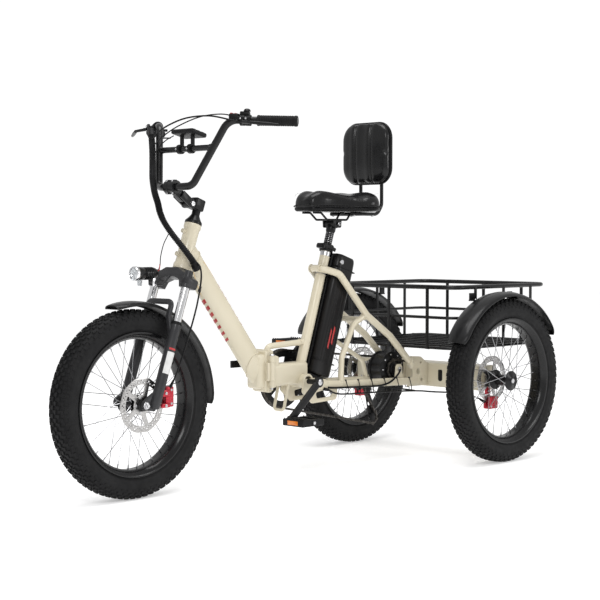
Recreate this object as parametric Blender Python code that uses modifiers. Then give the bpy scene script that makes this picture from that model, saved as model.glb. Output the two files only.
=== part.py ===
"""Folding fat-tyre electric tricycle: a sprung front wheel, two rear wheels on a beam, a wire basket.

Every piece is modelled from the point on the ground under the rear axle: X forward, Y to the left, Z up.
The datum empty then moves the whole machine, so that the world origin is under the middle of its box.
"""

import math

import bmesh
import bpy
from mathutils import Matrix, Vector

# Overall layout
WHEELBASE = 1.321
TRACK = 0.688
GAP = 0.0003
RUNNING_GAP = 0.0006

# Wheels
WHEEL_RADIUS = 0.274
TYRE_HALF_WIDTH = 0.039
TYRE_WALL = 0.0045
BEAD_RADIUS = 0.2036
RIM_HALF_WIDTH = 0.034
RIM_DEPTH = 0.015
RIM_LIP = 0.007
WHEEL_STEPS = 28
DISC_RADIUS = 0.080
DISC_THICKNESS = 0.002
DISC_CALLIPER_GAP = 0.0012
SPOKE_FLANGE_RADIUS = 0.028
HUB_BOSS_RADIUS = 0.0165
HUB_OUTER = 0.0405
FRONT_DISC_Y = 0.0485
REAR_DISC_INSET = 0.0485

# Steering: the axis passes through STEER_FOOT at axle height and leans back by HEAD_LEAN
HEAD_LEAN = math.radians(19.3)
FORK_RAKE = 0.054
HEAD_BOTTOM = 0.408
HEAD_TOP = 0.550
HEAD_RADIUS = 0.0235
STEERER_RADIUS = 0.0143
LEG_SPREAD = 0.070
LEG_RAKE = 0.0245
LEG_RADIUS = 0.0165
STANCHION_RADIUS = 0.013
LEG_TOP = 0.233
CROWN_BOTTOM = 0.345
FRONT_AXLE_RADIUS = 0.005
FRONT_HUB_HALF = 0.056

# Frame
HINGE_X = 0.792
HINGE_PIN_Y = 0.041
HINGE_PIN_RADIUS = 0.0045
HINGE_BOTTOM = 0.272
HINGE_TOP = 0.400
KNUCKLES = (0.285, 0.306, 0.364, 0.385)
FLANGE_THICKNESS = 0.018
FLANGE_HALF_WIDTH = 0.030
LATCH_PIVOT = Vector((HINGE_X + 0.011, -FLANGE_HALF_WIDTH - 0.0115, 0.358))
LATCH_EAR_SHIFT = 0.0200
BRACKET_X = 0.640
BRACKET_Z = 0.295
BRACKET_HALF = 0.052
BRACKET_BORE = 0.0165
SEAT_LEAN = math.radians(18.1)
SEAT_TUBE_LENGTH = 0.4536
SEATPOST_RADIUS = 0.0136
SEAT_TUBE_WALL = 0.0023
SEAT_TUBE_RADIUS = SEATPOST_RADIUS + RUNNING_GAP + SEAT_TUBE_WALL
SEAT_CLAMP_WALL = 0.006
SEATPOST_TOP = 0.530
STAY_RADIUS = 0.0115
STAY_SPREAD = 0.056
CHAIN_STAY_SPREAD = 0.050
CHAIN_STAY_WIDTH = 0.016

# Rear axle
BEAM_HALF_DEPTH = 0.046
BEAM_BOTTOM = 0.236
BEAM_TOP = 0.318
BEAM_WALL = 0.004
BEAM_END_PLATE = 0.010
BEAM_END = TRACK / 2 - 0.068
AXLE_END_GAP = 0.004
AXLE_SEAT_RADIUS = 0.012

# Basket
BASKET_FRONT = 0.185
BASKET_REAR = -0.335
BASKET_HALF_WIDTH = 0.283
BASKET_RIM_Z = 0.588
BASKET_FLOOR_Z = 0.385
BASKET_RIM_WIRE = 0.0075
BASKET_WIRE = 0.0050
BASKET_CORNER = 0.050

# Fenders
FENDER_HALF_WIDTH = 0.043
FENDER_GAP = 0.011
FENDER_WALL = 0.0025

# Drive
CRANK_LENGTH = 0.167
CRANK_ANGLE = math.radians(-41)
SPINDLE_HALF = 0.104
CHAIN_LINE = -0.066
CHAINRING_RADIUS = 0.090
COG_RADIUS = 0.034
PULLEY_RADIUS = 0.016
GUIDE_PULLEY = Vector((0.222, 0.232))
TENSION_PULLEY = Vector((0.200, 0.130))
CHAIN_CLEARANCE = 0.0005
CHAIN_HEIGHT = 0.006
CHAIN_WIDTH = 0.005
MOTOR_X = 0.195
MOTOR_Z = 0.304
MOTOR_RADIUS = 0.060
MOTOR_AXLE_RADIUS = 0.006
PEDAL_LENGTH = 0.095
PEDAL_WIDTH = 0.090
PEDAL_HEIGHT = 0.022
PEDAL_SPINDLE_RADIUS = 0.005

# Battery, measured in the seat tube's frame
BATTERY_FRONT = -0.026
BATTERY_DEPTH = 0.092
BATTERY_HALF_WIDTH = 0.038
BATTERY_BOTTOM = 0.035
BATTERY_TOP = 0.440

# Seat
SADDLE_BOTTOM = 0.838
RAIL_SPREAD = 0.024
RAIL_RADIUS = 0.0035
BACK_TUBE_SPREAD = 0.047
BACK_TUBE_RADIUS = 0.006
BACK_TUBE_X = 0.283
PAD_THICKNESS = 0.042
PAD_HALF_WIDTH = 0.105
PAD_BOTTOM = 0.930
PAD_TOP = 1.140

# Handlebar
BAR_RADIUS = 0.0111
BAR_CLAMP = Vector((WHEELBASE - 0.158, 0, 0.903))
BAR_LOW_BEND = Vector((WHEELBASE - 0.171, 0.075, 0.905))
BAR_HIGH_BEND = Vector((WHEELBASE - 0.241, 0.155, 1.096))
BAR_END = Vector((WHEELBASE - 0.352, 0.330, 1.089))
BAR_STRAIGHT = (BAR_END - BAR_HIGH_BEND).length
CROSSBAR_Z = 1.017
CROSSBAR_RADIUS = 0.009
BAR_SLEEVE_BORE = 0.0118
GRIP_LENGTH = 0.120
GRIP_RADIUS = 0.016
STEM_PIVOT_RAKE = 0.037
STEM_PIVOT_HEIGHT = 0.6025
STEM_ARM_WIDTH = 0.026
LEVER_PIVOT = Vector((0.052, 0.0375, -0.006))

# Headlight
LAMP_PIVOT = Vector((WHEELBASE - 0.081, 0, 0.6262))
LAMP_BACK = Vector((WHEELBASE - 0.099, 0, 0.650))
LAMP_REFLECTOR = Vector((WHEELBASE - 0.033, 0, 0.622))
LAMP_BRACKET_BEND = Vector((WHEELBASE - 0.121, 0, 0.6165))

ALONG_Y = Matrix.Rotation(-math.pi / 2, 4, "X")
SIDE_VIEW = Matrix.Rotation(math.pi / 2, 4, "X")
AXLE = Vector((0, 0, WHEEL_RADIUS))
FRONT_AXLE = Vector((WHEELBASE, 0, WHEEL_RADIUS))
STEER_FOOT = FRONT_AXLE - Vector((FORK_RAKE / math.cos(HEAD_LEAN), 0, 0))
STEER = Matrix.Translation(STEER_FOOT) @ Matrix.Rotation(-HEAD_LEAN, 4, "Y")
BRACKET = Vector((BRACKET_X, 0, BRACKET_Z))
SEAT = Matrix.Translation(BRACKET) @ Matrix.Rotation(-SEAT_LEAN, 4, "Y")

for leftover in list(bpy.data.objects):
    bpy.data.objects.remove(leftover)
PARTS = bpy.data.collections.new("electric_tricycle")
bpy.context.scene.collection.children.link(PARTS)
bpy.context.view_layer.active_layer_collection = bpy.context.view_layer.layer_collection.children[PARTS.name]

FINISHES = {
    "cream_paint": ((0.74, 0.66, 0.50), 0.35, 0.0),
    "black_paint": ((0.015, 0.015, 0.016), 0.4, 0.0),
    "black_plastic": ((0.02, 0.02, 0.021), 0.55, 0.0),
    "black_vinyl": ((0.018, 0.018, 0.018), 0.3, 0.0),
    "tyre_rubber": ((0.02, 0.02, 0.02), 0.8, 0.0),
    "grip_rubber": ((0.02, 0.02, 0.02), 0.75, 0.0),
    "steel": ((0.55, 0.55, 0.56), 0.3, 1.0),
    "dark_steel": ((0.12, 0.12, 0.12), 0.4, 1.0),
    "red_anodised": ((0.55, 0.01, 0.03), 0.3, 0.6),
}


# Helpers

def bake(obj):
    """Put the object's evaluated mesh in place of its own, and take its modifiers off."""
    graph = bpy.context.evaluated_depsgraph_get()
    mesh = bpy.data.meshes.new_from_object(obj.evaluated_get(graph))
    obj.modifiers.clear()
    obj.data = mesh
    return obj


def solid_from_curve(curve):
    """A closed mesh object made from a curve's shape."""
    obj = bpy.data.objects.new("curve", curve)
    PARTS.objects.link(obj)
    graph = bpy.context.evaluated_depsgraph_get()
    mesh = bpy.data.meshes.new_from_object(obj.evaluated_get(graph))
    bpy.data.objects.remove(obj)
    shape = bmesh.new()
    shape.from_mesh(mesh)
    bmesh.ops.remove_doubles(shape, verts=shape.verts, dist=1e-6)
    bmesh.ops.recalc_face_normals(shape, faces=shape.faces)
    shape.to_mesh(mesh)
    shape.free()
    solid = bpy.data.objects.new("solid", mesh)
    PARTS.objects.link(solid)
    return solid


def tube(points, radius, resolution=2, cyclic=False):
    """A round tube along a path of points."""
    curve = bpy.data.curves.new("tube", "CURVE")
    curve.dimensions = "3D"
    curve.bevel_depth = radius
    curve.bevel_resolution = resolution
    curve.use_fill_caps = not cyclic
    spline = curve.splines.new("POLY")
    spline.points.add(len(points) - 1)
    for knot, point in zip(spline.points, points):
        knot.co = (*point, 1)
    spline.use_cyclic_u = cyclic
    return solid_from_curve(curve)


def plate(outline, thickness, frame, holes=()):
    """A flat plate with holes, from outlines in its own plane, placed by a matrix."""
    curve = bpy.data.curves.new("plate", "CURVE")
    curve.dimensions = "2D"
    curve.fill_mode = "BOTH"
    curve.extrude = thickness / 2
    for ring in (outline, *holes):
        spline = curve.splines.new("POLY")
        spline.points.add(len(ring) - 1)
        for knot, (x, y) in zip(spline.points, ring):
            knot.co = (x, y, 0, 1)
        spline.use_cyclic_u = True
    solid = solid_from_curve(curve)
    solid.data.transform(frame)
    return solid


def side_plate(outline, thickness, y, holes=()):
    """A plate standing lengthwise: its outline is in X and Z, and its middle is at y."""
    return plate(outline, thickness, Matrix.Translation((0, y, 0)) @ SIDE_VIEW, holes)


def box(size, at, frame=Matrix(), bevel=0.0):
    bpy.ops.mesh.primitive_cube_add(size=1)
    obj = bpy.context.object
    obj.data.transform(Matrix.Translation(at) @ Matrix.Diagonal((*size, 1)))
    obj.data.transform(frame)
    if bevel:
        modifier = obj.modifiers.new("Bevel", "BEVEL")
        modifier.width = bevel
        modifier.segments = 2
        bake(obj)
    return obj


def pointing(start, end):
    """The matrix that carries +Z from the origin to the direction from start to end, at start."""
    turn = (Vector(end) - Vector(start)).to_track_quat("Z", "Y").to_matrix().to_4x4()
    return Matrix.Translation(start) @ turn


def rod(start, end, radius, sides=16, end_radius=None):
    """A straight round bar, tapered if it has an end radius."""
    length = (Vector(end) - Vector(start)).length
    bpy.ops.mesh.primitive_cone_add(
        vertices=sides,
        radius1=radius,
        radius2=radius if end_radius is None else end_radius,
        depth=length,
        location=(0, 0, 0),
    )
    obj = bpy.context.object
    obj.data.transform(pointing(start, end) @ Matrix.Translation((0, 0, length / 2)))
    return obj


def turned(profile, frame, steps, closed=True, angle=math.tau):
    """A turned shape: a profile of (radius, height) swept about the frame's Z, top to bottom outside."""
    mesh = bpy.data.meshes.new("profile")
    edges = [(i, i + 1) for i in range(len(profile) - 1)]
    if closed:
        edges.append((len(profile) - 1, 0))
    mesh.from_pydata([(radius, 0, height) for radius, height in profile], edges, [])
    obj = bpy.data.objects.new("turned", mesh)
    PARTS.objects.link(obj)
    screw = obj.modifiers.new("Screw", "SCREW")
    screw.steps = steps
    screw.render_steps = steps
    screw.angle = angle
    screw.use_merge_vertices = True
    screw.merge_threshold = 1e-5
    bake(obj)
    obj.data.transform(frame)
    return obj


def unite(first, *others):
    """One body from several that overlap."""
    for other in others:
        modifier = first.modifiers.new("Union", "BOOLEAN")
        modifier.operation = "UNION"
        modifier.object = other
    bake(first)
    for other in others:
        bpy.data.objects.remove(other)
    return first


def cut(body, *cutters, solver="EXACT"):
    for cutter in cutters:
        modifier = body.modifiers.new("Cut", "BOOLEAN")
        modifier.operation = "DIFFERENCE"
        modifier.solver = solver
        modifier.object = cutter
    bake(body)
    for cutter in cutters:
        bpy.data.objects.remove(cutter)
    return body


def rounded(points, radius, steps=4):
    """A path whose corners are arcs, each no longer than its neighbours leave room for."""
    points = [Vector(point) for point in points]
    path = [points[0]]
    for before, corner, after in zip(points, points[1:], points[2:]):
        back = before - corner
        ahead = after - corner
        half = back.angle(ahead) / 2
        reach = min(radius / math.tan(half), 0.45 * min(back.length, ahead.length))
        bend = reach * math.tan(half)
        back.normalize()
        ahead.normalize()
        centre = corner + (back + ahead).normalized() * bend / math.sin(half)
        first = corner + back * reach - centre
        last = corner + ahead * reach - centre
        path += [centre + first.slerp(last, i / steps) * bend for i in range(steps + 1)]
    return path + [points[-1]]


def smooth(points, steps):
    """A smooth path through every point."""
    points = [Vector(point) for point in points]
    ends = [2 * points[0] - points[1], *points, 2 * points[-1] - points[-2]]
    path = []
    for a, b, c, d in zip(ends, ends[1:], ends[2:], ends[3:]):
        for i in range(steps):
            t = i / steps
            path.append(
                0.5 * (2 * b + (c - a) * t + (2 * a - 5 * b + 4 * c - d) * t * t
                       + (3 * b - a - 3 * c + d) * t ** 3)
            )
    return path + [points[-1]]


def circle(centre, radius, count, start=0.0):
    angles = [start + math.tau * i / count for i in range(count)]
    return [(centre[0] + radius * math.cos(a), centre[1] + radius * math.sin(a)) for a in angles]


def windows(inner, outer, count, share):
    """Openings between a ring's arms: each is a ring segment that fills a share of its pitch."""
    half = math.pi / count * share
    rings = []
    for i in range(count):
        middle = math.tau * i / count
        outside = [(outer, middle + half * t) for t in (-1, -0.33, 0.33, 1)]
        inside = [(inner, middle + half * t) for t in (0.8, -0.8)]
        rings.append([(r * math.cos(a), r * math.sin(a)) for r, a in outside + inside])
    return rings


def mirrored(points):
    return [Vector((point[0], -point[1], point[2])) for point in points]


def steer(rake, across, height):
    """A point given ahead of the steering axis, to the left of it, and along it."""
    return STEER @ Vector((rake, across, height))


def seat(ahead, across, height):
    """A point given ahead of the seat tube's axis, to the left of it, and up it."""
    return SEAT @ Vector((ahead, across, height))


def axis(name, at, direction=(0, 0, 1)):
    """An empty on a joint's axis, its Z along the axis."""
    empty = bpy.data.objects.new(name, None)
    PARTS.objects.link(empty)
    empty.empty_display_size = 0.05
    empty.parent = DATUM
    empty.matrix_basis = pointing(at, Vector(at) + Vector(direction))
    return empty


def finish(obj, name, finish_name, on=None):
    """Name the piece, give it its material, shade it and hang it on the datum or on its joint's axis."""
    obj.name = name
    obj.data.name = name
    colour, roughness, metallic = FINISHES[finish_name]
    paint = bpy.data.materials.new(name)
    paint.use_nodes = True
    shader = paint.node_tree.nodes["Principled BSDF"]
    shader.inputs["Base Color"].default_value = (*colour, 1)
    shader.inputs["Roughness"].default_value = roughness
    shader.inputs["Metallic"].default_value = metallic
    obj.data.materials.clear()
    obj.data.materials.append(paint)
    obj.data.shade_smooth()
    obj.data.set_sharp_from_angle(angle=math.radians(35))
    obj.parent = on or DATUM
    if on:
        obj.matrix_parent_inverse = on.matrix_basis.inverted()
    return obj


DATUM = bpy.data.objects.new("datum", None)
PARTS.objects.link(DATUM)
BOX_FRONT = WHEELBASE + WHEEL_RADIUS
BOX_REAR = BASKET_REAR - BASKET_RIM_WIRE
DATUM.location = (-(BOX_FRONT + BOX_REAR) / 2, 0, 0)
AXES = {
    "frame_fold": axis("frame_fold", (HINGE_X, HINGE_PIN_Y, 0)),
    "latch": axis("latch", (HINGE_X + 0.011, -FLANGE_HALF_WIDTH - 0.0115, 0)),
    "steering": axis("steering", STEER_FOOT, steer(0, 0, 1) - STEER_FOOT),
    "front_axle": axis("front_axle", FRONT_AXLE, (0, 1, 0)),
    "rear_left_axle": axis("rear_left_axle", (0, TRACK / 2, WHEEL_RADIUS), (0, 1, 0)),
    "rear_right_axle": axis("rear_right_axle", (0, -TRACK / 2, WHEEL_RADIUS), (0, 1, 0)),
    "bracket": axis("bracket", BRACKET, (0, 1, 0)),
    "motor": axis("motor", (MOTOR_X, 0, MOTOR_Z), (0, 1, 0)),
    "seat_slide": axis("seat_slide", seat(0, 0, SEAT_TUBE_LENGTH), seat(0, 0, 1) - BRACKET),
    "saddle_tilt": axis("saddle_tilt", seat(0, 0, SEATPOST_TOP), (0, 1, 0)),
    "stem": axis("stem", steer(STEM_PIVOT_RAKE, 0, STEM_PIVOT_HEIGHT), (0, 1, 0)),
}


# Wheels

def wheel_frame(y, x=0.0):
    """The frame of a turned wheel piece: Z across the machine, a flat of the polygon at the ground."""
    turn = Matrix.Rotation(math.pi / WHEEL_STEPS, 4, "Z")
    return Matrix.Translation((x, y, WHEEL_RADIUS)) @ ALONG_Y @ turn


def ring(profile, frame):
    """A turned ring whose flats, not its corners, lie at the profile's radii."""
    flat = math.cos(math.pi / WHEEL_STEPS)
    return turned([(radius / flat, height) for radius, height in profile], frame, WHEEL_STEPS)


def tyre(frame):
    shoulder = WHEEL_RADIUS - 0.014
    waist = WHEEL_RADIUS - 0.034
    bead_half = RIM_HALF_WIDTH - 0.0054
    rim_edge = BEAD_RADIUS + RIM_LIP + 0.0015
    outer = [
        (BEAD_RADIUS, bead_half),
        (rim_edge, bead_half + 0.0026),
        (waist, TYRE_HALF_WIDTH),
        (shoulder, TYRE_HALF_WIDTH - 0.006),
        (WHEEL_RADIUS, 0.013),
    ]
    inner = [
        (WHEEL_RADIUS - 2 * TYRE_WALL, 0.012),
        (waist, TYRE_HALF_WIDTH - TYRE_WALL),
        (BEAD_RADIUS, bead_half - TYRE_WALL),
    ]
    lower = [(radius, -height) for radius, height in reversed(outer)]
    inside = [(radius, -height) for radius, height in reversed(inner)] + inner
    return ring(outer + lower + inside, frame)


def rim(frame):
    seat_radius = BEAD_RADIUS - 0.0004
    lip_inner = RIM_HALF_WIDTH - 0.0028
    half = [
        (seat_radius - RIM_DEPTH, RIM_HALF_WIDTH - 0.020),
        (seat_radius + RIM_LIP, RIM_HALF_WIDTH),
        (seat_radius + RIM_LIP, lip_inner),
        (seat_radius, lip_inner - 0.0017),
    ]
    return ring(half + [(radius, -height) for radius, height in reversed(half)], frame)


def disc(frame):
    outline = circle((0, 0), DISC_RADIUS, 20)
    bore = circle((0, 0), HUB_BOSS_RADIUS + 0.0006, 12)
    holes = [bore, *windows(0.030, 0.062, 5, 0.74)]
    return plate(outline, DISC_THICKNESS, frame, holes)


def build_front_wheel():
    frame = wheel_frame(0, WHEELBASE)
    on = AXES["front_axle"]
    finish(tyre(frame), "front_tyre", "tyre_rubber", on)
    finish(rim(frame), "front_rim", "black_paint", on)
    bore = FRONT_AXLE_RADIUS + RUNNING_GAP
    profile = [
        (0.0095, FRONT_HUB_HALF),
        (HUB_BOSS_RADIUS, FRONT_DISC_Y + 0.004),
        (HUB_BOSS_RADIUS, 0.031),
        (SPOKE_FLANGE_RADIUS, 0.0305),
        (SPOKE_FLANGE_RADIUS, 0.0265),
        (0.0135, 0.022),
        (0.0135, -0.022),
        (SPOKE_FLANGE_RADIUS, -0.0265),
        (SPOKE_FLANGE_RADIUS, -0.0305),
        (0.0095, -0.036),
        (0.0095, -FRONT_HUB_HALF),
        (bore, -FRONT_HUB_HALF),
        (bore, FRONT_HUB_HALF),
    ]
    finish(turned(profile, wheel_frame(0, WHEELBASE), 16), "front_hub", "black_paint", on)
    finish(disc(wheel_frame(FRONT_DISC_Y, WHEELBASE)), "front_disc", "steel", on)


def build_rear_wheel(side, name):
    """A rear wheel with its hub, whose shaft runs in the beam's end plate."""
    middle = side * TRACK / 2
    frame = wheel_frame(middle)
    on = AXES[name + "_axle"]
    finish(tyre(frame), name + "_tyre", "tyre_rubber", on)
    finish(rim(frame), name + "_rim", "black_paint", on)
    plate_outer = TRACK / 2 - BEAM_END - AXLE_END_GAP
    shaft_end = TRACK / 2 - 0.045
    profile = [
        (0.012, HUB_OUTER),
        (0.020, HUB_OUTER - 0.0035),
        (0.033, HUB_OUTER - 0.006),
        (0.033, HUB_OUTER - 0.011),
        (0.018, HUB_OUTER - 0.017),
        (0.018, -0.024),
        (0.033, -0.0285),
        (0.033, -0.0335),
        (HUB_BOSS_RADIUS, -0.038),
        (HUB_BOSS_RADIUS, -REAR_DISC_INSET - 0.005),
        (AXLE_SEAT_RADIUS, -plate_outer),
        (AXLE_SEAT_RADIUS, -plate_outer - BEAM_END_PLATE - 2 * AXLE_END_GAP),
        (0.0095, -plate_outer - BEAM_END_PLATE - 0.004),
        (0.0095, -shaft_end),
        (0.0, -shaft_end),
    ]
    profile.insert(0, (0.0, HUB_OUTER))
    outward = frame if side > 0 else frame @ Matrix.Rotation(math.pi, 4, "X")
    hub = turned(profile, outward, 16, closed=False)
    finish(hub, name + "_hub", "black_paint", on)
    disc_frame = wheel_frame(middle - side * REAR_DISC_INSET)
    finish(disc(disc_frame), name + "_disc", "steel", on)


# Rear frame

def knuckle(bottom, top):
    at = (HINGE_X, HINGE_PIN_Y)
    return rod((*at, bottom), (*at, top), 0.0095, 12)


def knuckle_tab(bottom, top, side):
    """The web from a knuckle to the flange on its own side of the hinge's parting line."""
    near = HINGE_X + side * GAP
    far = HINGE_X + side * FLANGE_THICKNESS
    size = (abs(far - near), HINGE_PIN_Y - FLANGE_HALF_WIDTH + 0.004, top - bottom)
    at = ((near + far) / 2, (HINGE_PIN_Y + FLANGE_HALF_WIDTH - 0.004) / 2, (bottom + top) / 2)
    return box(size, at)


def hinge_flange(side):
    size = (FLANGE_THICKNESS - GAP, 2 * FLANGE_HALF_WIDTH, HINGE_TOP - HINGE_BOTTOM)
    x = HINGE_X + side * (FLANGE_THICKNESS + GAP) / 2
    return box(size, (x, 0, (HINGE_TOP + HINGE_BOTTOM) / 2))


def pin_bore():
    radius = HINGE_PIN_RADIUS + GAP
    return rod((HINGE_X, HINGE_PIN_Y, HINGE_BOTTOM), (HINGE_X, HINGE_PIN_Y, HINGE_TOP), radius, 12)


def build_rear_frame():
    low, low_end, high_start, high = KNUCKLES
    pieces = [
        hinge_flange(-1),
        box((0.165, 0.058, 0.070), (0.6975, 0, 0.320)),
        rod(BRACKET - Vector((0, BRACKET_HALF, 0)), BRACKET + Vector((0, BRACKET_HALF, 0)), 0.022),
        rod(seat(0, 0, 0), seat(0, 0, SEAT_TUBE_LENGTH), SEAT_TUBE_RADIUS),
        tube(rounded([(0.783, 0, 0.385), (0.768, 0, 0.411), (0.735, 0, 0.4125), (0.612, 0, 0.417)],
                     0.020), 0.0095),
        knuckle(low, low_end),
        knuckle_tab(low, low_end, -1),
        knuckle(high_start, high),
        knuckle_tab(high_start, high, -1),
    ]
    left_stay = [
        (0.132, STAY_SPREAD, 0.315),
        (0.250, STAY_SPREAD, 0.4215),
        (0.368, STAY_SPREAD, 0.497),
        (0.500, STAY_SPREAD, 0.636),
        (0.551, 0.026, 0.654),
    ]
    stays = left_stay + mirrored(left_stay[::-1])
    pieces.append(tube(rounded(stays, 0.035), STAY_RADIUS))
    for side in (1, -1):
        y = side * CHAIN_STAY_SPREAD
        stay = [(0.620, 0.293), (0.620, 0.267), (0.100, 0.246), (0.100, 0.272)]
        gusset = [(0.600, 0.303), (0.500, 0.275), (0.508, 0.226), (0.622, 0.222), (0.668, 0.262),
                  (0.660, 0.300)]
        face = BEAM_HALF_DEPTH + GAP
        dropout = [(face, 0.240), (face, 0.316), (0.085, 0.342), (0.132, 0.346), (0.150, 0.318),
                   (0.128, 0.300), (0.128, 0.278), (0.150, 0.262), (0.150, 0.243)]
        strut = [(0.488, y, 0.270), (0.482, y, 0.362), (0.425, y, 0.470), (0.368, y * 1.08, 0.497)]
        pieces += [
            side_plate(stay, CHAIN_STAY_WIDTH, y),
            side_plate(gusset, 0.006, side * 0.049),
            side_plate(dropout, 0.010, side * 0.051),
            tube(rounded(strut, 0.040), 0.0095),
        ]
    brace = [(0.447, -CHAIN_STAY_SPREAD, 0.430), (0.270, -CHAIN_STAY_SPREAD, 0.335),
             (0.245, -CHAIN_STAY_SPREAD, 0.262)]
    lug = [(0.180, 0.270), (0.210, 0.270), (0.206, 0.314), (0.184, 0.314)]
    hanger = [(BEAM_HALF_DEPTH + GAP, 0.280), (0.182, 0.286), (0.205, 0.264), (0.221, 0.264),
              (0.213, 0.304), (0.195, 0.320), (BEAM_HALF_DEPTH + GAP, 0.312)]
    guard = [(0.700, 0.022, 0.290), (0.722, 0.022, 0.206), (0.722, -0.022, 0.206),
             (0.700, -0.022, 0.290)]
    pieces += [
        rod((0.400, -CHAIN_STAY_SPREAD, 0.484), (0.400, CHAIN_STAY_SPREAD, 0.484), 0.009, 12),
        tube(rounded(brace, 0.025), 0.0075),
        side_plate(lug, 0.006, 0.049),
        side_plate(hanger, 0.005, -0.0955),
        rod((MOTOR_X, -0.100, MOTOR_Z), (MOTOR_X, 0.054, MOTOR_Z), MOTOR_AXLE_RADIUS, 12),
        tube(rounded(guard, 0.012), 0.005),
    ]
    frame = unite(*pieces)
    bracket_bore = rod(BRACKET - Vector((0, 0.08, 0)), BRACKET + Vector((0, 0.08, 0)), BRACKET_BORE)
    seat_bore = rod(seat(0, 0, 0.06), seat(0, 0, 0.52), SEATPOST_RADIUS + RUNNING_GAP)
    cut(frame, bracket_bore, seat_bore, pin_bore())
    finish(frame, "rear_frame", "cream_paint")


def build_axle_beam():
    """A rectangular tube closed by end plates that carry the wheel shafts, with a window for the drive."""
    height = BEAM_TOP - BEAM_BOTTOM
    middle = (BEAM_TOP + BEAM_BOTTOM) / 2
    beam = box((2 * BEAM_HALF_DEPTH, 2 * BEAM_END, height), (0, 0, middle))
    inside = (2 * (BEAM_HALF_DEPTH - BEAM_WALL), 2 * (BEAM_END - BEAM_END_PLATE), height - 2 * BEAM_WALL)
    bore = AXLE_SEAT_RADIUS + RUNNING_GAP
    cut(
        beam,
        box(inside, (0, 0, middle)),
        rod(AXLE - Vector((0, 0.4, 0)), AXLE + Vector((0, 0.4, 0)), bore, 20),
        box((0.02, 0.030, height - 0.024), (BEAM_HALF_DEPTH, 0.020, middle)),
    )
    finish(beam, "axle_beam", "cream_paint")


def build_rear_callipers():
    for side, name in ((1, "left"), (-1, "right")):
        disc_y = TRACK / 2 - REAR_DISC_INSET
        body = box((0.046, 0.030, 0.044), (0.004, side * disc_y, 0.196), bevel=0.006)
        tab = box((0.026, 0.006, 0.058), (0, side * (BEAM_END + 0.0035), 0.224))
        slot = DISC_THICKNESS + 2 * DISC_CALLIPER_GAP
        calliper = unite(body, tab)
        cut(calliper, rod((0, side * (disc_y - slot / 2), WHEEL_RADIUS),
                          (0, side * (disc_y + slot / 2), WHEEL_RADIUS), DISC_RADIUS + 0.004, 32))
        finish(calliper, f"rear_{name}_calliper", "red_anodised")


def build_rear_brake_hose():
    trunk = [(0.560, 0.064, 0.262), (0.500, 0.064, 0.244), (0.300, 0.064, 0.236), (0.120, 0.064, 0.226),
             (0.075, 0.100, 0.222), (0.045, 0.200, 0.222), (0.034, 0.262, 0.210), (0.031, 0.2905, 0.200)]
    branch = [(0.120, 0.064, 0.226), (0.085, 0.020, 0.222), (0.070, -0.080, 0.222), (0.045, -0.200, 0.222),
              (0.034, -0.262, 0.210), (0.031, -0.2905, 0.200)]
    hose = unite(tube(smooth(trunk, 2), 0.0028), tube(smooth(branch, 2), 0.0028))
    finish(hose, "rear_brake_hose", "black_plastic")


# Basket

def rail(z, wire, inset=0.0):
    """A closed wire loop round the basket at one height."""
    front = BASKET_FRONT - inset
    rear = BASKET_REAR + inset
    half = BASKET_HALF_WIDTH - inset
    corners = [(front, -half), (front, half), (rear, half), (rear, -half)]
    loop = []
    for i, (x, y) in enumerate(corners):
        centre_x = x - math.copysign(BASKET_CORNER, x - (front + rear) / 2)
        centre_y = y - math.copysign(BASKET_CORNER, y)
        for step in range(4):
            angle = math.radians(-90 + 90 * i + 30 * step)
            loop.append((centre_x + BASKET_CORNER * math.cos(angle),
                         centre_y + BASKET_CORNER * math.sin(angle), z))
    return tube(loop, wire, resolution=0, cyclic=True)


def build_basket():
    """Three wire loops, upright wires welded to their outsides, and a floor of crossed wires on two feet."""
    middle = (BASKET_RIM_Z + BASKET_FLOOR_Z) / 2
    pieces = [
        rail(BASKET_RIM_Z, BASKET_RIM_WIRE),
        rail(middle, BASKET_WIRE),
        rail(BASKET_FLOOR_Z, BASKET_WIRE),
    ]
    upright = 0.9 * BASKET_WIRE
    overlap = 0.0013
    front = BASKET_FRONT + overlap
    rear = BASKET_REAR - overlap
    side = BASKET_HALF_WIDTH + overlap
    posts = []
    for share in (-0.6, 0.0, 0.6):
        posts += [(front, share * BASKET_HALF_WIDTH), (rear, share * BASKET_HALF_WIDTH)]
    for share in (0.2, 0.5, 0.8):
        x = BASKET_REAR + (BASKET_FRONT - BASKET_REAR) * share
        posts += [(x, side), (x, -side)]
    for x, y in posts:
        pieces.append(rod((x, y, BASKET_FLOOR_Z), (x, y, BASKET_RIM_Z + overlap), upright, 5))
    under = BASKET_FLOOR_Z - 0.5 * BASKET_WIRE
    over = BASKET_FLOOR_Z + 0.3 * BASKET_WIRE
    for share in (-0.6, -0.2, 0.2, 0.6):
        y = share * BASKET_HALF_WIDTH
        pieces.append(rod((BASKET_REAR, y, under), (BASKET_FRONT, y, under), 0.8 * BASKET_WIRE, 5))
    for share in (0.25, 0.5, 0.75):
        x = BASKET_REAR + (BASKET_FRONT - BASKET_REAR) * share
        pieces.append(rod((x, -BASKET_HALF_WIDTH, over), (x, BASKET_HALF_WIDTH, over), upright, 5))
    for share in (-0.6, 0.6):
        y = share * BASKET_HALF_WIDTH
        foot = under - BEAM_TOP - GAP
        pieces.append(box((0.022, 0.006, foot), (0, y, under - foot / 2)))
        pieces.append(box((2 * BEAM_HALF_DEPTH, 0.030, 0.004), (0, y, BEAM_TOP + GAP + 0.002)))
    finish(unite(*pieces), "basket", "black_paint")


# Fenders

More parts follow.
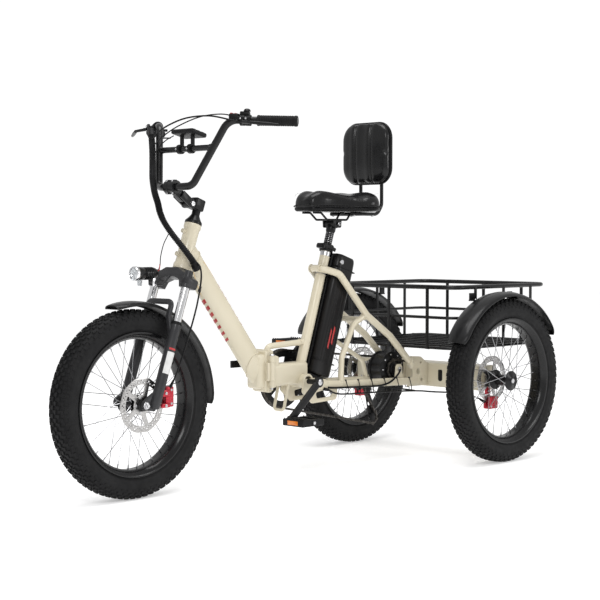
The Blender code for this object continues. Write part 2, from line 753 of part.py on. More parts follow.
def fender(centre, start, end, half_width):
    """An arched strip over a wheel, from one angle to another above the horizontal."""
    radius = WHEEL_RADIUS + FENDER_GAP
    section = [(radius, half_width), (radius + 0.007, half_width * 0.82), (radius + 0.010, half_width * 0.4)]
    section += [(r, -h) for r, h in reversed(section)]
    sweep = end - start
    frame = Matrix.Translation(centre) @ ALONG_Y @ Matrix.Rotation(-end, 4, "Z")
    strip = turned(section, frame, 14, closed=False, angle=sweep)
    wall = strip.modifiers.new("Wall", "SOLIDIFY")
    wall.thickness = FENDER_WALL
    wall.offset = 1
    return bake(strip)


def build_fenders():
    for side, name in ((1, "left"), (-1, "right")):
        shell = fender((0, side * TRACK / 2, WHEEL_RADIUS), math.radians(28), math.radians(150),
                       FENDER_HALF_WIDTH)
        edge = TRACK / 2 - FENDER_HALF_WIDTH
        basket_side = BASKET_HALF_WIDTH + BASKET_WIRE + 0.0010
        width = edge - basket_side + 0.020
        top = WHEEL_RADIUS * 2 + FENDER_GAP + 0.006
        for x in (0.105, -0.105):
            drop = 0.021
            tab = box((0.024, width, 0.004), (x, side * (basket_side + width / 2), top - drop))
            unite(shell, tab)
        finish(shell, f"rear_{name}_fender", "black_paint")
    front = fender(FRONT_AXLE, math.radians(76), math.radians(184), FENDER_HALF_WIDTH - 0.003)
    finish(front, "front_fender", "black_paint", AXES["steering"])


# Drive

def belt(wheels, step=math.radians(15)):
    """The closed path of a chain round wheels of (centre, radius, sense), sense 1 being anticlockwise."""
    tangents = []
    for (first, radius, sense), (second, next_radius, next_sense) in zip(wheels, wheels[1:] + wheels[:1]):
        across = second - first
        lean = math.acos((sense * radius - next_sense * next_radius) / across.length)
        normal = math.atan2(across.y, across.x) - lean
        tangents.append(normal)
    path = []
    for i, (centre, radius, sense) in enumerate(wheels):
        arrive = tangents[i - 1] + (0 if sense > 0 else math.pi)
        leave = tangents[i] + (0 if sense > 0 else math.pi)
        sweep = (leave - arrive) * sense % math.tau
        count = max(2, math.ceil(sweep / step))
        reach = radius / math.cos(sweep / count / 2)
        for k in range(count + 1):
            angle = arrive + sense * sweep * k / count
            path.append((centre.x + reach * math.cos(angle), centre.y + reach * math.sin(angle)))
    return path


def build_chain():
    middle = CHAIN_CLEARANCE + CHAIN_HEIGHT / 2
    wheels = [
        (Vector((BRACKET_X, BRACKET_Z)), CHAINRING_RADIUS + middle, 1),
        (Vector((MOTOR_X, MOTOR_Z)), COG_RADIUS + middle, 1),
        (GUIDE_PULLEY, PULLEY_RADIUS + middle, -1),
        (TENSION_PULLEY, PULLEY_RADIUS + middle, 1),
    ]
    half = CHAIN_HEIGHT / 2
    outer = belt([(centre, radius + sense * half, sense) for centre, radius, sense in wheels])
    inner = belt([(centre, radius - sense * half, sense) for centre, radius, sense in wheels])
    finish(side_plate(outer, CHAIN_WIDTH, CHAIN_LINE, [inner]), "chain", "dark_steel")


def crank_direction(turn):
    angle = CRANK_ANGLE + turn
    return Vector((math.cos(angle), 0, math.sin(angle)))


def crank_arm(side, turn):
    """A tapered arm on the spindle's end, with the pedal's spindle in its tip."""
    start = BRACKET + Vector((0, side * (SPINDLE_HALF - 0.014), 0))
    end = BRACKET + Vector((0, side * SPINDLE_HALF, 0))
    tip = crank_direction(turn) * CRANK_LENGTH
    outward = Vector((0, side, 0))
    middle = (start + end) / 2
    arm = box((0.013, 0.024, CRANK_LENGTH), (0, 0, CRANK_LENGTH / 2),
              Matrix.Translation(middle) @ tip.to_track_quat("Z", "Y").to_matrix().to_4x4(), bevel=0.003)
    return [
        arm,
        rod(start, end, 0.017),
        rod(start + tip, end + tip, 0.014, 12),
        rod(end + tip - outward * 0.005, end + tip + outward * (PEDAL_WIDTH + 0.008),
            PEDAL_SPINDLE_RADIUS, 10),
    ]


def build_crankset():
    on = AXES["bracket"]
    spindle = rod(BRACKET - Vector((0, SPINDLE_HALF - 0.002, 0)),
                  BRACKET + Vector((0, SPINDLE_HALF - 0.016, 0)), 0.0085)
    ring_plate = plate(circle((0, 0), CHAINRING_RADIUS, 36), 0.004,
                       Matrix.Translation((BRACKET_X, CHAIN_LINE, BRACKET_Z)) @ SIDE_VIEW,
                       windows(0.026, 0.072, 5, 0.74))
    crankset = unite(spindle, ring_plate, *crank_arm(-1, math.pi))
    finish(crankset, "crankset", "black_paint", on)
    left = unite(*crank_arm(1, 0))
    socket = rod(BRACKET + Vector((0, 0.05, 0)), BRACKET + Vector((0, SPINDLE_HALF - 0.0155, 0)), 0.009)
    finish(cut(left, socket), "crank_arm_left", "black_paint", on)
    for side, name, turn in ((1, "left", 0), (-1, "right", math.pi)):
        centre = BRACKET + crank_direction(turn) * CRANK_LENGTH
        centre += Vector((0, side * (SPINDLE_HALF + 0.004 + PEDAL_WIDTH / 2), 0))
        pedal_axis = axis(f"pedal_{name}_axis", centre, (0, 1, 0))
        body = box((PEDAL_LENGTH, PEDAL_WIDTH, PEDAL_HEIGHT), centre, bevel=0.003)
        holes = [rod(centre - Vector((0, 0.06, 0)), centre + Vector((0, 0.06, 0)),
                     PEDAL_SPINDLE_RADIUS + RUNNING_GAP, 10)]
        for shift in (-0.027, 0.027):
            holes.append(box((0.024, PEDAL_WIDTH - 0.024, 0.05), centre + Vector((shift, 0, 0))))
        finish(cut(body, *holes), f"pedal_{name}", "black_plastic", pedal_axis)


def build_motor():
    """A hub motor used as a jackshaft: the cassette drives it on the right, its sprocket drives the axle."""
    frame = Matrix.Translation((MOTOR_X, 0, MOTOR_Z)) @ ALONG_Y
    bore = MOTOR_AXLE_RADIUS + RUNNING_GAP
    profile = [
        (0.012, 0.0415),
        (0.030, 0.0385),
        (0.030, 0.0345),
        (0.022, 0.0325),
        (0.036, 0.0285),
        (0.038, 0.0240),
        (MOTOR_RADIUS, 0.0200),
        (MOTOR_RADIUS, 0.0160),
        (MOTOR_RADIUS - 0.006, 0.0145),
        (MOTOR_RADIUS - 0.006, -0.0305),
        (MOTOR_RADIUS, -0.0320),
        (MOTOR_RADIUS, -0.0360),
        (0.030, -0.0390),
        (0.012, -0.0400),
        (0.012, -0.0900),
        (bore, -0.0900),
        (bore, 0.0415),
    ]
    on = AXES["motor"]
    finish(turned(profile, frame, 18), "motor_hub", "black_paint", on)
    edge = CHAIN_WIDTH / 2 + CHAIN_CLEARANCE
    cogs = [
        (COG_RADIUS + 0.0025, CHAIN_LINE + edge + 0.0035),
        (COG_RADIUS + 0.0025, CHAIN_LINE + edge + 0.0005),
        (COG_RADIUS, CHAIN_LINE + edge),
        (COG_RADIUS, CHAIN_LINE - edge),
        (COG_RADIUS - 0.003, CHAIN_LINE - edge - 0.0005),
        (0.024, CHAIN_LINE - edge - 0.0190),
        (0.0126, CHAIN_LINE - edge - 0.0190),
        (0.0126, CHAIN_LINE + edge + 0.0035),
    ]
    finish(turned(cogs, frame, 20), "cassette", "dark_steel", on)


def build_differential():
    frame = Matrix.Translation(AXLE) @ ALONG_Y
    profile = [
        (0.0, 0.032),
        (0.014, 0.032),
        (0.014, 0.024),
        (0.031, 0.022),
        (0.031, 0.018),
        (0.026, 0.016),
        (0.026, -0.026),
        (0.014, -0.028),
        (0.014, -0.036),
        (0.0, -0.036),
    ]
    on = axis("differential_axis", AXLE, (0, 1, 0))
    finish(turned(profile, frame, 20, closed=False), "differential", "steel", on)


def build_derailleur():
    """A hanger arm and a cage plate outside the chain, with the two pulleys that the chain runs over."""
    outside = CHAIN_LINE - CHAIN_WIDTH / 2 - 0.0035
    inside = CHAIN_LINE + CHAIN_WIDTH / 2
    pieces = []
    for centre in (GUIDE_PULLEY, TENSION_PULLEY):
        pieces.append(rod((centre.x, outside - 0.002, centre.y), (centre.x, inside, centre.y),
                          PULLEY_RADIUS, 16))
    guide, tension = GUIDE_PULLEY, TENSION_PULLEY
    cage = [
        (guide.x - 0.010, guide.y + 0.012),
        (tension.x - 0.013, tension.y),
        (tension.x, tension.y - 0.013),
        (tension.x + 0.013, tension.y),
        (guide.x + 0.012, guide.y + 0.010),
    ]
    arm = [(0.205, 0.2632), (0.214, 0.244), (0.237, 0.226), (0.251, 0.240), (0.221, 0.2635)]
    pieces += [
        side_plate(cage, 0.003, outside),
        side_plate(arm, 0.010, -0.0955),
        rod((0.233, -0.0955, 0.238), (0.233, outside, 0.238), 0.0078, 12),
    ]
    finish(unite(*pieces), "derailleur", "black_paint")


# Battery and seat

def build_battery():
    size = (BATTERY_DEPTH, 2 * BATTERY_HALF_WIDTH, BATTERY_TOP - BATTERY_BOTTOM)
    at = (BATTERY_FRONT - BATTERY_DEPTH / 2, 0, (BATTERY_TOP + BATTERY_BOTTOM) / 2)
    finish(box(size, at, SEAT, bevel=0.008), "battery", "black_plastic", AXES["seat_slide"])


def build_seat_clamp():
    bottom = SEAT_TUBE_LENGTH - 0.020
    top = SEAT_TUBE_LENGTH + 0.004
    bore = SEAT_TUBE_RADIUS + RUNNING_GAP
    outer = SEAT_TUBE_RADIUS + SEAT_CLAMP_WALL
    post_bore = SEATPOST_RADIUS + RUNNING_GAP
    collar = [
        (outer, top),
        (outer, bottom),
        (bore, bottom),
        (bore, SEAT_TUBE_LENGTH + GAP),
        (post_bore, SEAT_TUBE_LENGTH + GAP),
        (post_bore, top),
    ]
    clamp = turned(collar, SEAT, 20)
    lug = box((0.016, 0.026, 0.016), (outer + 0.0055, 0, SEAT_TUBE_LENGTH - 0.008), SEAT)
    finish(unite(clamp, lug), "seat_clamp", "black_paint")
    pivot = seat(outer + 0.0075, outer - 0.003, SEAT_TUBE_LENGTH - 0.008)
    lean = seat(0, 0, 1) - BRACKET
    on = axis("seat_lever_axis", pivot, lean)
    barrel = rod(pivot - lean * 0.007, pivot + lean * 0.007, 0.006, 12)
    handle_at = (0.010, outer + 0.003, SEAT_TUBE_LENGTH - 0.008)
    handle = box((0.050, 0.006, 0.012), handle_at, SEAT, bevel=0.002)
    finish(unite(barrel, handle), "seat_clamp_lever", "black_paint", on)


def build_seatpost():
    head = seat(0, 0, SEATPOST_TOP)
    post = unite(
        rod(seat(0, 0, 0.250), head, SEATPOST_RADIUS),
        rod(head - Vector((0, 0.020, 0)), head + Vector((0, 0.020, 0)), 0.0145, 16),
        rod(head - Vector((0, 0.036, 0)), head + Vector((0, 0.036, 0)), 0.0045, 10),
    )
    finish(post, "seatpost", "black_paint", AXES["seat_slide"])


def build_saddle_frame():
    head = seat(0, 0, SEATPOST_TOP)
    high = SADDLE_BOTTOM - RAIL_RADIUS - GAP
    low = high - 0.0225
    pieces = []
    for side in (1, -1):
        y = side * RAIL_SPREAD
        route = [(0.588, y, high), (0.553, y, high), (0.525, y, low), (0.430, y, low), (0.412, y, high),
                 (0.392, y, high)]
        pieces.append(tube(rounded(route, 0.010, 3), RAIL_RADIUS))
        cheek = [(head.x - 0.016, head.z - 0.010), (head.x + 0.016, head.z - 0.010),
                 (head.x + 0.018, low + 0.003), (head.x - 0.018, low + 0.003)]
        hole = circle((head.x, head.z), 0.0052, 10)
        pieces.append(side_plate(cheek, 0.006, side * 0.0240, [hole]))
    for x in (0.515, 0.440):
        pieces.append(rod((x, -RAIL_SPREAD, low), (x, RAIL_SPREAD, low), 0.003, 8))
    finish(unite(*pieces), "saddle_frame", "black_paint", AXES["saddle_tilt"])


def build_saddle():
    """A wide padded saddle, lofted through cross-sections from the nose to the tail."""
    stations = [
        (0.617, 0.030, 0.874, 0.004), (0.609, 0.046, 0.892, 0.0), (0.580, 0.060, 0.905, 0.0),
        (0.535, 0.072, 0.903, 0.0), (0.490, 0.092, 0.893, 0.0), (0.445, 0.120, 0.892, 0.0),
        (0.405, 0.132, 0.901, 0.0), (0.372, 0.122, 0.903, 0.0), (0.355, 0.090, 0.888, 0.006),
    ]
    section = [(1.0, 0.0), (1.0, 0.45), (0.90, 0.82), (0.55, 1.0), (0.0, 0.95), (-0.55, 1.0),
               (-0.90, 0.82), (-1.0, 0.45), (-1.0, 0.0), (-0.5, 0.0), (0.5, 0.0)]
    shape = bmesh.new()
    rows = []
    for x, half, top, lift in stations:
        bottom = SADDLE_BOTTOM + lift
        rows.append([shape.verts.new((x, half * across, bottom + (top - bottom) * up))
                     for across, up in section])
    for near, far in zip(rows, rows[1:]):
        for i in range(len(section)):
            j = (i + 1) % len(section)
            shape.faces.new((near[i], near[j], far[j], far[i]))
    shape.faces.new(rows[0])
    shape.faces.new(rows[-1])
    bmesh.ops.recalc_face_normals(shape, faces=shape.faces)
    mesh = bpy.data.meshes.new("saddle")
    shape.to_mesh(mesh)
    shape.free()
    saddle = bpy.data.objects.new("saddle", mesh)
    PARTS.objects.link(saddle)
    finish(saddle, "saddle", "black_vinyl", AXES["saddle_tilt"])


def build_backrest():
    low = SADDLE_BOTTOM - BACK_TUBE_RADIUS - GAP
    half = BACK_TUBE_SPREAD
    pieces = [rod((0.375, -half, low), (0.375, half, low), BACK_TUBE_RADIUS, 8)]
    for side in (1, -1):
        route = [(0.430, side * half, low), (BACK_TUBE_X + 0.022, side * half, low),
                 (BACK_TUBE_X, side * half, low + 0.030), (BACK_TUBE_X, side * half, PAD_TOP - 0.050)]
        pieces.append(tube(rounded(route, 0.030), BACK_TUBE_RADIUS))
    finish(unite(*pieces), "backrest_frame", "black_paint", AXES["saddle_tilt"])
    corner = 0.055
    outline = []
    for i, (side_y, z) in enumerate(((1, PAD_TOP), (-1, PAD_TOP), (-1, PAD_BOTTOM), (1, PAD_BOTTOM))):
        centre_y = side_y * (PAD_HALF_WIDTH - corner)
        centre_z = z + (corner if z == PAD_BOTTOM else -corner)
        for step in range(5):
            angle = math.radians(90 * i + 22.5 * step)
            outline.append((centre_y + corner * math.cos(angle), centre_z + corner * math.sin(angle)))
    front_view = Matrix(((0, 0, 1, 0), (1, 0, 0, 0), (0, 1, 0, 0), (0, 0, 0, 1)))
    back_face = BACK_TUBE_X + BACK_TUBE_RADIUS + GAP
    pad = plate(outline, PAD_THICKNESS,
                Matrix.Translation((back_face + PAD_THICKNESS / 2, 0, 0)) @ front_view)
    finish(pad, "backrest_pad", "black_vinyl", AXES["saddle_tilt"])


# Front frame

def build_front_frame():
    head = [
        (0.0262, HEAD_TOP),
        (0.0262, HEAD_TOP - 0.012),
        (HEAD_RADIUS, HEAD_TOP - 0.018),
        (HEAD_RADIUS, HEAD_BOTTOM + 0.022),
        (0.0268, HEAD_BOTTOM + 0.014),
        (0.0268, HEAD_BOTTOM),
        (0.0, HEAD_BOTTOM),
    ]
    head_tube = turned([(0.0, HEAD_TOP), *head], STEER, 16, closed=False)
    top = steer(0, 0, 0.462)
    bottom = Vector((HINGE_X - 0.03, 0, 0.262))
    axis_length = (bottom - top).length
    bpy.ops.mesh.primitive_cylinder_add(vertices=20, radius=1, depth=axis_length)
    main_tube = bpy.context.object
    oval = Matrix.Translation((0, 0, axis_length / 2)) @ Matrix.Diagonal((0.025, 0.038, 1, 1))
    main_tube.data.transform(pointing(top, bottom) @ oval)
    low, low_end, high_start, high = KNUCKLES
    pieces = [
        main_tube,
        head_tube,
        box((0.050, 0.056, 0.112), (HINGE_X + 0.030, 0, 0.338)),
    ]
    frame = unite(*pieces)
    cut(frame, box((0.2, 0.2, 0.4), (HINGE_X + GAP - 0.1, 0, 0.30)))
    bosses = [
        hinge_flange(1),
        knuckle(low_end + GAP, high_start - GAP),
        knuckle_tab(low_end + GAP, high_start - GAP, 1),
        rod(steer(0.015, 0, HEAD_TOP - 0.030), steer(0.034, 0, HEAD_TOP - 0.030), 0.005, 10),
        rod(steer(0.015, 0, HEAD_BOTTOM + 0.040), steer(0.034, 0, HEAD_BOTTOM + 0.040), 0.005, 10),
    ]
    for shift in (-LATCH_EAR_SHIFT, LATCH_EAR_SHIFT):
        ear = LATCH_PIVOT + Vector((0, 0.0070, shift))
        bosses.append(box((0.014, 0.026, 0.0070), ear))
    unite(frame, *bosses)
    bore = rod(steer(0, 0, HEAD_BOTTOM - 0.03), steer(0, 0, HEAD_TOP + 0.03), STEERER_RADIUS + 0.0022)
    cut(frame, bore, pin_bore())
    finish(frame, "front_frame", "cream_paint", AXES["frame_fold"])


def build_hinge_pin():
    low, _, _, high = KNUCKLES
    at = (HINGE_X, HINGE_PIN_Y)
    pin = unite(
        rod((*at, low - 0.006), (*at, high + 0.002), HINGE_PIN_RADIUS - GAP, 12),
        rod((*at, high + GAP), (*at, high + 0.005), 0.008, 12),
    )
    finish(pin, "hinge_pin", "steel", AXES["frame_fold"])


def build_latch():
    x, y, middle = LATCH_PIVOT
    barrel = rod((x, y, middle - 0.016), (x, y, middle + 0.016), 0.007, 12)
    handle = box((0.080, 0.008, 0.024), (x + 0.040, y - 0.006, middle), bevel=0.002)
    finish(unite(barrel, handle), "latch_lever", "black_plastic", AXES["latch"])


# Fork and headlight

def build_fork_upper():
    half = [(0.089, CROWN_BOTTOM), (0.089, 0.370), (0.060, 0.386), (0.028, 0.4045)]
    arch = [(0.052, CROWN_BOTTOM), (0.044, 0.366), (0.020, 0.375)]
    outline = half + [(-x, z) for x, z in reversed(half)]
    outline += [(-x, z) for x, z in arch] + arch[::-1]
    across = STEER @ Matrix.Translation((0.017, 0, 0)) @ Matrix(
        ((0, 0, 1, 0), (1, 0, 0, 0), (0, 1, 0, 0), (0, 0, 0, 1)))
    pieces = [
        plate(outline, 0.041, across),
        rod(steer(0, 0, 0.390), steer(0, 0, HEAD_TOP - 0.001), STEERER_RADIUS),
    ]
    for side in (1, -1):
        v = side * LEG_SPREAD
        pieces.append(rod(steer(LEG_RAKE, v, 0.110), steer(LEG_RAKE, v, 0.360), STANCHION_RADIUS, 14))
        pieces.append(rod(steer(LEG_RAKE + 0.002, v, 0.360), steer(LEG_RAKE + 0.002, v, 0.3955), 0.0125, 12))
    bracket_end = Vector((LAMP_PIVOT.x + 0.006, 0, LAMP_BRACKET_BEND.z))
    lamp_bracket = rounded([steer(0.030, 0, 0.388), LAMP_BRACKET_BEND, bracket_end], 0.012)
    pieces.append(tube(lamp_bracket, 0.0030))
    finish(unite(*pieces), "fork_upper", "black_paint", AXES["steering"])


def build_headlight():
    """A round lamp on a short foot, with a reflector plate hanging under its front."""
    on = axis("headlight_tilt", LAMP_PIVOT, (0, 1, 0))
    frame = Matrix.Translation(LAMP_BACK) @ Matrix.Rotation(math.pi / 2, 4, "Y")
    profile = [(0.0, 0.086), (0.0185, 0.086), (0.0215, 0.089), (0.0215, 0.078), (0.0195, 0.070),
               (0.0185, 0.020), (0.012, 0.004), (0.0, 0.0)]
    lamp = turned(profile, frame, 18, closed=False)
    foot = unite(
        lamp,
        box((0.010, 0.012, 0.018), LAMP_PIVOT + Vector((0, 0, 0.010))),
        rod(LAMP_PIVOT - Vector((0, 0.009, 0)), LAMP_PIVOT + Vector((0, 0.009, 0)), 0.006, 12),
        box((0.003, 0.020, 0.026), LAMP_REFLECTOR),
    )
    finish(foot, "headlight", "black_plastic", on)


def build_fork_lowers():
    pieces = []
    axle_height = (FRONT_AXLE - STEER_FOOT).dot((STEER @ Vector((0, 0, 1)) - STEER_FOOT))
    for side in (1, -1):
        v = side * LEG_SPREAD
        pieces.append(rod(steer(LEG_RAKE, v, -0.020), steer(LEG_RAKE, v, LEG_TOP), LEG_RADIUS, 14))
        inner = side * (FRONT_HUB_HALF + 0.0073)
        drop = [
            (LEG_RAKE - 0.012, 0.012),
            (LEG_RAKE + 0.012, 0.020),
            (FORK_RAKE + 0.012, axle_height + 0.004),
            (FORK_RAKE + 0.008, axle_height - 0.012),
            (LEG_RAKE - 0.006, axle_height - 0.010),
        ]
        lengthwise = STEER @ Matrix.Translation((0, inner, 0)) @ SIDE_VIEW
        pieces.append(plate(drop, 0.0114, lengthwise))
    arch_half = [steer(0.034, 0.066, 0.205), steer(0.046, 0.053, 0.250), steer(0.046, 0.053, 0.295)]
    mirror_half = [steer(0.046, -0.053, 0.295), steer(0.046, -0.053, 0.250), steer(0.034, -0.066, 0.205)]
    pieces.append(tube(rounded(arch_half + mirror_half, 0.016, 3), 0.008))
    tip = FRONT_HUB_HALF + 0.024
    pieces.append(rod(FRONT_AXLE - Vector((0, tip, 0)), FRONT_AXLE + Vector((0, tip, 0)),
                      FRONT_AXLE_RADIUS, 12))
    lowers = unite(*pieces)
    for side in (1, -1):
        v = side * LEG_SPREAD
        bore = rod(steer(LEG_RAKE, v, 0.060), steer(LEG_RAKE, v, 0.300), STANCHION_RADIUS + 0.0006, 16)
        cut(lowers, bore, solver="MANIFOLD")
    finish(lowers, "fork_lowers", "black_paint", AXES["steering"])


def build_front_calliper():
    centre = Vector((WHEELBASE - 0.095, FRONT_DISC_Y + 0.001, 0.292))
    body = box((0.030, 0.026, 0.062), centre, bevel=0.005)
    arm = box((0.030, 0.010, 0.022), centre + Vector((0.022, 0.012, 0.012)))
    arm_low = box((0.036, 0.010, 0.014), centre + Vector((0.022, 0.012, -0.024)))
    calliper = unite(body, arm, arm_low)
    slot = DISC_THICKNESS + 2 * DISC_CALLIPER_GAP
    leg_clear = rod(steer(LEG_RAKE, LEG_SPREAD, -0.03), steer(LEG_RAKE, LEG_SPREAD, 0.30),
                    LEG_RADIUS + 0.0006, 24)
    cut(
        calliper,
        rod(FRONT_AXLE + Vector((0, FRONT_DISC_Y - slot / 2, 0)),
            FRONT_AXLE + Vector((0, FRONT_DISC_Y + slot / 2, 0)), DISC_RADIUS + 0.004, 32),
        leg_clear,
    )
    finish(calliper, "front_calliper", "red_anodised", AXES["steering"])


def build_front_hose():
    route = [(1.222, 0.060, 0.3245), (1.214, 0.070, 0.350), (1.196, 0.082, 0.410), (1.168, 0.086, 0.490),
             (1.147, 0.088, 0.552)]
    finish(tube(smooth(route, 3), 0.0026), "front_brake_hose", "black_plastic", AXES["steering"])


# Stem, handlebar and controls

def build_stem():
    cap = [(0.0, 0.604), (0.0125, 0.604), (0.0125, 0.578), (0.026, 0.558), (0.026, HEAD_TOP + GAP),
           (0.0, HEAD_TOP + GAP)]
    pivot = steer(STEM_PIVOT_RAKE, 0, STEM_PIVOT_HEIGHT)
    base = unite(
        turned(cap, STEER, 16, closed=False),
        box((0.038, 0.030, 0.036), (0.003, 0, 0.612), STEER, bevel=0.004),
        box((0.030, 0.020, 0.022), (0.024, 0, STEM_PIVOT_HEIGHT), STEER),
        rod(pivot - Vector((0, 0.010, 0)), pivot + Vector((0, 0.010, 0)), 0.013),
    )
    cut(base, rod(pivot - Vector((0, 0.03, 0)), pivot + Vector((0, 0.03, 0)), 0.0045, 12))
    finish(base, "stem_base", "black_paint", AXES["steering"])
    on = AXES["stem"]
    along = BAR_CLAMP - pivot
    arm_frame = Matrix.Translation(pivot) @ Matrix.Rotation(
        -math.atan2(along.z, along.x), 4, "Y")
    reach = along.length
    arm_size = (reach - 0.018, STEM_ARM_WIDTH, STEM_ARM_WIDTH)
    pieces = [box(arm_size, ((reach + 0.018) / 2, 0, 0), arm_frame, bevel=0.003)]
    for side in (1, -1):
        y = side * 0.0152
        pieces.append(rod(pivot + Vector((0, y - 0.0045, 0)), pivot + Vector((0, y + 0.0045, 0)), 0.013))
        pieces.append(box((reach * 0.6, 0.0082, 0.0235), (reach * 0.3, y, 0), arm_frame))
    pieces.append(rod(pivot - Vector((0, 0.019, 0)), pivot + Vector((0, 0.019, 0)), 0.004, 12))
    pieces.append(rod(BAR_CLAMP - Vector((0, 0.022, 0)), BAR_CLAMP + Vector((0, 0.022, 0)), 0.0195))
    arm = unite(*pieces)
    cut(arm, rod(BAR_CLAMP - Vector((0, 0.03, 0)), BAR_CLAMP + Vector((0, 0.03, 0)), BAR_SLEEVE_BORE, 20))
    finish(arm, "stem_arm", "black_paint", on)


def riser(z):
    """The point where the left riser of the handlebar passes a height."""
    share = (z - BAR_LOW_BEND.z) / (BAR_HIGH_BEND.z - BAR_LOW_BEND.z)
    return BAR_LOW_BEND.lerp(BAR_HIGH_BEND, share)


def build_handlebar():
    left = [BAR_END, BAR_HIGH_BEND, BAR_LOW_BEND, Vector((BAR_CLAMP.x, 0.040, BAR_CLAMP.z))]
    route = rounded(left + mirrored(left[::-1]), 0.045, 4)
    cross = riser(CROSSBAR_Z)
    bar = unite(tube(route, BAR_RADIUS, resolution=3), tube([cross, mirrored([cross])[0]], CROSSBAR_RADIUS))
    finish(bar, "handlebar", "black_paint", AXES["stem"])


def bar_frame(side):
    """The frame of a handlebar end: X outwards along the grip from the high bend, Z up."""
    start = Vector((BAR_HIGH_BEND.x, side * BAR_HIGH_BEND.y, BAR_HIGH_BEND.z))
    end = Vector((BAR_END.x, side * BAR_END.y, BAR_END.z))
    outward = (end - start).normalized()
    back = Vector((0, 0, 1)).cross(outward).normalized()
    up = outward.cross(back)
    turn = Matrix((outward, back, up)).transposed().to_4x4()
    return Matrix.Translation(start) @ turn


def sleeve(side, start, end, radius, sides=16):
    """A ring round the handlebar's end, between two distances from the high bend."""
    frame = bar_frame(side) @ Matrix.Rotation(math.pi / 2, 4, "Y")
    profile = [(radius, end), (radius, start), (BAR_SLEEVE_BORE, start), (BAR_SLEEVE_BORE, end)]
    return turned(profile, frame, sides)


def build_controls():
    on = AXES["stem"]
    for side, name in ((1, "left"), (-1, "right")):
        frame = bar_frame(side)
        ahead = -side
        grip_start = BAR_STRAIGHT - GRIP_LENGTH
        finish(sleeve(side, grip_start + GAP, BAR_STRAIGHT - 0.001, GRIP_RADIUS), f"grip_{name}",
               "grip_rubber", on)
        housing = [
            sleeve(side, 0.036, 0.068, 0.0165),
            box((0.024, 0.016, 0.020), (0.052, ahead * 0.020, -0.006), frame),
            box((0.036, 0.008, 0.010), (0.052, ahead * 0.029, 0.003), frame),
        ]
        if side > 0:
            switch_at = (0.0485, -ahead * 0.004, 0.0195)
            bell_foot = frame @ Vector((0.0555, 0, 0.0155))
            bell_top = frame @ Vector((0.0555, 0, 0.034))
            housing.append(box((0.0265, 0.026, 0.012), switch_at, frame, bevel=0.002))
            housing.append(rod(bell_foot, bell_top, 0.0105))
        else:
            housing.append(box((0.028, 0.034, 0.016), (0.049, -ahead * 0.006, -0.022), frame, bevel=0.003))
        finish(unite(*housing), f"{name}_controls", "black_plastic", on)
        pivot = frame @ Vector((LEVER_PIVOT.x, ahead * LEVER_PIVOT.y, LEVER_PIVOT.z))
        lever_axis = axis(f"brake_lever_{name}_axis", pivot, frame.to_3x3() @ Vector((0, 0, side)))
        path = [(0.052, 0.0380, -0.0075), (0.080, 0.063, -0.010), (0.165, 0.064, -0.016)]
        blade = tube([frame @ p for p in rounded([(x, ahead * y, z) for x, y, z in path], 0.020)], 0.0050)
        eye = rod(pivot - frame.to_3x3() @ Vector((0, 0, 0.0045)),
                  pivot + frame.to_3x3() @ Vector((0, 0, 0.0030)), 0.0065, 10)
        finish(unite(blade, eye), f"brake_lever_{name}", "black_paint", lever_axis)
    frame = bar_frame(-1)
    throttle_start = BAR_STRAIGHT - GRIP_LENGTH - 0.010
    throttle = unite(
        sleeve(-1, throttle_start, throttle_start + 0.0095, 0.0155),
        box((0.009, 0.024, 0.008), (throttle_start + 0.0047, -0.024, -0.006), frame, bevel=0.002),
    )
    throttle_axis = axis("throttle_axis", frame @ Vector((throttle_start, 0, 0)),
                         frame.to_3x3() @ Vector((1, 0, 0)))
    finish(throttle, "throttle_lever", "black_plastic", throttle_axis)
    pivot = frame @ Vector((0.049, -0.012, -0.0325))
    shift_axis = axis("shift_lever_axis", pivot, frame.to_3x3() @ Vector((0, 0, 1)))
    shift = unite(
        rod(pivot - frame.to_3x3() @ Vector((0, 0, 0.003)), pivot + frame.to_3x3() @ Vector((0, 0, 0.002)),
            0.007, 12),
        box((0.008, 0.030, 0.004), (0.049, -0.026, -0.0330), frame),
    )
    finish(shift, "shift_lever", "black_plastic", shift_axis)


def build_display():
    cross = riser(CROSSBAR_Z)
    tilt = Matrix.Translation((cross.x - 0.012, 0, CROSSBAR_Z + 0.046)) @ Matrix.Rotation(
        math.radians(-14), 4, "Y")
    pieces = [box((0.062, 0.096, 0.014), (0, 0, 0), tilt, bevel=0.004)]
    frame = Matrix.Translation((cross.x, 0, CROSSBAR_Z)) @ ALONG_Y
    for y in (0.024, -0.024):
        profile = [(0.0145, y + 0.007), (0.0145, y - 0.007), (0.0098, y - 0.007), (0.0098, y + 0.007)]
        pieces.append(turned(profile, frame, 16))
        pieces.append(box((0.010, 0.010, 0.032), (cross.x - 0.006, y, CROSSBAR_Z + 0.0275)))
    finish(unite(*pieces), "display", "black_plastic", AXES["stem"])


def build_looms():
    upper = [(1.119, -0.147, 1.068), (1.139, -0.119, 1.018), (1.156, -0.098, 0.970), (1.182, -0.066, 0.926),
             (1.196, -0.040, 0.886), (1.200, -0.022, 0.857)]
    lower = [(1.200, 0.004, 0.803), (1.186, 0.020, 0.770), (1.159, 0.034, 0.732), (1.126, 0.041, 0.693),
             (1.108, 0.0415, 0.669)]
    finish(tube(smooth(upper, 3), 0.0100), "cable_loom_upper", "black_plastic", AXES["stem"])
    finish(tube(smooth(lower, 3), 0.0100), "cable_loom_lower", "black_plastic", AXES["frame_fold"])


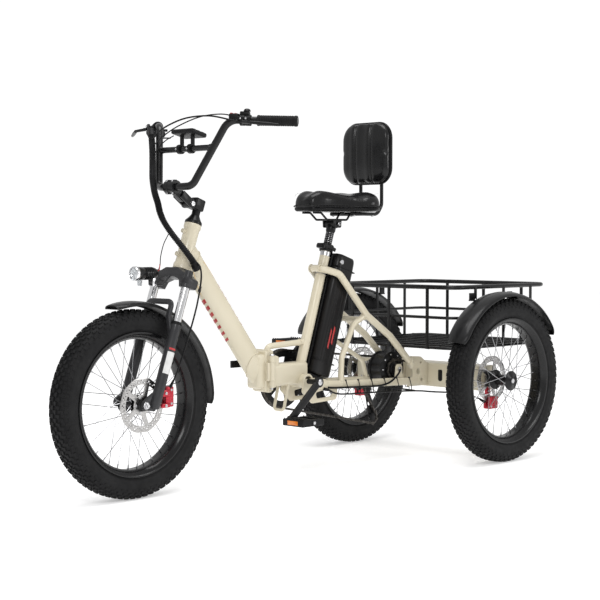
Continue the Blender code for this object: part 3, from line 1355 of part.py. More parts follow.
build_front_wheel()
build_rear_wheel(1, "rear_left")
build_rear_wheel(-1, "rear_right")
build_rear_frame()
build_axle_beam()
build_rear_callipers()
build_rear_brake_hose()
build_basket()
build_fenders()
build_chain()
build_crankset()
build_motor()
build_differential()
build_derailleur()
build_battery()
build_seat_clamp()
build_seatpost()
build_saddle_frame()
build_saddle()
build_backrest()
build_front_frame()
build_hinge_pin()
build_latch()
build_fork_upper()
build_headlight()
build_fork_lowers()
build_front_calliper()
build_front_hose()
build_stem()
build_handlebar()
build_controls()
build_display()
build_looms()
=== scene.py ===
"""A folding electric tricycle with fat tyres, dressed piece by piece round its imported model.

Points are measured from the ground under the rear axle: X forward, Y to the left, Z up, in metres.
"""

import math

import bmesh
import bpy
from mathutils import Matrix, Vector


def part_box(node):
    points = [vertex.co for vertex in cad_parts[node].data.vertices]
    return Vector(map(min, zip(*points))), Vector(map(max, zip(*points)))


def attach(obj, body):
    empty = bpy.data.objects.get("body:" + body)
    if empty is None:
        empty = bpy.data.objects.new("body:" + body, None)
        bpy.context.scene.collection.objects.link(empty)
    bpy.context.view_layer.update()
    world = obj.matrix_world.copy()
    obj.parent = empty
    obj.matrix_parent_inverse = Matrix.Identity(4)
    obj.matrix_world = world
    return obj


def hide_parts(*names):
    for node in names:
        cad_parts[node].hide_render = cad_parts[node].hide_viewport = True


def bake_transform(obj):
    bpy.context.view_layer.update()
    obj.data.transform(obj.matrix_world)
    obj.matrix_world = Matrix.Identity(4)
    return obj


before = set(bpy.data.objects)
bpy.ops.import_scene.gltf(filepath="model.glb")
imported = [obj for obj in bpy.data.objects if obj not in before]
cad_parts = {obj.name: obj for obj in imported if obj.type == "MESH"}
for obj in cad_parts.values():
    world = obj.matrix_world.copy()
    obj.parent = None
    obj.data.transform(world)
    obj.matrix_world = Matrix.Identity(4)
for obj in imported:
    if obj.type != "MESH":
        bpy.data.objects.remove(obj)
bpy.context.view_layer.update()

# The camera stands off the left front corner, a little above the saddle's height,
# and looks slightly down at the middle of the machine. Everything is placed from the rear axle.

rear_tyre_low, rear_tyre_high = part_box("rear_left_tyre")
front_tyre_low, front_tyre_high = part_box("front_tyre")
REAR_AXLE_X = (rear_tyre_low.x + rear_tyre_high.x) / 2
WHEELBASE = (front_tyre_low.x + front_tyre_high.x) / 2 - REAR_AXLE_X
WHEEL_Y = (rear_tyre_low.y + rear_tyre_high.y) / 2
AXLE_Z = 0.274


def here(x, y, z):
    """A point given from under the rear axle, in the model's own frame."""
    return Vector((REAR_AXLE_X + x, y, z))


camera_data = bpy.data.cameras.new("camera")
camera_data.lens = 87.68
camera_data.sensor_width = 36.0
camera = bpy.data.objects.new("camera", camera_data)
bpy.context.scene.collection.objects.link(camera)
camera.location = here(3.977, 3.297, 0.759)
camera_yaw = math.radians(-135.47)
camera_pitch = math.radians(2.51)
camera_aim = Vector((
    math.cos(camera_yaw) * math.cos(camera_pitch),
    math.sin(camera_yaw) * math.cos(camera_pitch),
    -math.sin(camera_pitch),
))
camera.rotation_euler = camera_aim.to_track_quat("-Z", "Y").to_euler()
bpy.context.scene.camera = camera


# Cords: a ribbed loom gathers the brake, gear and lamp cables from the handlebar and carries them into
# the frame. Thin black housings run into its top, and hydraulic hoses run to the front and rear brakes.
# All are plastic-covered cable, pushed into moulded guides and tied to the tubes.

def smooth(points, steps):
    """A smooth path through every point."""
    points = [Vector(point) for point in points]
    ends = [2 * points[0] - points[1], *points, 2 * points[-1] - points[-2]]
    path = []
    for a, b, c, d in zip(ends, ends[1:], ends[2:], ends[3:]):
        for i in range(steps):
            t = i / steps
            path.append(0.5 * (2 * b + (c - a) * t + (2 * a - 5 * b + 4 * c - d) * t * t
                               + (3 * b - a - 3 * c + d) * t ** 3))
    return path + [points[-1]]


def length_of(path):
    return sum((b - a).length for a, b in zip(path, path[1:]))


def sweep(shape, path, section, cyclic=False, up=None, scales=None):
    """Carry a closed section along a path and close its ends. UVs are metres along and around it."""
    path = [Vector(point) for point in path]
    count = len(path)
    uv = shape.loops.layers.uv.verify()
    rows = []
    side = None
    for i, point in enumerate(path):
        before = path[i - 1] if i or cyclic else path[0]
        after = path[(i + 1) % count] if i < count - 1 or cyclic else path[-1]
        along = (after - before).normalized()
        if up is not None:
            side = Vector(up) - along * along.dot(Vector(up))
        elif side is None:
            side = along.orthogonal()
        else:
            side = side - along * along.dot(side)
        side.normalize()
        other = side.cross(along)
        scale = scales[i] if scales else 1.0
        rows.append([shape.verts.new(point + (other * x + side * y) * scale) for x, y in section])
    around = [0.0]
    for a, b in zip(section, section[1:] + section[:1]):
        around.append(around[-1] + math.dist(a, b))
    run = 0.0
    for i in range(count if cyclic else count - 1):
        near, far = rows[i], rows[(i + 1) % count]
        step = (path[(i + 1) % count] - path[i]).length
        for j in range(len(section)):
            k = (j + 1) % len(section)
            face = shape.faces.new((near[j], near[k], far[k], far[j]))
            places = ((run, around[j]), (run, around[j + 1]), (run + step, around[j + 1]),
                      (run + step, around[j]))
            for loop, place in zip(face.loops, places):
                loop[uv].uv = place
        run += step
    if not cyclic:
        shape.faces.new(rows[0][::-1])
        shape.faces.new(rows[-1])
    return rows


def round_section(radius, sides, tall=1.0):
    return [(radius * math.cos(math.tau * i / sides), radius * tall * math.sin(math.tau * i / sides))
            for i in range(sides)]


def bar(shape, path, radius, sides=24, cyclic=False, scales=None):
    """A round bar or tube along a path."""
    return sweep(shape, path, round_section(radius, sides), cyclic, scales=scales)


BLACK_BELOW, BLACK_SHINE, SHINE = 0.06, 0.16, 0.5  # The photograph's black parts reflect less than the rest.


def surface(name, colour, tone, roughness, metallic=0.0, coat=0.0, mottle=9.0, grain=900.0, bump=0.12,
            depth=0.0004, spread=0.07, cells=False, stretch=(1.0, 1.0, 1.0)):
    """A finish whose colour drifts between two tones, with uneven gloss and a fine raised grain."""
    material = bpy.data.materials.new(name)
    material.use_nodes = True
    tree = material.node_tree
    shader = tree.nodes["Principled BSDF"]
    shader.inputs["Metallic"].default_value = metallic
    shader.inputs["Coat Weight"].default_value = coat
    shader.inputs["Coat Roughness"].default_value = 0.12
    shader.inputs["Specular IOR Level"].default_value = BLACK_SHINE if max(colour) < BLACK_BELOW else SHINE
    place = tree.nodes.new("ShaderNodeTexCoord")
    turn = tree.nodes.new("ShaderNodeMapping")
    turn.inputs["Scale"].default_value = stretch
    tree.links.new(place.outputs["Object"], turn.inputs["Vector"])
    drift = tree.nodes.new("ShaderNodeTexNoise")
    drift.inputs["Scale"].default_value = mottle
    drift.inputs["Detail"].default_value = 6.0
    tree.links.new(turn.outputs["Vector"], drift.inputs["Vector"])
    ramp = tree.nodes.new("ShaderNodeValToRGB")
    ramp.color_ramp.elements[0].position = 0.35
    ramp.color_ramp.elements[0].color = (*tone, 1)
    ramp.color_ramp.elements[1].position = 0.65
    ramp.color_ramp.elements[1].color = (*colour, 1)
    tree.links.new(drift.outputs["Fac"], ramp.inputs["Fac"])
    tree.links.new(ramp.outputs["Color"], shader.inputs["Base Color"])
    smear = tree.nodes.new("ShaderNodeTexNoise")
    smear.inputs["Scale"].default_value = mottle * 5
    smear.inputs["Detail"].default_value = 8.0
    tree.links.new(turn.outputs["Vector"], smear.inputs["Vector"])
    gloss = tree.nodes.new("ShaderNodeMapRange")
    gloss.inputs["From Min"].default_value = 0.3
    gloss.inputs["From Max"].default_value = 0.7
    gloss.inputs["To Min"].default_value = max(0.03, roughness - spread)
    gloss.inputs["To Max"].default_value = min(1.0, roughness + spread)
    tree.links.new(smear.outputs["Fac"], gloss.inputs["Value"])
    tree.links.new(gloss.outputs["Result"], shader.inputs["Roughness"])
    if cells:
        fine = tree.nodes.new("ShaderNodeTexVoronoi")
        fine.feature = "SMOOTH_F1"
        height = fine.outputs["Distance"]
    else:
        fine = tree.nodes.new("ShaderNodeTexNoise")
        fine.inputs["Detail"].default_value = 3.0
        height = fine.outputs["Fac"]
    fine.inputs["Scale"].default_value = grain
    tree.links.new(turn.outputs["Vector"], fine.inputs["Vector"])
    raised = tree.nodes.new("ShaderNodeBump")
    raised.inputs["Strength"].default_value = bump
    raised.inputs["Distance"].default_value = depth
    tree.links.new(height, raised.inputs["Height"])
    tree.links.new(raised.outputs["Normal"], shader.inputs["Normal"])
    return material


def made(name, shape, material, crease=35.0):
    """A mesh object from a bmesh built at the rear axle, moved to its place in the model."""
    mesh = bpy.data.meshes.new(name)
    shape.to_mesh(mesh)
    shape.free()
    obj = bpy.data.objects.new(name, mesh)
    bpy.context.scene.collection.objects.link(obj)
    mesh.materials.append(material)
    mesh.shade_smooth()
    mesh.set_sharp_from_angle(angle=math.radians(crease))
    mesh.transform(Matrix.Translation((REAR_AXLE_X, 0, 0)))
    return obj


def belongs(obj, body, slot, *nodes):
    """The piece rides on a body and stands for these solids, which are hidden. Its slot is not used."""
    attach(obj, body)
    if nodes:
        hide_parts(*nodes)
    return obj


CABLE_BLACK = surface("cable_black", (0.0067, 0.0067, 0.0071), (0.0042, 0.0042, 0.0046), 0.42, mottle=30,
                      grain=1500)
HOSE_BLACK = surface("hose_black", (0.0084, 0.0084, 0.0088), (0.005, 0.005, 0.0055), 0.35, mottle=40,
                     grain=900)
LOOM_BLACK = surface("loom_black", (0.0118, 0.0118, 0.0126), (0.0067, 0.0067, 0.0071), 0.48, mottle=50,
                     grain=1100)


def cord_piece(name, points, radius, material, steps=4, sides=12, ribs=None):
    """A cable along listed points. Ribs, if any, are (pitch, depth)."""
    path = smooth(points, steps)
    shape = bmesh.new()
    if ribs:
        pitch, depth = ribs
        count = int(length_of(path) / pitch) * 4
        line = smooth(points, max(2, count // (len(points) - 1)))
        wave = [1.0 - depth * (0.5 + 0.5 * math.cos(math.tau * i / 4)) for i in range(len(line))]
        bar(shape, line, radius, sides, scales=wave)
    else:
        bar(shape, path, radius, sides)
    return made(name, shape, material, crease=60), [here(*point) for point in path]


loom_split = (1.2030, -0.0095, 0.8300)
loom_top = [(1.119, -0.147, 1.068), (1.139, -0.119, 1.018), (1.156, -0.098, 0.970), (1.182, -0.066, 0.926),
            (1.196, -0.040, 0.886), (1.200, -0.022, 0.857), loom_split]
loom_foot = [loom_split, (1.200, 0.004, 0.803), (1.186, 0.020, 0.770), (1.159, 0.034, 0.732),
             (1.126, 0.041, 0.693), (1.108, 0.0415, 0.669)]
LOOM_RADIUS = 0.0100
loom_ribs = (0.0046, 0.22)
for name, points, bodies, node in (("loom_upper", loom_top, ("bars", "steerer"), "cable_loom_upper"),
                                   ("loom_lower", loom_foot, ("steerer", "front"), "cable_loom_lower")):
    loom, path = cord_piece(name, points, LOOM_RADIUS, LOOM_BLACK, sides=18, ribs=loom_ribs)
    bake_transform(loom)
    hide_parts(node)

thin_cords = [
    ("cable_left_brake", "bars", 0.0025, [(1.0820, 0.1970, 1.0885), (1.0960, 0.1720, 1.0960),
                                          (1.1200, 0.1150, 1.1080),
                                          (1.1400, 0.0400, 1.1050), (1.1480, -0.0300, 1.0880),
                                          (1.1420, -0.0900, 1.0680),
                                          (1.1300, -0.1300, 1.0480)]),
    ("cable_left_switch", "bars", 0.0019, [(1.0800, 0.1760, 1.1060), (1.0960, 0.1400, 1.1130),
                                           (1.1230, 0.0800, 1.1070),
                                           (1.1480, 0.0100, 1.0820), (1.1530, -0.0500, 1.0560),
                                           (1.1440, -0.0950, 1.0380),
                                           (1.1360, -0.1200, 1.0280)]),
    ("cable_display", "bars", 0.0016, [(1.1280, -0.0320, 1.0570), (1.1440, -0.0480, 1.0440),
                                       (1.1530, -0.0700, 1.0250),
                                       (1.1520, -0.0900, 1.0080), (1.1450, -0.1080, 1.0000)]),
    ("cable_right_brake", "bars", 0.0025, [(1.0820, -0.1970, 1.0885), (1.0990, -0.1860, 1.0960),
                                           (1.1140, -0.1680, 1.0920), (1.1190, -0.1520, 1.0770),
                                           (1.1230, -0.1420, 1.0600)]),
    ("cable_right_gear", "bars", 0.0022, [(1.0720, -0.1860, 1.0760), (1.0880, -0.1780, 1.0740),
                                          (1.1030, -0.1660, 1.0700), (1.1130, -0.1540, 1.0620),
                                          (1.1200, -0.1460, 1.0500)]),
    ("lamp_wire", "steerer", 0.0014, [(1.1890, 0.0130, 0.7640), (1.2040, 0.0090, 0.7350),
                                      (1.2120, 0.0050, 0.7000),
                                      (1.2130, 0.0020, 0.6700), (1.2230, 0.0000, 0.6520)]),
]
for name, body, radius, points in thin_cords:
    cable, path = cord_piece(name, points, radius, CABLE_BLACK)
    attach(cable, body)

hose_clip = (1.1360, 0.0915, 0.6030)
front_hose = [(1.2220, 0.0600, 0.3245), (1.2140, 0.0700, 0.3500), (1.1960, 0.0820, 0.4100),
              (1.1680, 0.0875, 0.4900),
              (1.1480, 0.0900, 0.5520), hose_clip]
crown_hose = [hose_clip, (1.1260, 0.0860, 0.6330), (1.1160, 0.0740, 0.6560), (1.1100, 0.0600, 0.6720),
              (1.1090, 0.0470, 0.6790)]
rear_trunk = [(0.560, 0.064, 0.262), (0.500, 0.064, 0.244), (0.300, 0.064, 0.236), (0.120, 0.064, 0.226),
              (0.075, 0.100, 0.222), (0.045, 0.200, 0.222), (0.034, 0.262, 0.210), (0.031, 0.2905, 0.200)]
rear_branch = [(0.120, 0.064, 0.226), (0.085, 0.020, 0.222), (0.070, -0.080, 0.222), (0.045, -0.200, 0.222),
               (0.034, -0.262, 0.210), (0.031, -0.2905, 0.200)]
hoses = [
    ("front_hose", 0.0026, front_hose, ("fork", "steerer"), "front_brake_hose"),
    ("crown_hose", 0.0026, crown_hose, ("steerer", "front"), None),
    ("rear_hose", 0.0028, rear_trunk, ("frame",), "rear_brake_hose"),
    ("rear_hose_branch", 0.0028, rear_branch, ("frame",), None),
]
for name, radius, points, bodies, node in hoses:
    hose, path = cord_piece(name, points, radius, HOSE_BLACK)
    if len(bodies) == 2:
        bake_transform(hose)
    else:
        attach(hose, bodies[0])
    if node:
        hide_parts(node)


def collar(name, start, end, radius, body, thin=0.6):
    """A moulded sleeve over a cable's end, tapering from the housing to the cable."""
    shape = bmesh.new()
    start, end = Vector(start), Vector(end)
    line = [start.lerp(end, i / 8) for i in range(9)]
    scales = [1.0, 1.0, 0.96, 0.99, 0.85, 0.88, 0.74, 0.76, thin]
    bar(shape, line, radius, 16, scales=scales)
    return belongs(made(name, shape, LOOM_BLACK, crease=50), body, "cable")


collar("loom_boot", (1.1010, 0.0400, 0.6610), (1.1185, 0.0413, 0.6830), 0.0135, "front", thin=0.80)
collar("loom_mouth", (1.1225, -0.1420, 1.0600), (1.1120, -0.1570, 1.0840), 0.0112, "bars", thin=0.62)
collar("hose_boot", (1.2235, 0.0580, 0.3180), (1.2170, 0.0665, 0.3400), 0.0048, "fork")
collar("hose_clip", (1.1385, 0.0905, 0.5950), (1.1335, 0.0912, 0.6110), 0.0046, "steerer", thin=1.0)
collar("hose_port", (1.1090, 0.0400, 0.6800), (1.1093, 0.0520, 0.6770), 0.0052, "front", thin=0.7)
collar("rear_hose_port", (0.5760, 0.0600, 0.2660), (0.5560, 0.0640, 0.2610), 0.0055, "frame")
collar("rear_left_hose_boot", (0.0305, 0.2920, 0.1980), (0.0335, 0.2720, 0.2060), 0.0048, "frame")
collar("rear_right_hose_boot", (0.0305, -0.2920, 0.1980), (0.0335, -0.2720, 0.2060), 0.0048, "frame")


# The rear frame: round and square steel tubes welded together, a bracket shell, plates for the motor's axle,
# and half of the folding hinge. It is sprayed in one cream enamel that fills out the weld beads.

CREAM = surface("cream_enamel", (0.61, 0.555, 0.425), (0.57, 0.515, 0.385), 0.34, coat=0.30, mottle=5,
                grain=260, bump=0.10, depth=0.0004)


def rounded(points, radius, steps=8):
    """A path whose corners are arcs, each no longer than its neighbours leave room for."""
    points = [Vector(point) for point in points]
    path = [points[0]]
    for before, corner, after in zip(points, points[1:], points[2:]):
        back = before - corner
        ahead = after - corner
        half = back.angle(ahead) / 2
        reach = min(radius / math.tan(half), 0.45 * min(back.length, ahead.length))
        bend = reach * math.tan(half)
        back.normalize()
        ahead.normalize()
        centre = corner + (back + ahead).normalized() * bend / math.sin(half)
        first = corner + back * reach - centre
        last = corner + ahead * reach - centre
        path += [centre + first.slerp(last, i / steps) * bend for i in range(steps + 1)]
    return path + [points[-1]]


def box_section(width, height, corner, steps=4):
    """A rectangle with round corners, as a section to sweep."""
    section = []
    for i, (sx, sy) in enumerate(((1, 1), (-1, 1), (-1, -1), (1, -1))):
        for k in range(steps + 1):
            angle = math.radians(90 * (i + k / steps))
            section.append((sx * (width / 2 - corner) + corner * math.cos(angle),
                            sy * (height / 2 - corner) + corner * math.sin(angle)))
    return section


def block(shape, size, at, turn=Matrix(), bevel=0.0015, segments=3):
    """A block with round edges, placed and then carried by a matrix."""
    lump = bmesh.new()
    bmesh.ops.create_cube(lump, size=1.0)
    bmesh.ops.scale(lump, vec=Vector(size), verts=lump.verts)
    if bevel:
        bmesh.ops.bevel(lump, geom=lump.edges[:], offset=bevel, segments=segments, profile=0.5,
                        affect="EDGES", clamp_overlap=True)
    bmesh.ops.translate(lump, vec=Vector(at), verts=lump.verts)
    add(shape, lump, turn)


def add(shape, other, turn=Matrix()):
    """Pour one bmesh into another through a matrix."""
    other.transform(turn)
    if turn.determinant() < 0:
        bmesh.ops.reverse_faces(other, faces=other.faces)
    mesh = bpy.data.meshes.new("pour")
    other.to_mesh(mesh)
    other.free()
    shape.from_mesh(mesh)
    bpy.data.meshes.remove(mesh)


def lathe(shape, profile, turn, steps=64, closed=False):
    """A turned shape: (radius, height) points swept about the matrix's Z, closed at radius 0."""
    lump = bmesh.new()
    rows = []
    for radius, height in profile:
        if radius < 1e-6:
            rows.append([lump.verts.new((0, 0, height))])
        else:
            rows.append([lump.verts.new((radius * math.cos(math.tau * i / steps),
                                         radius * math.sin(math.tau * i / steps),
                                         height)) for i in range(steps)])
    pairs = list(zip(rows, rows[1:]))
    if closed:
        pairs.append((rows[-1], rows[0]))
    for near, far in pairs:
        for i in range(steps):
            j = (i + 1) % steps
            if len(near) == 1 and len(far) == 1:
                continue
            if len(near) == 1:
                lump.faces.new((near[0], far[j], far[i]))
            elif len(far) == 1:
                lump.faces.new((near[i], near[j], far[0]))
            else:
                lump.faces.new((near[i], near[j], far[j], far[i]))
    if not closed:
        for row, turned_over in ((rows[0], False), (rows[-1], True)):
            if len(row) > 1:
                lump.faces.new(row[::-1] if turned_over else row)
    bmesh.ops.recalc_face_normals(lump, faces=lump.faces)
    add(shape, lump, turn)


def slab(shape, outline, thickness, turn, holes=(), edge=0.0006):
    """A flat plate with holes and eased edges, from outlines in its own plane."""
    curve = bpy.data.curves.new("slab", "CURVE")
    curve.dimensions = "2D"
    curve.fill_mode = "BOTH"
    curve.extrude = thickness / 2 - edge
    curve.bevel_depth = edge
    curve.bevel_resolution = 1
    curve.offset = -edge
    for loop in (outline, *holes):
        spline = curve.splines.new("POLY")
        spline.points.add(len(loop) - 1)
        for knot, (x, y) in zip(spline.points, loop):
            knot.co = (x, y, 0, 1)
        spline.use_cyclic_u = True
    obj = bpy.data.objects.new("slab", curve)
    bpy.context.scene.collection.objects.link(obj)
    graph = bpy.context.evaluated_depsgraph_get()
    mesh = bpy.data.meshes.new_from_object(obj.evaluated_get(graph))
    bpy.data.objects.remove(obj)
    lump = bmesh.new()
    lump.from_mesh(mesh)
    bpy.data.meshes.remove(mesh)
    bmesh.ops.remove_doubles(lump, verts=lump.verts, dist=1e-6)
    bmesh.ops.recalc_face_normals(lump, faces=lump.faces)
    for face in lump.faces:
        face.material_index = 0
    add(shape, lump, turn)


ALONG_Y = Matrix.Rotation(-math.pi / 2, 4, "X")
SIDE_VIEW = Matrix.Rotation(math.pi / 2, 4, "X")


def side_slab(shape, outline, thickness, y, holes=(), edge=0.0006):
    slab(shape, outline, thickness, Matrix.Translation((0, y, 0)) @ SIDE_VIEW, holes, edge)


def circle(centre, radius, count, start=0.0):
    angles = [start + math.tau * i / count for i in range(count)]
    return [(centre[0] + radius * math.cos(a), centre[1] + radius * math.sin(a)) for a in angles]


def mirrored(points):
    return [(point[0], -point[1], point[2]) for point in points]


def pointing(start, end):
    turn = (Vector(end) - Vector(start)).to_track_quat("Z", "Y").to_matrix().to_4x4()
    return Matrix.Translation(start) @ turn


def bolt(shape, at, facing, size=0.005, depth=0.004, socket=True):
    """A cap screw: a domed round head with a six-sided socket, its back on the surface at a point."""
    turn = pointing(at, Vector(at) + Vector(facing))
    if socket:
        head = [(0.0, depth * 0.45), (size * 0.42, depth * 0.45), (size * 0.50, depth), (size * 0.86, depth),
                (size, depth * 0.75), (size, -depth * 0.3), (0.0, -depth * 0.3)]
    else:
        head = [(0.0, depth), (size * 0.5, depth * 0.93), (size * 0.86, depth * 0.7), (size, depth * 0.3),
                (size, -depth * 0.3), (0.0, -depth * 0.3)]
    lathe(shape, head, turn, 24)


BRACKET = Vector((0.640, 0, 0.295))
SEAT_TUBE_LENGTH = 0.4536
SEAT = Matrix.Translation(BRACKET) @ Matrix.Rotation(-math.radians(18.1), 4, "Y")


def seat(ahead, across, height):
    """A point given ahead of the seat tube's axis, to the left of it, and up it."""
    return SEAT @ Vector((ahead, across, height))


# A weld bead is a row of overlapping ripples laid round the joint of two tubes.

def tree_of(name, inputs):
    """An empty Geometry Nodes tree with named inputs, and a way to link and to place its nodes."""
    tree = bpy.data.node_groups.new(name, "GeometryNodeTree")
    tree.interface.new_socket("Geometry", in_out="INPUT", socket_type="NodeSocketGeometry")
    for label, kind in inputs:
        tree.interface.new_socket(label, in_out="INPUT", socket_type=kind)
    tree.interface.new_socket("Geometry", in_out="OUTPUT", socket_type="NodeSocketGeometry")
    return tree, tree.nodes.new("NodeGroupInput"), tree.nodes.new("NodeGroupOutput")


def run_tree(tree, name, values):
    """Run a tree on a scratch object with values for its named inputs and return its mesh."""
    scratch = bpy.data.objects.new(name, bpy.data.meshes.new(name))
    bpy.context.scene.collection.objects.link(scratch)
    modifier = scratch.modifiers.new("tree", "NODES")
    modifier.node_group = tree
    for item in tree.interface.items_tree:
        if item.in_out == "INPUT" and item.name in values:
            modifier[item.identifier] = values[item.name]
    graph = bpy.context.evaluated_depsgraph_get()
    mesh = bpy.data.meshes.new_from_object(scratch.evaluated_get(graph))
    bpy.data.objects.remove(scratch)
    return mesh


ALONG_TREE, entry, result = tree_of("set_along_a_path", (
    ("Path", "NodeSocketObject"), ("Piece", "NodeSocketObject"), ("Count", "NodeSocketInt"),
    ("Across", "NodeSocketVector"), ("Finish", "NodeSocketMaterial")))
links = ALONG_TREE.links
path_info = ALONG_TREE.nodes.new("GeometryNodeObjectInfo")
piece_info = ALONG_TREE.nodes.new("GeometryNodeObjectInfo")
to_curve = ALONG_TREE.nodes.new("GeometryNodeMeshToCurve")
resample = ALONG_TREE.nodes.new("GeometryNodeResampleCurve")
tangent = ALONG_TREE.nodes.new("GeometryNodeInputTangent")
face_along = ALONG_TREE.nodes.new("FunctionNodeAlignRotationToVector")
face_along.axis = "X"
face_across = ALONG_TREE.nodes.new("FunctionNodeAlignRotationToVector")
face_across.axis = "Y"
face_across.pivot_axis = "X"
copies = ALONG_TREE.nodes.new("GeometryNodeInstanceOnPoints")
realize = ALONG_TREE.nodes.new("GeometryNodeRealizeInstances")
finish = ALONG_TREE.nodes.new("GeometryNodeSetMaterial")
links.new(entry.outputs["Path"], path_info.inputs["Object"])
links.new(entry.outputs["Piece"], piece_info.inputs["Object"])
links.new(path_info.outputs["Geometry"], to_curve.inputs["Mesh"])
links.new(to_curve.outputs["Curve"], resample.inputs["Curve"])
links.new(entry.outputs["Count"], resample.inputs["Count"])
links.new(tangent.outputs["Tangent"], face_along.inputs["Vector"])
links.new(face_along.outputs["Rotation"], face_across.inputs["Rotation"])
links.new(entry.outputs["Across"], face_across.inputs["Vector"])
links.new(resample.outputs["Curve"], copies.inputs["Points"])
links.new(piece_info.outputs["Geometry"], copies.inputs["Instance"])
links.new(face_across.outputs["Rotation"], copies.inputs["Rotation"])
links.new(copies.outputs["Instances"], realize.inputs["Geometry"])
links.new(realize.outputs["Geometry"], finish.inputs["Geometry"])
links.new(entry.outputs["Finish"], finish.inputs["Material"])
links.new(finish.outputs["Geometry"], result.inputs["Geometry"])


def along_path(shape, source, points, count, material, across=(0, 1, 0), cyclic=True):
    """Set copies of a small bmesh along a path, evenly, and pour them into a shape."""
    line = bpy.data.meshes.new("line")
    edges = [(i, i + 1) for i in range(len(points) - 1)]
    if cyclic:
        edges.append((len(points) - 1, 0))
    line.from_pydata([tuple(point) for point in points], edges, [])
    path_object = bpy.data.objects.new("line", line)
    piece_mesh = bpy.data.meshes.new("copy")
    source.to_mesh(piece_mesh)
    source.free()
    piece_object = bpy.data.objects.new("copy", piece_mesh)
    for helper in (path_object, piece_object):
        bpy.context.scene.collection.objects.link(helper)
    mesh = run_tree(ALONG_TREE, "along", {"Path": path_object, "Piece": piece_object, "Count": count,
                                          "Across": across, "Finish": material})
    shape.from_mesh(mesh)
    for helper in (path_object, piece_object):
        bpy.data.objects.remove(helper)


def bead(shape, loop, size=0.0022, spacing=0.0042):
    """A weld bead round a closed loop of points: overlapping flattened ripples."""
    loop = [Vector(point) for point in loop]
    ripple = bmesh.new()
    bmesh.ops.create_icosphere(ripple, subdivisions=1, radius=1.0)
    bmesh.ops.scale(ripple, vec=(spacing * 0.72, size * 1.25, size), verts=ripple.verts)
    count = max(8, int(length_of(loop + loop[:1]) / spacing))
    along_path(shape, ripple, loop, count, CREAM)


def ring_at(start, end, share, radius, sides=32, lean=0.0):
    """A loop round a straight tube, at a share of its length, leaning to suit an angled joint."""
    turn = pointing(start, end)
    span = (Vector(end) - Vector(start)).length
    return [turn @ Vector((radius * math.cos(math.tau * i / sides), radius * math.sin(math.tau * i / sides),
                           span * share + lean * math.cos(math.tau * i / sides))) for i in range(sides)]


def hinge_half(shape, side):
    """A thick hinge plate with a raised rim, seen from the side where the other half folds against it."""
    block(shape, (0.0175, 0.060, 0.128), (0.792 + side * 0.0090, 0, 0.336), bevel=0.004)
    block(shape, (0.006, 0.066, 0.134), (0.792 + side * 0.0036, 0, 0.336), bevel=0.002)


def knuckle(shape, bottom, top, side):
    lathe(shape, [(0.0, bottom), (0.0088, bottom), (0.0095, bottom + 0.0008), (0.0095, top - 0.0008),
                  (0.0088, top), (0.0, top)], Matrix.Translation((0.792, 0.041, 0)), 32)
    block(shape, (0.0172, 0.018, top - bottom), (0.792 + side * 0.0092, 0.033, (bottom + top) / 2),
          bevel=0.001)


rear = bmesh.new()
hinge_half(rear, -1)
block(rear, (0.165, 0.058, 0.070), (0.6975, 0, 0.320), bevel=0.010, segments=4)
block(rear, (0.040, 0.056, 0.096), (0.7640, 0, 0.333), bevel=0.008, segments=4)
knuckle(rear, 0.285, 0.306, -1)
knuckle(rear, 0.364, 0.385, -1)
lathe(rear, [(0.0166, -0.052), (0.0205, -0.052), (0.0220, -0.0505), (0.0220, 0.0505), (0.0205, 0.052),
             (0.0166, 0.052)], Matrix.Translation(BRACKET) @ ALONG_Y, 48, closed=True)
bar(rear, [seat(0, 0, 0), seat(0, 0, SEAT_TUBE_LENGTH)], 0.0165, 40)
bar(rear, rounded([(0.783, 0, 0.385), (0.768, 0, 0.411), (0.735, 0, 0.4125), (0.612, 0, 0.417)], 0.020),
    0.0095)
left_stay = [(0.132, 0.056, 0.315), (0.250, 0.056, 0.4215), (0.368, 0.056, 0.497), (0.500, 0.056, 0.636),
             (0.551, 0.026, 0.654)]
bar(rear, rounded(left_stay + mirrored(left_stay[::-1]), 0.035, 10), 0.0115, 28)
for side in (1, -1):
    y = side * 0.050
    sweep(rear, [(0.620, y, 0.280), (0.100, y, 0.259)], box_section(0.016, 0.026, 0.004), up=(0, 0, 1))
    gusset = rounded([(0.560, 0, 0.296), (0.600, 0, 0.303), (0.655, 0, 0.303), (0.668, 0, 0.262),
                      (0.622, 0, 0.222),
                      (0.508, 0, 0.226), (0.500, 0, 0.285), (0.560, 0, 0.296)], 0.012, 4)[1:-1]
    window = [(x, z) for x, _, z in rounded([(0.560, 0, 0.238), (0.600, 0, 0.236), (0.606, 0, 0.256),
                                             (0.560, 0, 0.262), (0.530, 0, 0.258), (0.532, 0, 0.238),
                                             (0.560, 0, 0.238)], 0.006, 4)[1:-1]]
    side_slab(rear, [(x, z) for x, _, z in gusset], 0.006, side * 0.049, [window], edge=0.0012)
    dropout = [(0.0463, 0.240), (0.0463, 0.316), (0.085, 0.342), (0.132, 0.346), (0.150, 0.318),
               (0.137, 0.306),
               (0.128, 0.300), (0.128, 0.278), (0.137, 0.270), (0.150, 0.262), (0.150, 0.243)]
    slots = [circle((0.085, 0.322), 0.006, 20), circle((0.080, 0.262), 0.006, 20),
             circle((0.098, 0.292), 0.011, 24)]
    side_slab(rear, dropout, 0.010, side * 0.051, slots, edge=0.0012)
    strut = rounded([(0.488, y, 0.270), (0.482, y, 0.362), (0.425, y, 0.470), (0.368, y * 1.08, 0.497)],
                    0.040)
    bar(rear, strut, 0.0095)
    bead(rear, ring_at((0.488, y, 0.270), (0.482, y, 0.362), 0.17, 0.0098))
    bead(rear, ring_at(strut[-2], strut[-1], 0.72, 0.0100))
    bead(rear, ring_at((0.132, side * 0.056, 0.315), (0.250, side * 0.056, 0.4215), 0.13, 0.0120))
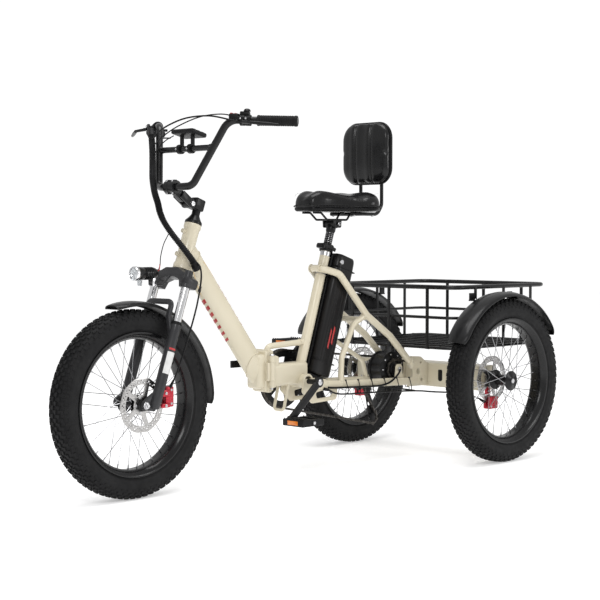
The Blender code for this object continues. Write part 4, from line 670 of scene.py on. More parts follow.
bar(rear, [(0.400, -0.050, 0.484), (0.400, 0.050, 0.484)], 0.009, 20)
bar(rear, rounded([(0.447, -0.050, 0.430), (0.270, -0.050, 0.335), (0.245, -0.050, 0.262)], 0.025), 0.0075,
    20)
side_slab(rear, [(0.176, 0.270), (0.214, 0.270), (0.210, 0.314), (0.204, 0.322), (0.186, 0.322),
                 (0.180, 0.314)],
          0.006, 0.049)
hanger = [(0.0463, 0.280), (0.182, 0.286), (0.205, 0.264), (0.221, 0.264), (0.213, 0.304), (0.195, 0.320),
          (0.0463, 0.312)]
side_slab(rear, hanger, 0.005, -0.0955, [circle((0.120, 0.299), 0.006, 20),
                                         circle((0.090, 0.297), 0.006, 20)])
bar(rear, rounded([(0.700, 0.022, 0.290), (0.722, 0.022, 0.206), (0.722, -0.022, 0.206),
                   (0.700, -0.022, 0.290)],
                  0.012), 0.005, 16)
bead(rear, ring_at(seat(0, 0, 0), seat(0, 0, 0.4), 0.062, 0.0170, lean=-0.004))
bead(rear, ring_at((0.551, 0.026, 0.654), (0.551, 0.010, 0.654), 0.3, 0.0118))
bead(rear, ring_at((0.551, -0.026, 0.654), (0.551, -0.010, 0.654), 0.3, 0.0118))
bead(rear, ring_at((0.630, 0, 0.4163), (0.612, 0, 0.417), 0.1, 0.0098))
for y in (-0.049, 0.049):
    bead(rear, [(0.640 + 0.0225 * math.cos(a), y, 0.295 + 0.0225 * math.sin(a))
                for a in (math.tau * i / 40 for i in range(40))], size=0.0018)
belongs(made("rear_frame_tubes", rear, CREAM), "frame", "cream_paint", "rear_frame")

STEEL = surface("plain_steel", (0.6, 0.6, 0.61), (0.5, 0.5, 0.51), 0.26, metallic=1.0, mottle=60, grain=1400,
                bump=0.06, stretch=(1.0, 3.0, 1.0))

axle_ends = bmesh.new()
MOTOR = Vector((0.195, 0, 0.304))
for side in (1, -1):
    outer = 0.054 if side > 0 else -0.100
    base = outer - side * 0.0020
    lathe(axle_ends, [(0.0, 0.007), (0.0045, 0.007), (0.0055, 0.006), (0.0055, 0.0), (0.0, 0.0)],
          pointing((MOTOR.x, base, MOTOR.z), (MOTOR.x, base + side, MOTOR.z)), 20)
    nut = [(r * 0.0105, h) for r, h in ((0.0, 0.005), (0.86, 0.005), (1.0, 0.0042), (1.0, 0.0), (0.0, 0.0))]
    lathe(axle_ends, nut, pointing((MOTOR.x, base, MOTOR.z), (MOTOR.x, base + side, MOTOR.z)), 6)
bar(axle_ends, [(MOTOR.x, -0.096, MOTOR.z), (MOTOR.x, 0.050, MOTOR.z)], 0.006, 20)
for x, z in ((0.536, 0.2500), (0.640, 0.2460), (0.600, 0.2930)):
    for side in (1, -1):
        bolt(axle_ends, (x, side * 0.0520, z), (0, side, 0), 0.0046, 0.0034)
belongs(made("motor_axle_and_frame_bolts", axle_ends, STEEL), "frame", "steel")

# Nylon ties hold the brake hose and the motor cable along the left chain stay.

ties = bmesh.new()
for x in (0.150, 0.215, 0.280, 0.345, 0.410, 0.470):
    z = 0.255 + (x - 0.1) * 0.0404
    sweep(ties, [(x, y, zz) for y, zz in ((0.0405, z - 0.0155), (0.0405, z + 0.0145), (0.0595, z + 0.0145),
                                         (0.0685, z - 0.0120), (0.0680, z - 0.0260), (0.0580, z - 0.0260),
                                         (0.0580, z - 0.0155))],
          box_section(0.0036, 0.0014, 0.0004, 1), cyclic=True, up=(1, 0, 0))
    block(ties, (0.0056, 0.0050, 0.0052), (x, 0.0570, z + 0.0165), bevel=0.0008)
BLACK_NYLON = surface("black_nylon", (0.0092, 0.0092, 0.0097), (0.0059, 0.0059, 0.0063), 0.45, mottle=40,
                      grain=1600)
belongs(made("cable_ties", ties, BLACK_NYLON), "frame", "cable")
motor_lead = [(0.196, 0.0520, 0.3040), (0.205, 0.0640, 0.3020), (0.228, 0.0700, 0.2860),
              (0.262, 0.0680, 0.2660),
              (0.310, 0.0655, 0.2580), (0.380, 0.0650, 0.2600), (0.450, 0.0650, 0.2630),
              (0.520, 0.0640, 0.2660),
              (0.556, 0.0600, 0.2690)]
lead, path = cord_piece("motor_lead", motor_lead, 0.0034, CABLE_BLACK)
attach(lead, "frame")


# The axle beam: a rectangular steel box welded shut, in the same cream enamel. Its sides have slots, shown
# as flat black plates of painted shade, and bolts hold the basket's feet, the calliper brackets and the
# bearing plates of the wheel shafts.

beam = bmesh.new()
BEAM_MIDDLE = 0.277
beam_face = box_section(0.092, 0.082, 0.006)
sweep(beam, [(0, -0.2755, BEAM_MIDDLE), (0, 0.2755, BEAM_MIDDLE)], beam_face, up=(0, 0, 1))
for side in (1, -1):
    lathe(beam, [(0.0128, 0.0), (0.0128, 0.0035), (0.022, 0.0035), (0.024, 0.0022), (0.024, 0.0)],
          pointing((0, side * 0.2752, 0.274), (0, side, 0.274)), 40, closed=True)
    bead(beam, [(0.046, side * 0.044, z) for z in (0.242, 0.262, 0.282, 0.302, 0.314)]
         + [(0.046, side * 0.058, z) for z in (0.314, 0.302, 0.282, 0.262, 0.242)], size=0.0016)
belongs(made("beam_shell", beam, CREAM), "frame", "cream_paint", "axle_beam")
# No slot is cut: black satin plates lie flat on the beam's sides, painted shade standing for the dark inside
# of each slot.
slots = bmesh.new()
BLACK_SATIN = surface("black_satin", (0.0084, 0.0084, 0.0088), (0.005, 0.005, 0.0055), 0.36, mottle=12,
                      grain=500,
                      bump=0.10, coat=0.12)
for y in (-0.200, -0.120, 0.110, 0.190):
    slab(slots, [(py, pz) for py, _, pz in rounded([(0, 0, 0.020), (0.009, 0, 0.020), (0.009, 0, -0.020),
                                                     (-0.009, 0, -0.020), (-0.009, 0, 0.020), (0, 0, 0.020)],
                                                    0.008, 6)[1:-1]],
         0.0022, Matrix.Translation((0.0460, y, BEAM_MIDDLE)) @ Matrix(((0, 0, 1, 0), (1, 0, 0, 0),
                                                                        (0, 1, 0, 0),
                                                                        (0, 0, 0, 1))))
belongs(made("beam_slots", slots, BLACK_SATIN), "frame", "black_paint")
beam_bolts = bmesh.new()
for y in (-0.252, -0.235, 0.235, 0.252):
    for z in (0.252, 0.302):
        bolt(beam_bolts, (0.0460, y, z), (1, 0, 0), 0.0042, 0.0034)
        bolt(beam_bolts, (-0.0460, y, z), (-1, 0, 0), 0.0042, 0.0034)
for side in (1, -1):
    for angle in (45, 135, 225, 315):
        bolt(beam_bolts, (0.0175 * math.cos(math.radians(angle)), side * 0.2785,
                          0.274 + 0.0175 * math.sin(math.radians(angle))), (0, side, 0), 0.0028, 0.0020)
belongs(made("beam_bolts", beam_bolts, STEEL), "frame", "steel")


# The basket: drawn steel wire, butt-welded into hoops and uprights, and dipped in black plastic. Two feet
# bolt it to the top of the axle beam.

WIRE_COAT = surface("dipped_wire", (0.0067, 0.0067, 0.0071), (0.0042, 0.0042, 0.0046), 0.32, mottle=25,
                    grain=420,
                    bump=0.16, coat=0.25)
basket = bmesh.new()
BASKET_FRONT, BASKET_REAR, BASKET_HALF = 0.185, -0.335, 0.283
RIM_Z, FLOOR_Z = 0.588, 0.385
WIRE = 0.0050


def hoop(z, radius, inset=0.0, corner=0.050, steps=8):
    """A closed wire loop round the basket at one height."""
    front, back, half = BASKET_FRONT - inset, BASKET_REAR + inset, BASKET_HALF - inset
    loop = []
    for i, (x, y) in enumerate(((front, -half), (front, half), (back, half), (back, -half))):
        centre_x = x - math.copysign(corner, x - (front + back) / 2)
        centre_y = y - math.copysign(corner, y)
        for step in range(steps + 1):
            angle = math.radians(-90 + 90 * (i + step / steps))
            loop.append((centre_x + corner * math.cos(angle), centre_y + corner * math.sin(angle), z))
    bar(basket, loop, radius, 14, cyclic=True)


hoop(RIM_Z, 0.0075)
hoop((RIM_Z + FLOOR_Z) / 2, WIRE)
hoop(FLOOR_Z, WIRE)
STRAP = box_section(0.0125, 0.0046, 0.0015)
STRAP_OUT = 0.0052
for y in (-0.170, 0.0, 0.170):
    for x in (BASKET_FRONT + STRAP_OUT, BASKET_REAR - STRAP_OUT):
        sweep(basket, [(x, y, FLOOR_Z - 0.005), (x, y, RIM_Z + 0.002)], STRAP, up=Vector((1, 0, 0)))
for share in (0.2, 0.5, 0.8):
    x = BASKET_REAR + (BASKET_FRONT - BASKET_REAR) * share
    for y in (BASKET_HALF + STRAP_OUT, -BASKET_HALF - STRAP_OUT):
        sweep(basket, [(x, y, FLOOR_Z - 0.005), (x, y, RIM_Z + 0.002)], STRAP, up=Vector((0, 1, 0)))
for y in (-0.170, -0.057, 0.057, 0.170):
    bar(basket, [(BASKET_REAR, y, FLOOR_Z - 0.0025), (BASKET_FRONT, y, FLOOR_Z - 0.0025)], WIRE * 0.8, 12)
for share in (0.125, 0.25, 0.375, 0.5, 0.625, 0.75, 0.875):
    x = BASKET_REAR + (BASKET_FRONT - BASKET_REAR) * share
    bar(basket, [(x, -BASKET_HALF, FLOOR_Z + 0.0025), (x, BASKET_HALF, FLOOR_Z + 0.0025)], WIRE * 0.8, 12)
for y in (-0.170, 0.170):
    block(basket, (0.024, 0.006, 0.062), (0, y, 0.350), bevel=0.0010)
    block(basket, (0.092, 0.030, 0.004), (0, y, 0.3203), bevel=0.0010)
    block(basket, (0.060, 0.022, 0.004), (0, y, 0.3790), bevel=0.0010)
belongs(made("basket_wires", basket, WIRE_COAT), "frame", "black_paint", "basket")
basket_bolts = bmesh.new()
for y in (-0.170, 0.170):
    for x in (-0.030, 0.030):
        bolt(basket_bolts, (x, y, 0.3223), (0, 0, 1), 0.0055, 0.0042)
belongs(made("basket_bolts", basket_bolts, STEEL), "frame", "steel")


# The fenders: deep arched strips of moulded plastic with a rolled edge and a raised middle, in satin black.
# The rear pair is bolted to flat tabs on the basket's sides, and the front one hangs from the fork.

FENDER_BLACK = surface("fender_black", (0.0092, 0.0092, 0.0097), (0.0063, 0.0063, 0.0067), 0.34, mottle=8,
                       grain=700,
                       bump=0.08, coat=0.18)


def arched_strip(shape, centre, start, end, half_width):
    """An arched strip with rolled edges, square at one end and rounded towards both tips."""
    radius = 0.285
    steps = 72
    section = [(radius - 0.0010, half_width - 0.0018), (radius - 0.0014, half_width),
               (radius + 0.0010, half_width + 0.0003),
               (radius + 0.0045, half_width * 0.955), (radius + 0.0085, half_width * 0.80),
               (radius + 0.0112, half_width * 0.50),
               (radius + 0.0116, half_width * 0.44), (radius + 0.0128, half_width * 0.34),
               (radius + 0.0130, 0.0)]
    outer = section + [(r, -h) for r, h in reversed(section[:-1])]
    inner = [(r - 0.0022, h * 0.955) for r, h in reversed(outer[2:-2])]
    loop = outer + inner
    rows = []
    for i in range(steps + 1):
        angle = start + (end - start) * i / steps
        near_tip = min(i, steps - i) / 5
        narrow = math.sqrt(max(0.0, 1 - (1 - min(1.0, near_tip + 0.12)) ** 2))
        rows.append([shape.verts.new((centre[0] + r * math.cos(angle),
                                      centre[1] + h * (0.55 + 0.45 * narrow),
                                      centre[2] + r * math.sin(angle))) for r, h in loop])
    faces = []
    for near, far in zip(rows, rows[1:]):
        for j in range(len(loop)):
            k = (j + 1) % len(loop)
            faces.append(shape.faces.new((near[j], near[k], far[k], far[j])))
    faces.append(shape.faces.new(rows[0][::-1]))
    faces.append(shape.faces.new(rows[-1]))
    bmesh.ops.recalc_face_normals(shape, faces=faces)


for side, name in ((1, "rear_left"), (-1, "rear_right")):
    fender = bmesh.new()
    arched_strip(fender, (0, side * WHEEL_Y, AXLE_Z), math.radians(28), math.radians(150), 0.0425)
    for x in (0.105, -0.105):
        block(fender, (0.026, 0.034, 0.004), (x, side * 0.3045, 0.5445), bevel=0.0008)
        block(fender, (0.026, 0.004, 0.026), (x, side * 0.2915, 0.5560), bevel=0.0008)
    belongs(made(name + "_fender_shell", fender, FENDER_BLACK), "frame", "black_paint", name + "_fender")
fender = bmesh.new()
arched_strip(fender, (WHEELBASE, 0, AXLE_Z), math.radians(76), math.radians(184), 0.0395)
belongs(made("front_fender_shell", fender, FENDER_BLACK), "fork", "black_paint", "front_fender")
fender_bolts = bmesh.new()
for side in (1, -1):
    for x in (0.105, -0.105):
        bolt(fender_bolts, (x, side * 0.3080, 0.5465), (0, 0, 1), 0.0042, 0.0030)
belongs(made("fender_bolts", fender_bolts, STEEL), "frame", "steel")


# The wheels: fat moulded tyres with blocks on the tread and shoulders, deep black rims, and thirty-six steel
# spokes laced to each hub. Perforated steel brake discs are screwed to the hubs. The rear pair turn with
# shafts.

TYRE_RUBBER = surface("tyre_rubber", (0.0109, 0.0109, 0.0113), (0.0067, 0.0067, 0.0071), 0.62, mottle=14,
                      grain=650,
                      bump=0.22, spread=0.10)
RIM_BLACK = surface("rim_black", (0.0067, 0.0067, 0.0071), (0.0046, 0.0046, 0.005), 0.26, mottle=10,
                    grain=900,
                    bump=0.05, coat=0.3)
HUB_BLACK = surface("hub_black", (0.0092, 0.0092, 0.0097), (0.0059, 0.0059, 0.0063), 0.33, metallic=0.3,
                    mottle=20,
                    grain=800, bump=0.06, coat=0.2)
SPOKE_STEEL = surface("spoke_steel", (0.38, 0.38, 0.39), (0.29, 0.29, 0.30), 0.20, metallic=1.0, mottle=40,
                      grain=1500, bump=0.03)
DISC_STEEL = surface("disc_steel", (0.46, 0.45, 0.44), (0.34, 0.335, 0.33), 0.27, metallic=1.0, mottle=45,
                     grain=1300, bump=0.10, stretch=(6.0, 1.0, 6.0))

ROUND_TREE, entry, result = tree_of("set_round_an_axis", (
    ("Piece", "NodeSocketObject"), ("Count", "NodeSocketInt"), ("Finish", "NodeSocketMaterial")))
links = ROUND_TREE.links
piece_info = ROUND_TREE.nodes.new("GeometryNodeObjectInfo")
points = ROUND_TREE.nodes.new("GeometryNodePoints")
number = ROUND_TREE.nodes.new("GeometryNodeInputIndex")
share = ROUND_TREE.nodes.new("ShaderNodeMath")
share.operation = "DIVIDE"
angle = ROUND_TREE.nodes.new("ShaderNodeMath")
angle.operation = "MULTIPLY"
angle.inputs[1].default_value = math.tau
turn = ROUND_TREE.nodes.new("ShaderNodeCombineXYZ")
copies = ROUND_TREE.nodes.new("GeometryNodeInstanceOnPoints")
realize = ROUND_TREE.nodes.new("GeometryNodeRealizeInstances")
finish = ROUND_TREE.nodes.new("GeometryNodeSetMaterial")
links.new(entry.outputs["Piece"], piece_info.inputs["Object"])
links.new(entry.outputs["Count"], points.inputs["Count"])
links.new(number.outputs["Index"], share.inputs[0])
links.new(entry.outputs["Count"], share.inputs[1])
links.new(share.outputs["Value"], angle.inputs[0])
links.new(angle.outputs["Value"], turn.inputs["Z"])
links.new(points.outputs["Points"], copies.inputs["Points"])
links.new(piece_info.outputs["Geometry"], copies.inputs["Instance"])
links.new(turn.outputs["Vector"], copies.inputs["Rotation"])
links.new(copies.outputs["Instances"], realize.inputs["Geometry"])
links.new(realize.outputs["Geometry"], finish.inputs["Geometry"])
links.new(entry.outputs["Finish"], finish.inputs["Material"])
links.new(finish.outputs["Geometry"], result.inputs["Geometry"])


def round_axis(shape, source, count, material, turn=Matrix()):
    """Set copies of a small bmesh evenly about Z, and pour them into a shape through a matrix."""
    mesh = bpy.data.meshes.new("copy")
    source.to_mesh(mesh)
    source.free()
    helper = bpy.data.objects.new("copy", mesh)
    bpy.context.scene.collection.objects.link(helper)
    ring = run_tree(ROUND_TREE, "round", {"Piece": helper, "Count": count, "Finish": material})
    bpy.data.objects.remove(helper)
    lump = bmesh.new()
    lump.from_mesh(ring)
    bpy.data.meshes.remove(ring)
    add(shape, lump, turn)


def tread_block(shape, angle, radius, height, across, long, wide, lean=0.0):
    """A tread block: a low wedge with drawn-in sides, standing on the tyre at an angle round it."""
    turn = (Matrix.Rotation(angle, 4, "Z") @ Matrix.Translation((radius, 0, height))
            @ Matrix.Rotation(lean, 4, "Y"))
    foot = 0.0025
    low = [(-foot, y * long / 2, z * wide / 2) for y, z in ((-1, -1), (1, -1), (1, 1), (-1, 1))]
    high = [(across, y * long / 2 * 0.80, z * wide / 2 * 0.78) for y,
            z in ((-1, -1), (1, -1), (1, 1), (-1, 1))]
    low = [shape.verts.new(turn @ Vector(p)) for p in low]
    high = [shape.verts.new(turn @ Vector(p)) for p in high]
    shape.faces.new(low[::-1])
    shape.faces.new(high)
    for i in range(4):
        j = (i + 1) % 4
        shape.faces.new((low[i], low[j], high[j], high[i]))
    bmesh.ops.recalc_face_normals(shape, faces=shape.faces)


def tyre(turn):
    half = [(0.2040, 0.0262), (0.2046, 0.0290), (0.2105, 0.0304), (0.2155, 0.0338), (0.2172, 0.0362),
            (0.2190, 0.0358),
            (0.2300, 0.0385), (0.2330, 0.0389), (0.2420, 0.0388), (0.2530, 0.0366), (0.2620, 0.0315),
            (0.2680, 0.0235), (0.2702, 0.0130)]
    profile = half + [(0.2708, 0.0)] + [(r, -h) for r, h in reversed(half)]
    line = [(p.x, p.y) for p in smooth([Vector((r, h, 0)) for r, h in profile], 2)]
    shape = bmesh.new()
    lathe(shape, line, turn, 144, closed=True)
    pitch = math.radians(5)
    blocks = bmesh.new()
    for side in (1, -1):
        shift = 0.0 if side > 0 else pitch / 2
        tread_block(blocks, shift, 0.2706, side * 0.0062, 0.0040, 0.0150, 0.0092)
        tread_block(blocks, shift + pitch * 0.5, 0.2690, side * 0.0182, 0.0044, 0.0135, 0.0098, -side * 0.22)
        tread_block(blocks, shift, 0.2640, side * 0.0278, 0.0044, 0.0140, 0.0088, -side * 0.62)
        tread_block(blocks, shift + pitch * 0.5, 0.2560, side * 0.0342, 0.0034, 0.0110, 0.0092, -side * 1.00)
        tread_block(blocks, shift, 0.2475, side * 0.0374, 0.0016, 0.0085, 0.0080, -side * 1.28)
    round_axis(shape, blocks, 72, TYRE_RUBBER, turn)
    return shape


def rim(turn):
    half = [(0.2040, 0.0250), (0.2046, 0.0298), (0.2100, 0.0313), (0.2108, 0.0328), (0.2100, 0.0340),
            (0.2068, 0.0342),
            (0.2040, 0.0334), (0.1975, 0.0285), (0.1905, 0.0205), (0.1886, 0.0150), (0.1884, 0.0070)]
    shape = bmesh.new()
    lathe(shape, half + [(r, -h) for r, h in reversed(half)], turn, 128, closed=True)
    return shape


def spokes(turn, flange, left, right):
    """Thirty-six crossed spokes in nine sets of four, with nipples at the rim and elbows at the hub."""
    laced = bmesh.new()
    for start, reach, height in ((0, 45, left), (20, -45, left), (10, 55, right), (30, -35, right)):
        a, b = math.radians(start), math.radians(start + reach)
        foot = Vector((flange * math.cos(a), flange * math.sin(a), height))
        head = Vector((0.1885 * math.cos(b), 0.1885 * math.sin(b), math.copysign(0.004, height)))
        along = (head - foot).normalized()
        outward = Vector((0, 0, math.copysign(0.0022, height)))
        bar(laced, [foot - outward * 1.2, foot + outward * 0.8, foot + outward * 0.7 + along * 0.004,
                    head - along * 0.012], 0.0011, 6)
        bar(laced, [head - along * 0.0135, head + along * 0.001], 0.0021, 6)
    shape = bmesh.new()
    round_axis(shape, laced, 9, SPOKE_STEEL, turn)
    return shape


def disc(turn):
    """A wave-edged rotor with slots through its band, on five arms."""
    waves = 10
    outline = [((0.0790 + 0.0010 * math.cos(waves * a)) * math.cos(a),
                (0.0790 + 0.0010 * math.cos(waves * a)) * math.sin(a))
               for a in (math.tau * i / 160 for i in range(160))]
    holes = [circle((0, 0), 0.0172, 32)]
    arms = 5
    for i in range(arms):
        middle = math.tau * i / arms
        outer = [(0.0600, middle + math.pi / arms * t) for t in (-0.84, -0.5, -0.15, 0.2, 0.55, 0.78)]
        inner = [(0.0300, middle + math.pi / arms * t) for t in (0.42, 0.0, -0.72)]
        holes.append([(r * math.cos(a), r * math.sin(a)) for r, a in outer + inner])
    for i in range(20):
        a = math.tau * (i + 0.5) / 20
        for radius, size, turned_by in ((0.0660, 0.0022, 0.0), (0.0715, 0.0026, 0.10),
                                        (0.0668, 0.0019, 0.16)):
            holes.append(circle((radius * math.cos(a + turned_by), radius * math.sin(a + turned_by)), size,
                                8))
    shape = bmesh.new()
    slab(shape, outline, 0.0020, turn, holes, edge=0.0002)
    return shape


def disc_screws(turn, outward):
    shape = bmesh.new()
    screw = bmesh.new()
    bolt(screw, (0.0222, 0, outward * 0.0008), (0, 0, outward), 0.0036, 0.0024)
    round_axis(shape, screw, 5, STEEL, turn)
    return shape


def wheel_turn(y, x=0.0):
    return Matrix.Translation((x, y, AXLE_Z)) @ ALONG_Y


front_turn = wheel_turn(0, WHEELBASE)
belongs(made("front_tyre_rubber", tyre(front_turn), TYRE_RUBBER, crease=28), "front_wheel", "tyre",
        "front_tyre")
belongs(made("front_rim_shell", rim(front_turn), RIM_BLACK, crease=50), "front_wheel", "black_paint",
        "front_rim")
belongs(made("front_spokes", spokes(front_turn, 0.0250, 0.0285, -0.0285), SPOKE_STEEL), "front_wheel",
        "steel")
hub = bmesh.new()
lathe(hub, [(0.0095, 0.0560), (0.0105, 0.0550), (0.0150, 0.0535), (0.0165, 0.0525), (0.0165, 0.0330),
            (0.0190, 0.0312),
            (0.0270, 0.0306), (0.0280, 0.0298), (0.0280, 0.0272), (0.0270, 0.0264), (0.0170, 0.0240),
            (0.0140, 0.0200),
            (0.0135, 0.0), (0.0140, -0.0200), (0.0170, -0.0240), (0.0270, -0.0264), (0.0280, -0.0272),
            (0.0280, -0.0298), (0.0270, -0.0306), (0.0150, -0.0330), (0.0105, -0.0370), (0.0095, -0.0380),
            (0.0095, -0.0560), (0.0058, -0.0560), (0.0058, 0.0560)], front_turn, 48, closed=True)
belongs(made("front_hub_shell", hub, HUB_BLACK), "front_wheel", "black_paint", "front_hub")
front_disc_turn = wheel_turn(0.0485, WHEELBASE)
belongs(made("front_brake_disc", disc(front_disc_turn), DISC_STEEL), "front_wheel", "steel", "front_disc")
belongs(made("front_disc_screws", disc_screws(front_disc_turn, 1), STEEL), "front_wheel", "steel")

for side, name in ((1, "rear_left"), (-1, "rear_right")):
    body = name + "_wheel"
    turn = wheel_turn(side * WHEEL_Y)
    outward = turn if side > 0 else turn @ Matrix.Rotation(math.pi, 4, "X")
    belongs(made(name + "_tyre_rubber", tyre(turn), TYRE_RUBBER, crease=28), body, "tyre", name + "_tyre")
    belongs(made(name + "_rim_shell", rim(turn), RIM_BLACK, crease=50), body, "black_paint", name + "_rim")
    belongs(made(name + "_spokes", spokes(outward, 0.0300, 0.0320, -0.0310), SPOKE_STEEL), body, "steel")
    hub = bmesh.new()
    lathe(hub, [(0.0, 0.0405), (0.0110, 0.0405), (0.0120, 0.0400), (0.0135, 0.0385), (0.0195, 0.0374),
                (0.0210, 0.0362),
                (0.0322, 0.0345), (0.0330, 0.0338), (0.0330, 0.0303), (0.0320, 0.0294), (0.0200, 0.0250),
                (0.0180, 0.0230), (0.0180, -0.0230), (0.0200, -0.0250), (0.0322, -0.0285), (0.0330, -0.0292),
                (0.0330, -0.0328), (0.0320, -0.0336), (0.0180, -0.0370), (0.0165, -0.0385),
                (0.0165, -0.0530),
                (0.0120, -0.0630), (0.0120, -0.0850), (0.0095, -0.0860), (0.0095, -0.2980), (0.0, -0.2990)],
          outward, 48)
    belongs(made(name + "_hub_shell", hub, HUB_BLACK), body, "black_paint", name + "_hub")
    disc_turn = wheel_turn(side * (WHEEL_Y - 0.0485))
    belongs(made(name + "_brake_disc", disc(disc_turn), DISC_STEEL), body, "steel", name + "_disc")
    belongs(made(name + "_disc_screws", disc_screws(disc_turn, -side), STEEL), body, "steel")
    cap = bmesh.new()
    lathe(cap, [(0.0, 0.0020), (0.0070, 0.0020), (0.0085, 0.0010), (0.0088, -0.0005), (0.0, -0.0005)],
          outward @ Matrix.Translation((0, 0, 0.0406)), 6)
    belongs(made(name + "_axle_cap", cap, STEEL), body, "steel")


# The callipers: two-piece hydraulic brakes, anodised red, bolted to the beam's ends and the left fork leg,
# with cooling fins, a bleed screw and black pads in the slot round the disc.

RED_ANODISED = surface("red_anodised", (0.480, 0.010, 0.028), (0.380, 0.006, 0.020), 0.30, metallic=0.55,
                       mottle=30,
                       grain=700, bump=0.10, coat=0.35)
for side, name in ((1, "left"), (-1, "right")):
    disc_y = side * (WHEEL_Y - 0.0485)
    calliper = bmesh.new()
    for cheek in (1, -1):
        block(calliper, (0.046, 0.0122, 0.042), (0.004, disc_y + cheek * 0.0087, 0.1955), bevel=0.004,
              segments=3)
        for z in (0.184, 0.192, 0.200, 0.208):
            block(calliper, (0.034, 0.0030, 0.0032), (0.004, disc_y + cheek * 0.0146, z), bevel=0.0008)
    block(calliper, (0.044, 0.026, 0.010), (0.004, disc_y, 0.1795), bevel=0.003)
    block(calliper, (0.026, 0.006, 0.058), (0, side * 0.2795, 0.224), bevel=0.0015)
    belongs(made(f"rear_{name}_calliper_body", calliper, RED_ANODISED), "frame", "red_anodised",
            f"rear_{name}_calliper")
    fixings = bmesh.new()
    for z in (0.232, 0.246):
        bolt(fixings, (0, side * 0.2825, z), (0, side, 0), 0.0046, 0.0036)
    for x in (-0.012, 0.020):
        bolt(fixings, (x, disc_y + side * 0.0148, 0.1830), (0, side, 0), 0.0034, 0.0020)
    bar(fixings, [(0.031, disc_y - side * 0.005, 0.1990), (0.0225, disc_y - side * 0.005, 0.1990)], 0.0036,
        12)
    belongs(made(f"rear_{name}_calliper_bolts", fixings, STEEL), "frame", "steel")

front_calliper = bmesh.new()
calliper_at = Vector((1.226, 0.0495, 0.292))
for cheek in (1, -1):
    block(front_calliper, (0.030, 0.0105, 0.060), calliper_at + Vector((0, cheek * 0.0076 - 0.001, 0)),
          bevel=0.004)
    for z in (-0.018, -0.009, 0.0, 0.009, 0.018):
        block(front_calliper, (0.022, 0.0026, 0.0034),
              calliper_at + Vector((-0.001, cheek * 0.0128 - 0.001, z)), bevel=0.0008)
block(front_calliper, (0.010, 0.024, 0.058), calliper_at + Vector((-0.0105, -0.001, 0)), bevel=0.003)
block(front_calliper, (0.028, 0.009, 0.020), calliper_at + Vector((0.018, 0.0125, 0.012)), bevel=0.003)
block(front_calliper, (0.032, 0.009, 0.013), calliper_at + Vector((0.018, 0.0125, -0.024)), bevel=0.003)
belongs(made("front_calliper_body", front_calliper, RED_ANODISED), "fork", "red_anodised", "front_calliper")
fixings = bmesh.new()
for z in (0.012, -0.024):
    bolt(fixings, calliper_at + Vector((0.020, 0.0170, z)), (0, 1, 0), 0.0044, 0.0034)
for z in (-0.020, 0.020):
    bolt(fixings, calliper_at + Vector((-0.004, 0.0128, z)), (0, 1, 0), 0.0034, 0.0024)
belongs(made("front_calliper_bolts", fixings, STEEL), "fork", "steel")


# The drive: a chain from the crank's ring to a cassette on the hub motor, which stands in the frame as a
# jackshaft, and a second chain from the motor's left sprocket to the differential inside the beam.

CHAIN_LINE = -0.066
CHAINRING = Vector((0.640, 0.295))
COG = Vector((MOTOR.x, MOTOR.z))
GUIDE_PULLEY = Vector((0.222, 0.232))
TENSION_PULLEY = Vector((0.200, 0.130))


def belt(wheels, step=math.radians(6)):
    """The closed path of a chain round wheels of (centre, radius, sense), sense 1 being anticlockwise."""
    normals = []
    for (first, radius, sense), (second, next_radius, next_sense) in zip(wheels, wheels[1:] + wheels[:1]):
        across = second - first
        lean = math.acos((sense * radius - next_sense * next_radius) / across.length)
        normals.append(math.atan2(across.y, across.x) - lean)
    path = []
    for i, (centre, radius, sense) in enumerate(wheels):
        arrive = normals[i - 1] + (0 if sense > 0 else math.pi)
        leave = normals[i] + (0 if sense > 0 else math.pi)
        swept = (leave - arrive) * sense % math.tau
        count = max(2, math.ceil(swept / step))
        path += [(centre.x + radius * math.cos(arrive + sense * swept * k / count),
                  centre.y + radius * math.sin(arrive + sense * swept * k / count))
                 for k in range(count + 1)]
    return path


def chain_link():
    """Two links of roller chain, one with its plates outside and one inside, along X."""
    pitch = 0.0127
    link = bmesh.new()
    for start, spread in ((-pitch, 0.0031), (0.0, 0.0019)):
        for side in (1, -1):
            outline = []
            for k in range(16):
                a = math.tau * k / 16
                end = start + (pitch if math.cos(a) > 0 else 0.0)
                pinch = 0.0040 if abs(math.cos(a)) > 0.3 else 0.0031
                outline.append((end + 0.0040 * math.cos(a), pinch * math.sin(a)))
            slab(link, outline, 0.0010, Matrix.Translation((0, side * spread, 0)) @ SIDE_VIEW, edge=0.0002)
    for x in (-pitch, 0.0):
        bar(link, [(x, -0.0038, 0), (x, 0.0038, 0)], 0.0018, 8)
        bar(link, [(x, -0.0016, 0), (x, 0.0016, 0)], 0.0036, 8)
    return link


CHAIN_STEEL = surface("chain_steel", (0.115, 0.108, 0.1), (0.06, 0.055, 0.05), 0.36, metallic=0.95,
                      mottle=120,
                      grain=1500, bump=0.08)


def chain_along(name, wheels, y, *nodes):
    path = [(x, y, z) for x, z in belt(wheels)]
    shape = bmesh.new()
    whole = [Vector(point) for point in path]
    count = round(length_of(whole + whole[:1]) / 0.0254)
    along_path(shape, chain_link(), path, count, CHAIN_STEEL)
    belongs(made(name, shape, CHAIN_STEEL), "frame", "dark_steel", *nodes)


chain_along("drive_chain", [(CHAINRING, 0.0935, 1), (COG, 0.0375, 1), (GUIDE_PULLEY, 0.0195, -1),
                            (TENSION_PULLEY, 0.0195, 1)], CHAIN_LINE, "chain")
AXLE_CENTRE = Vector((0.0, 0.274))
AXLE_CHAIN_Y = 0.0290
chain_along("axle_chain", [(COG, 0.0320, 1), (AXLE_CENTRE, 0.0320, 1)], AXLE_CHAIN_Y)


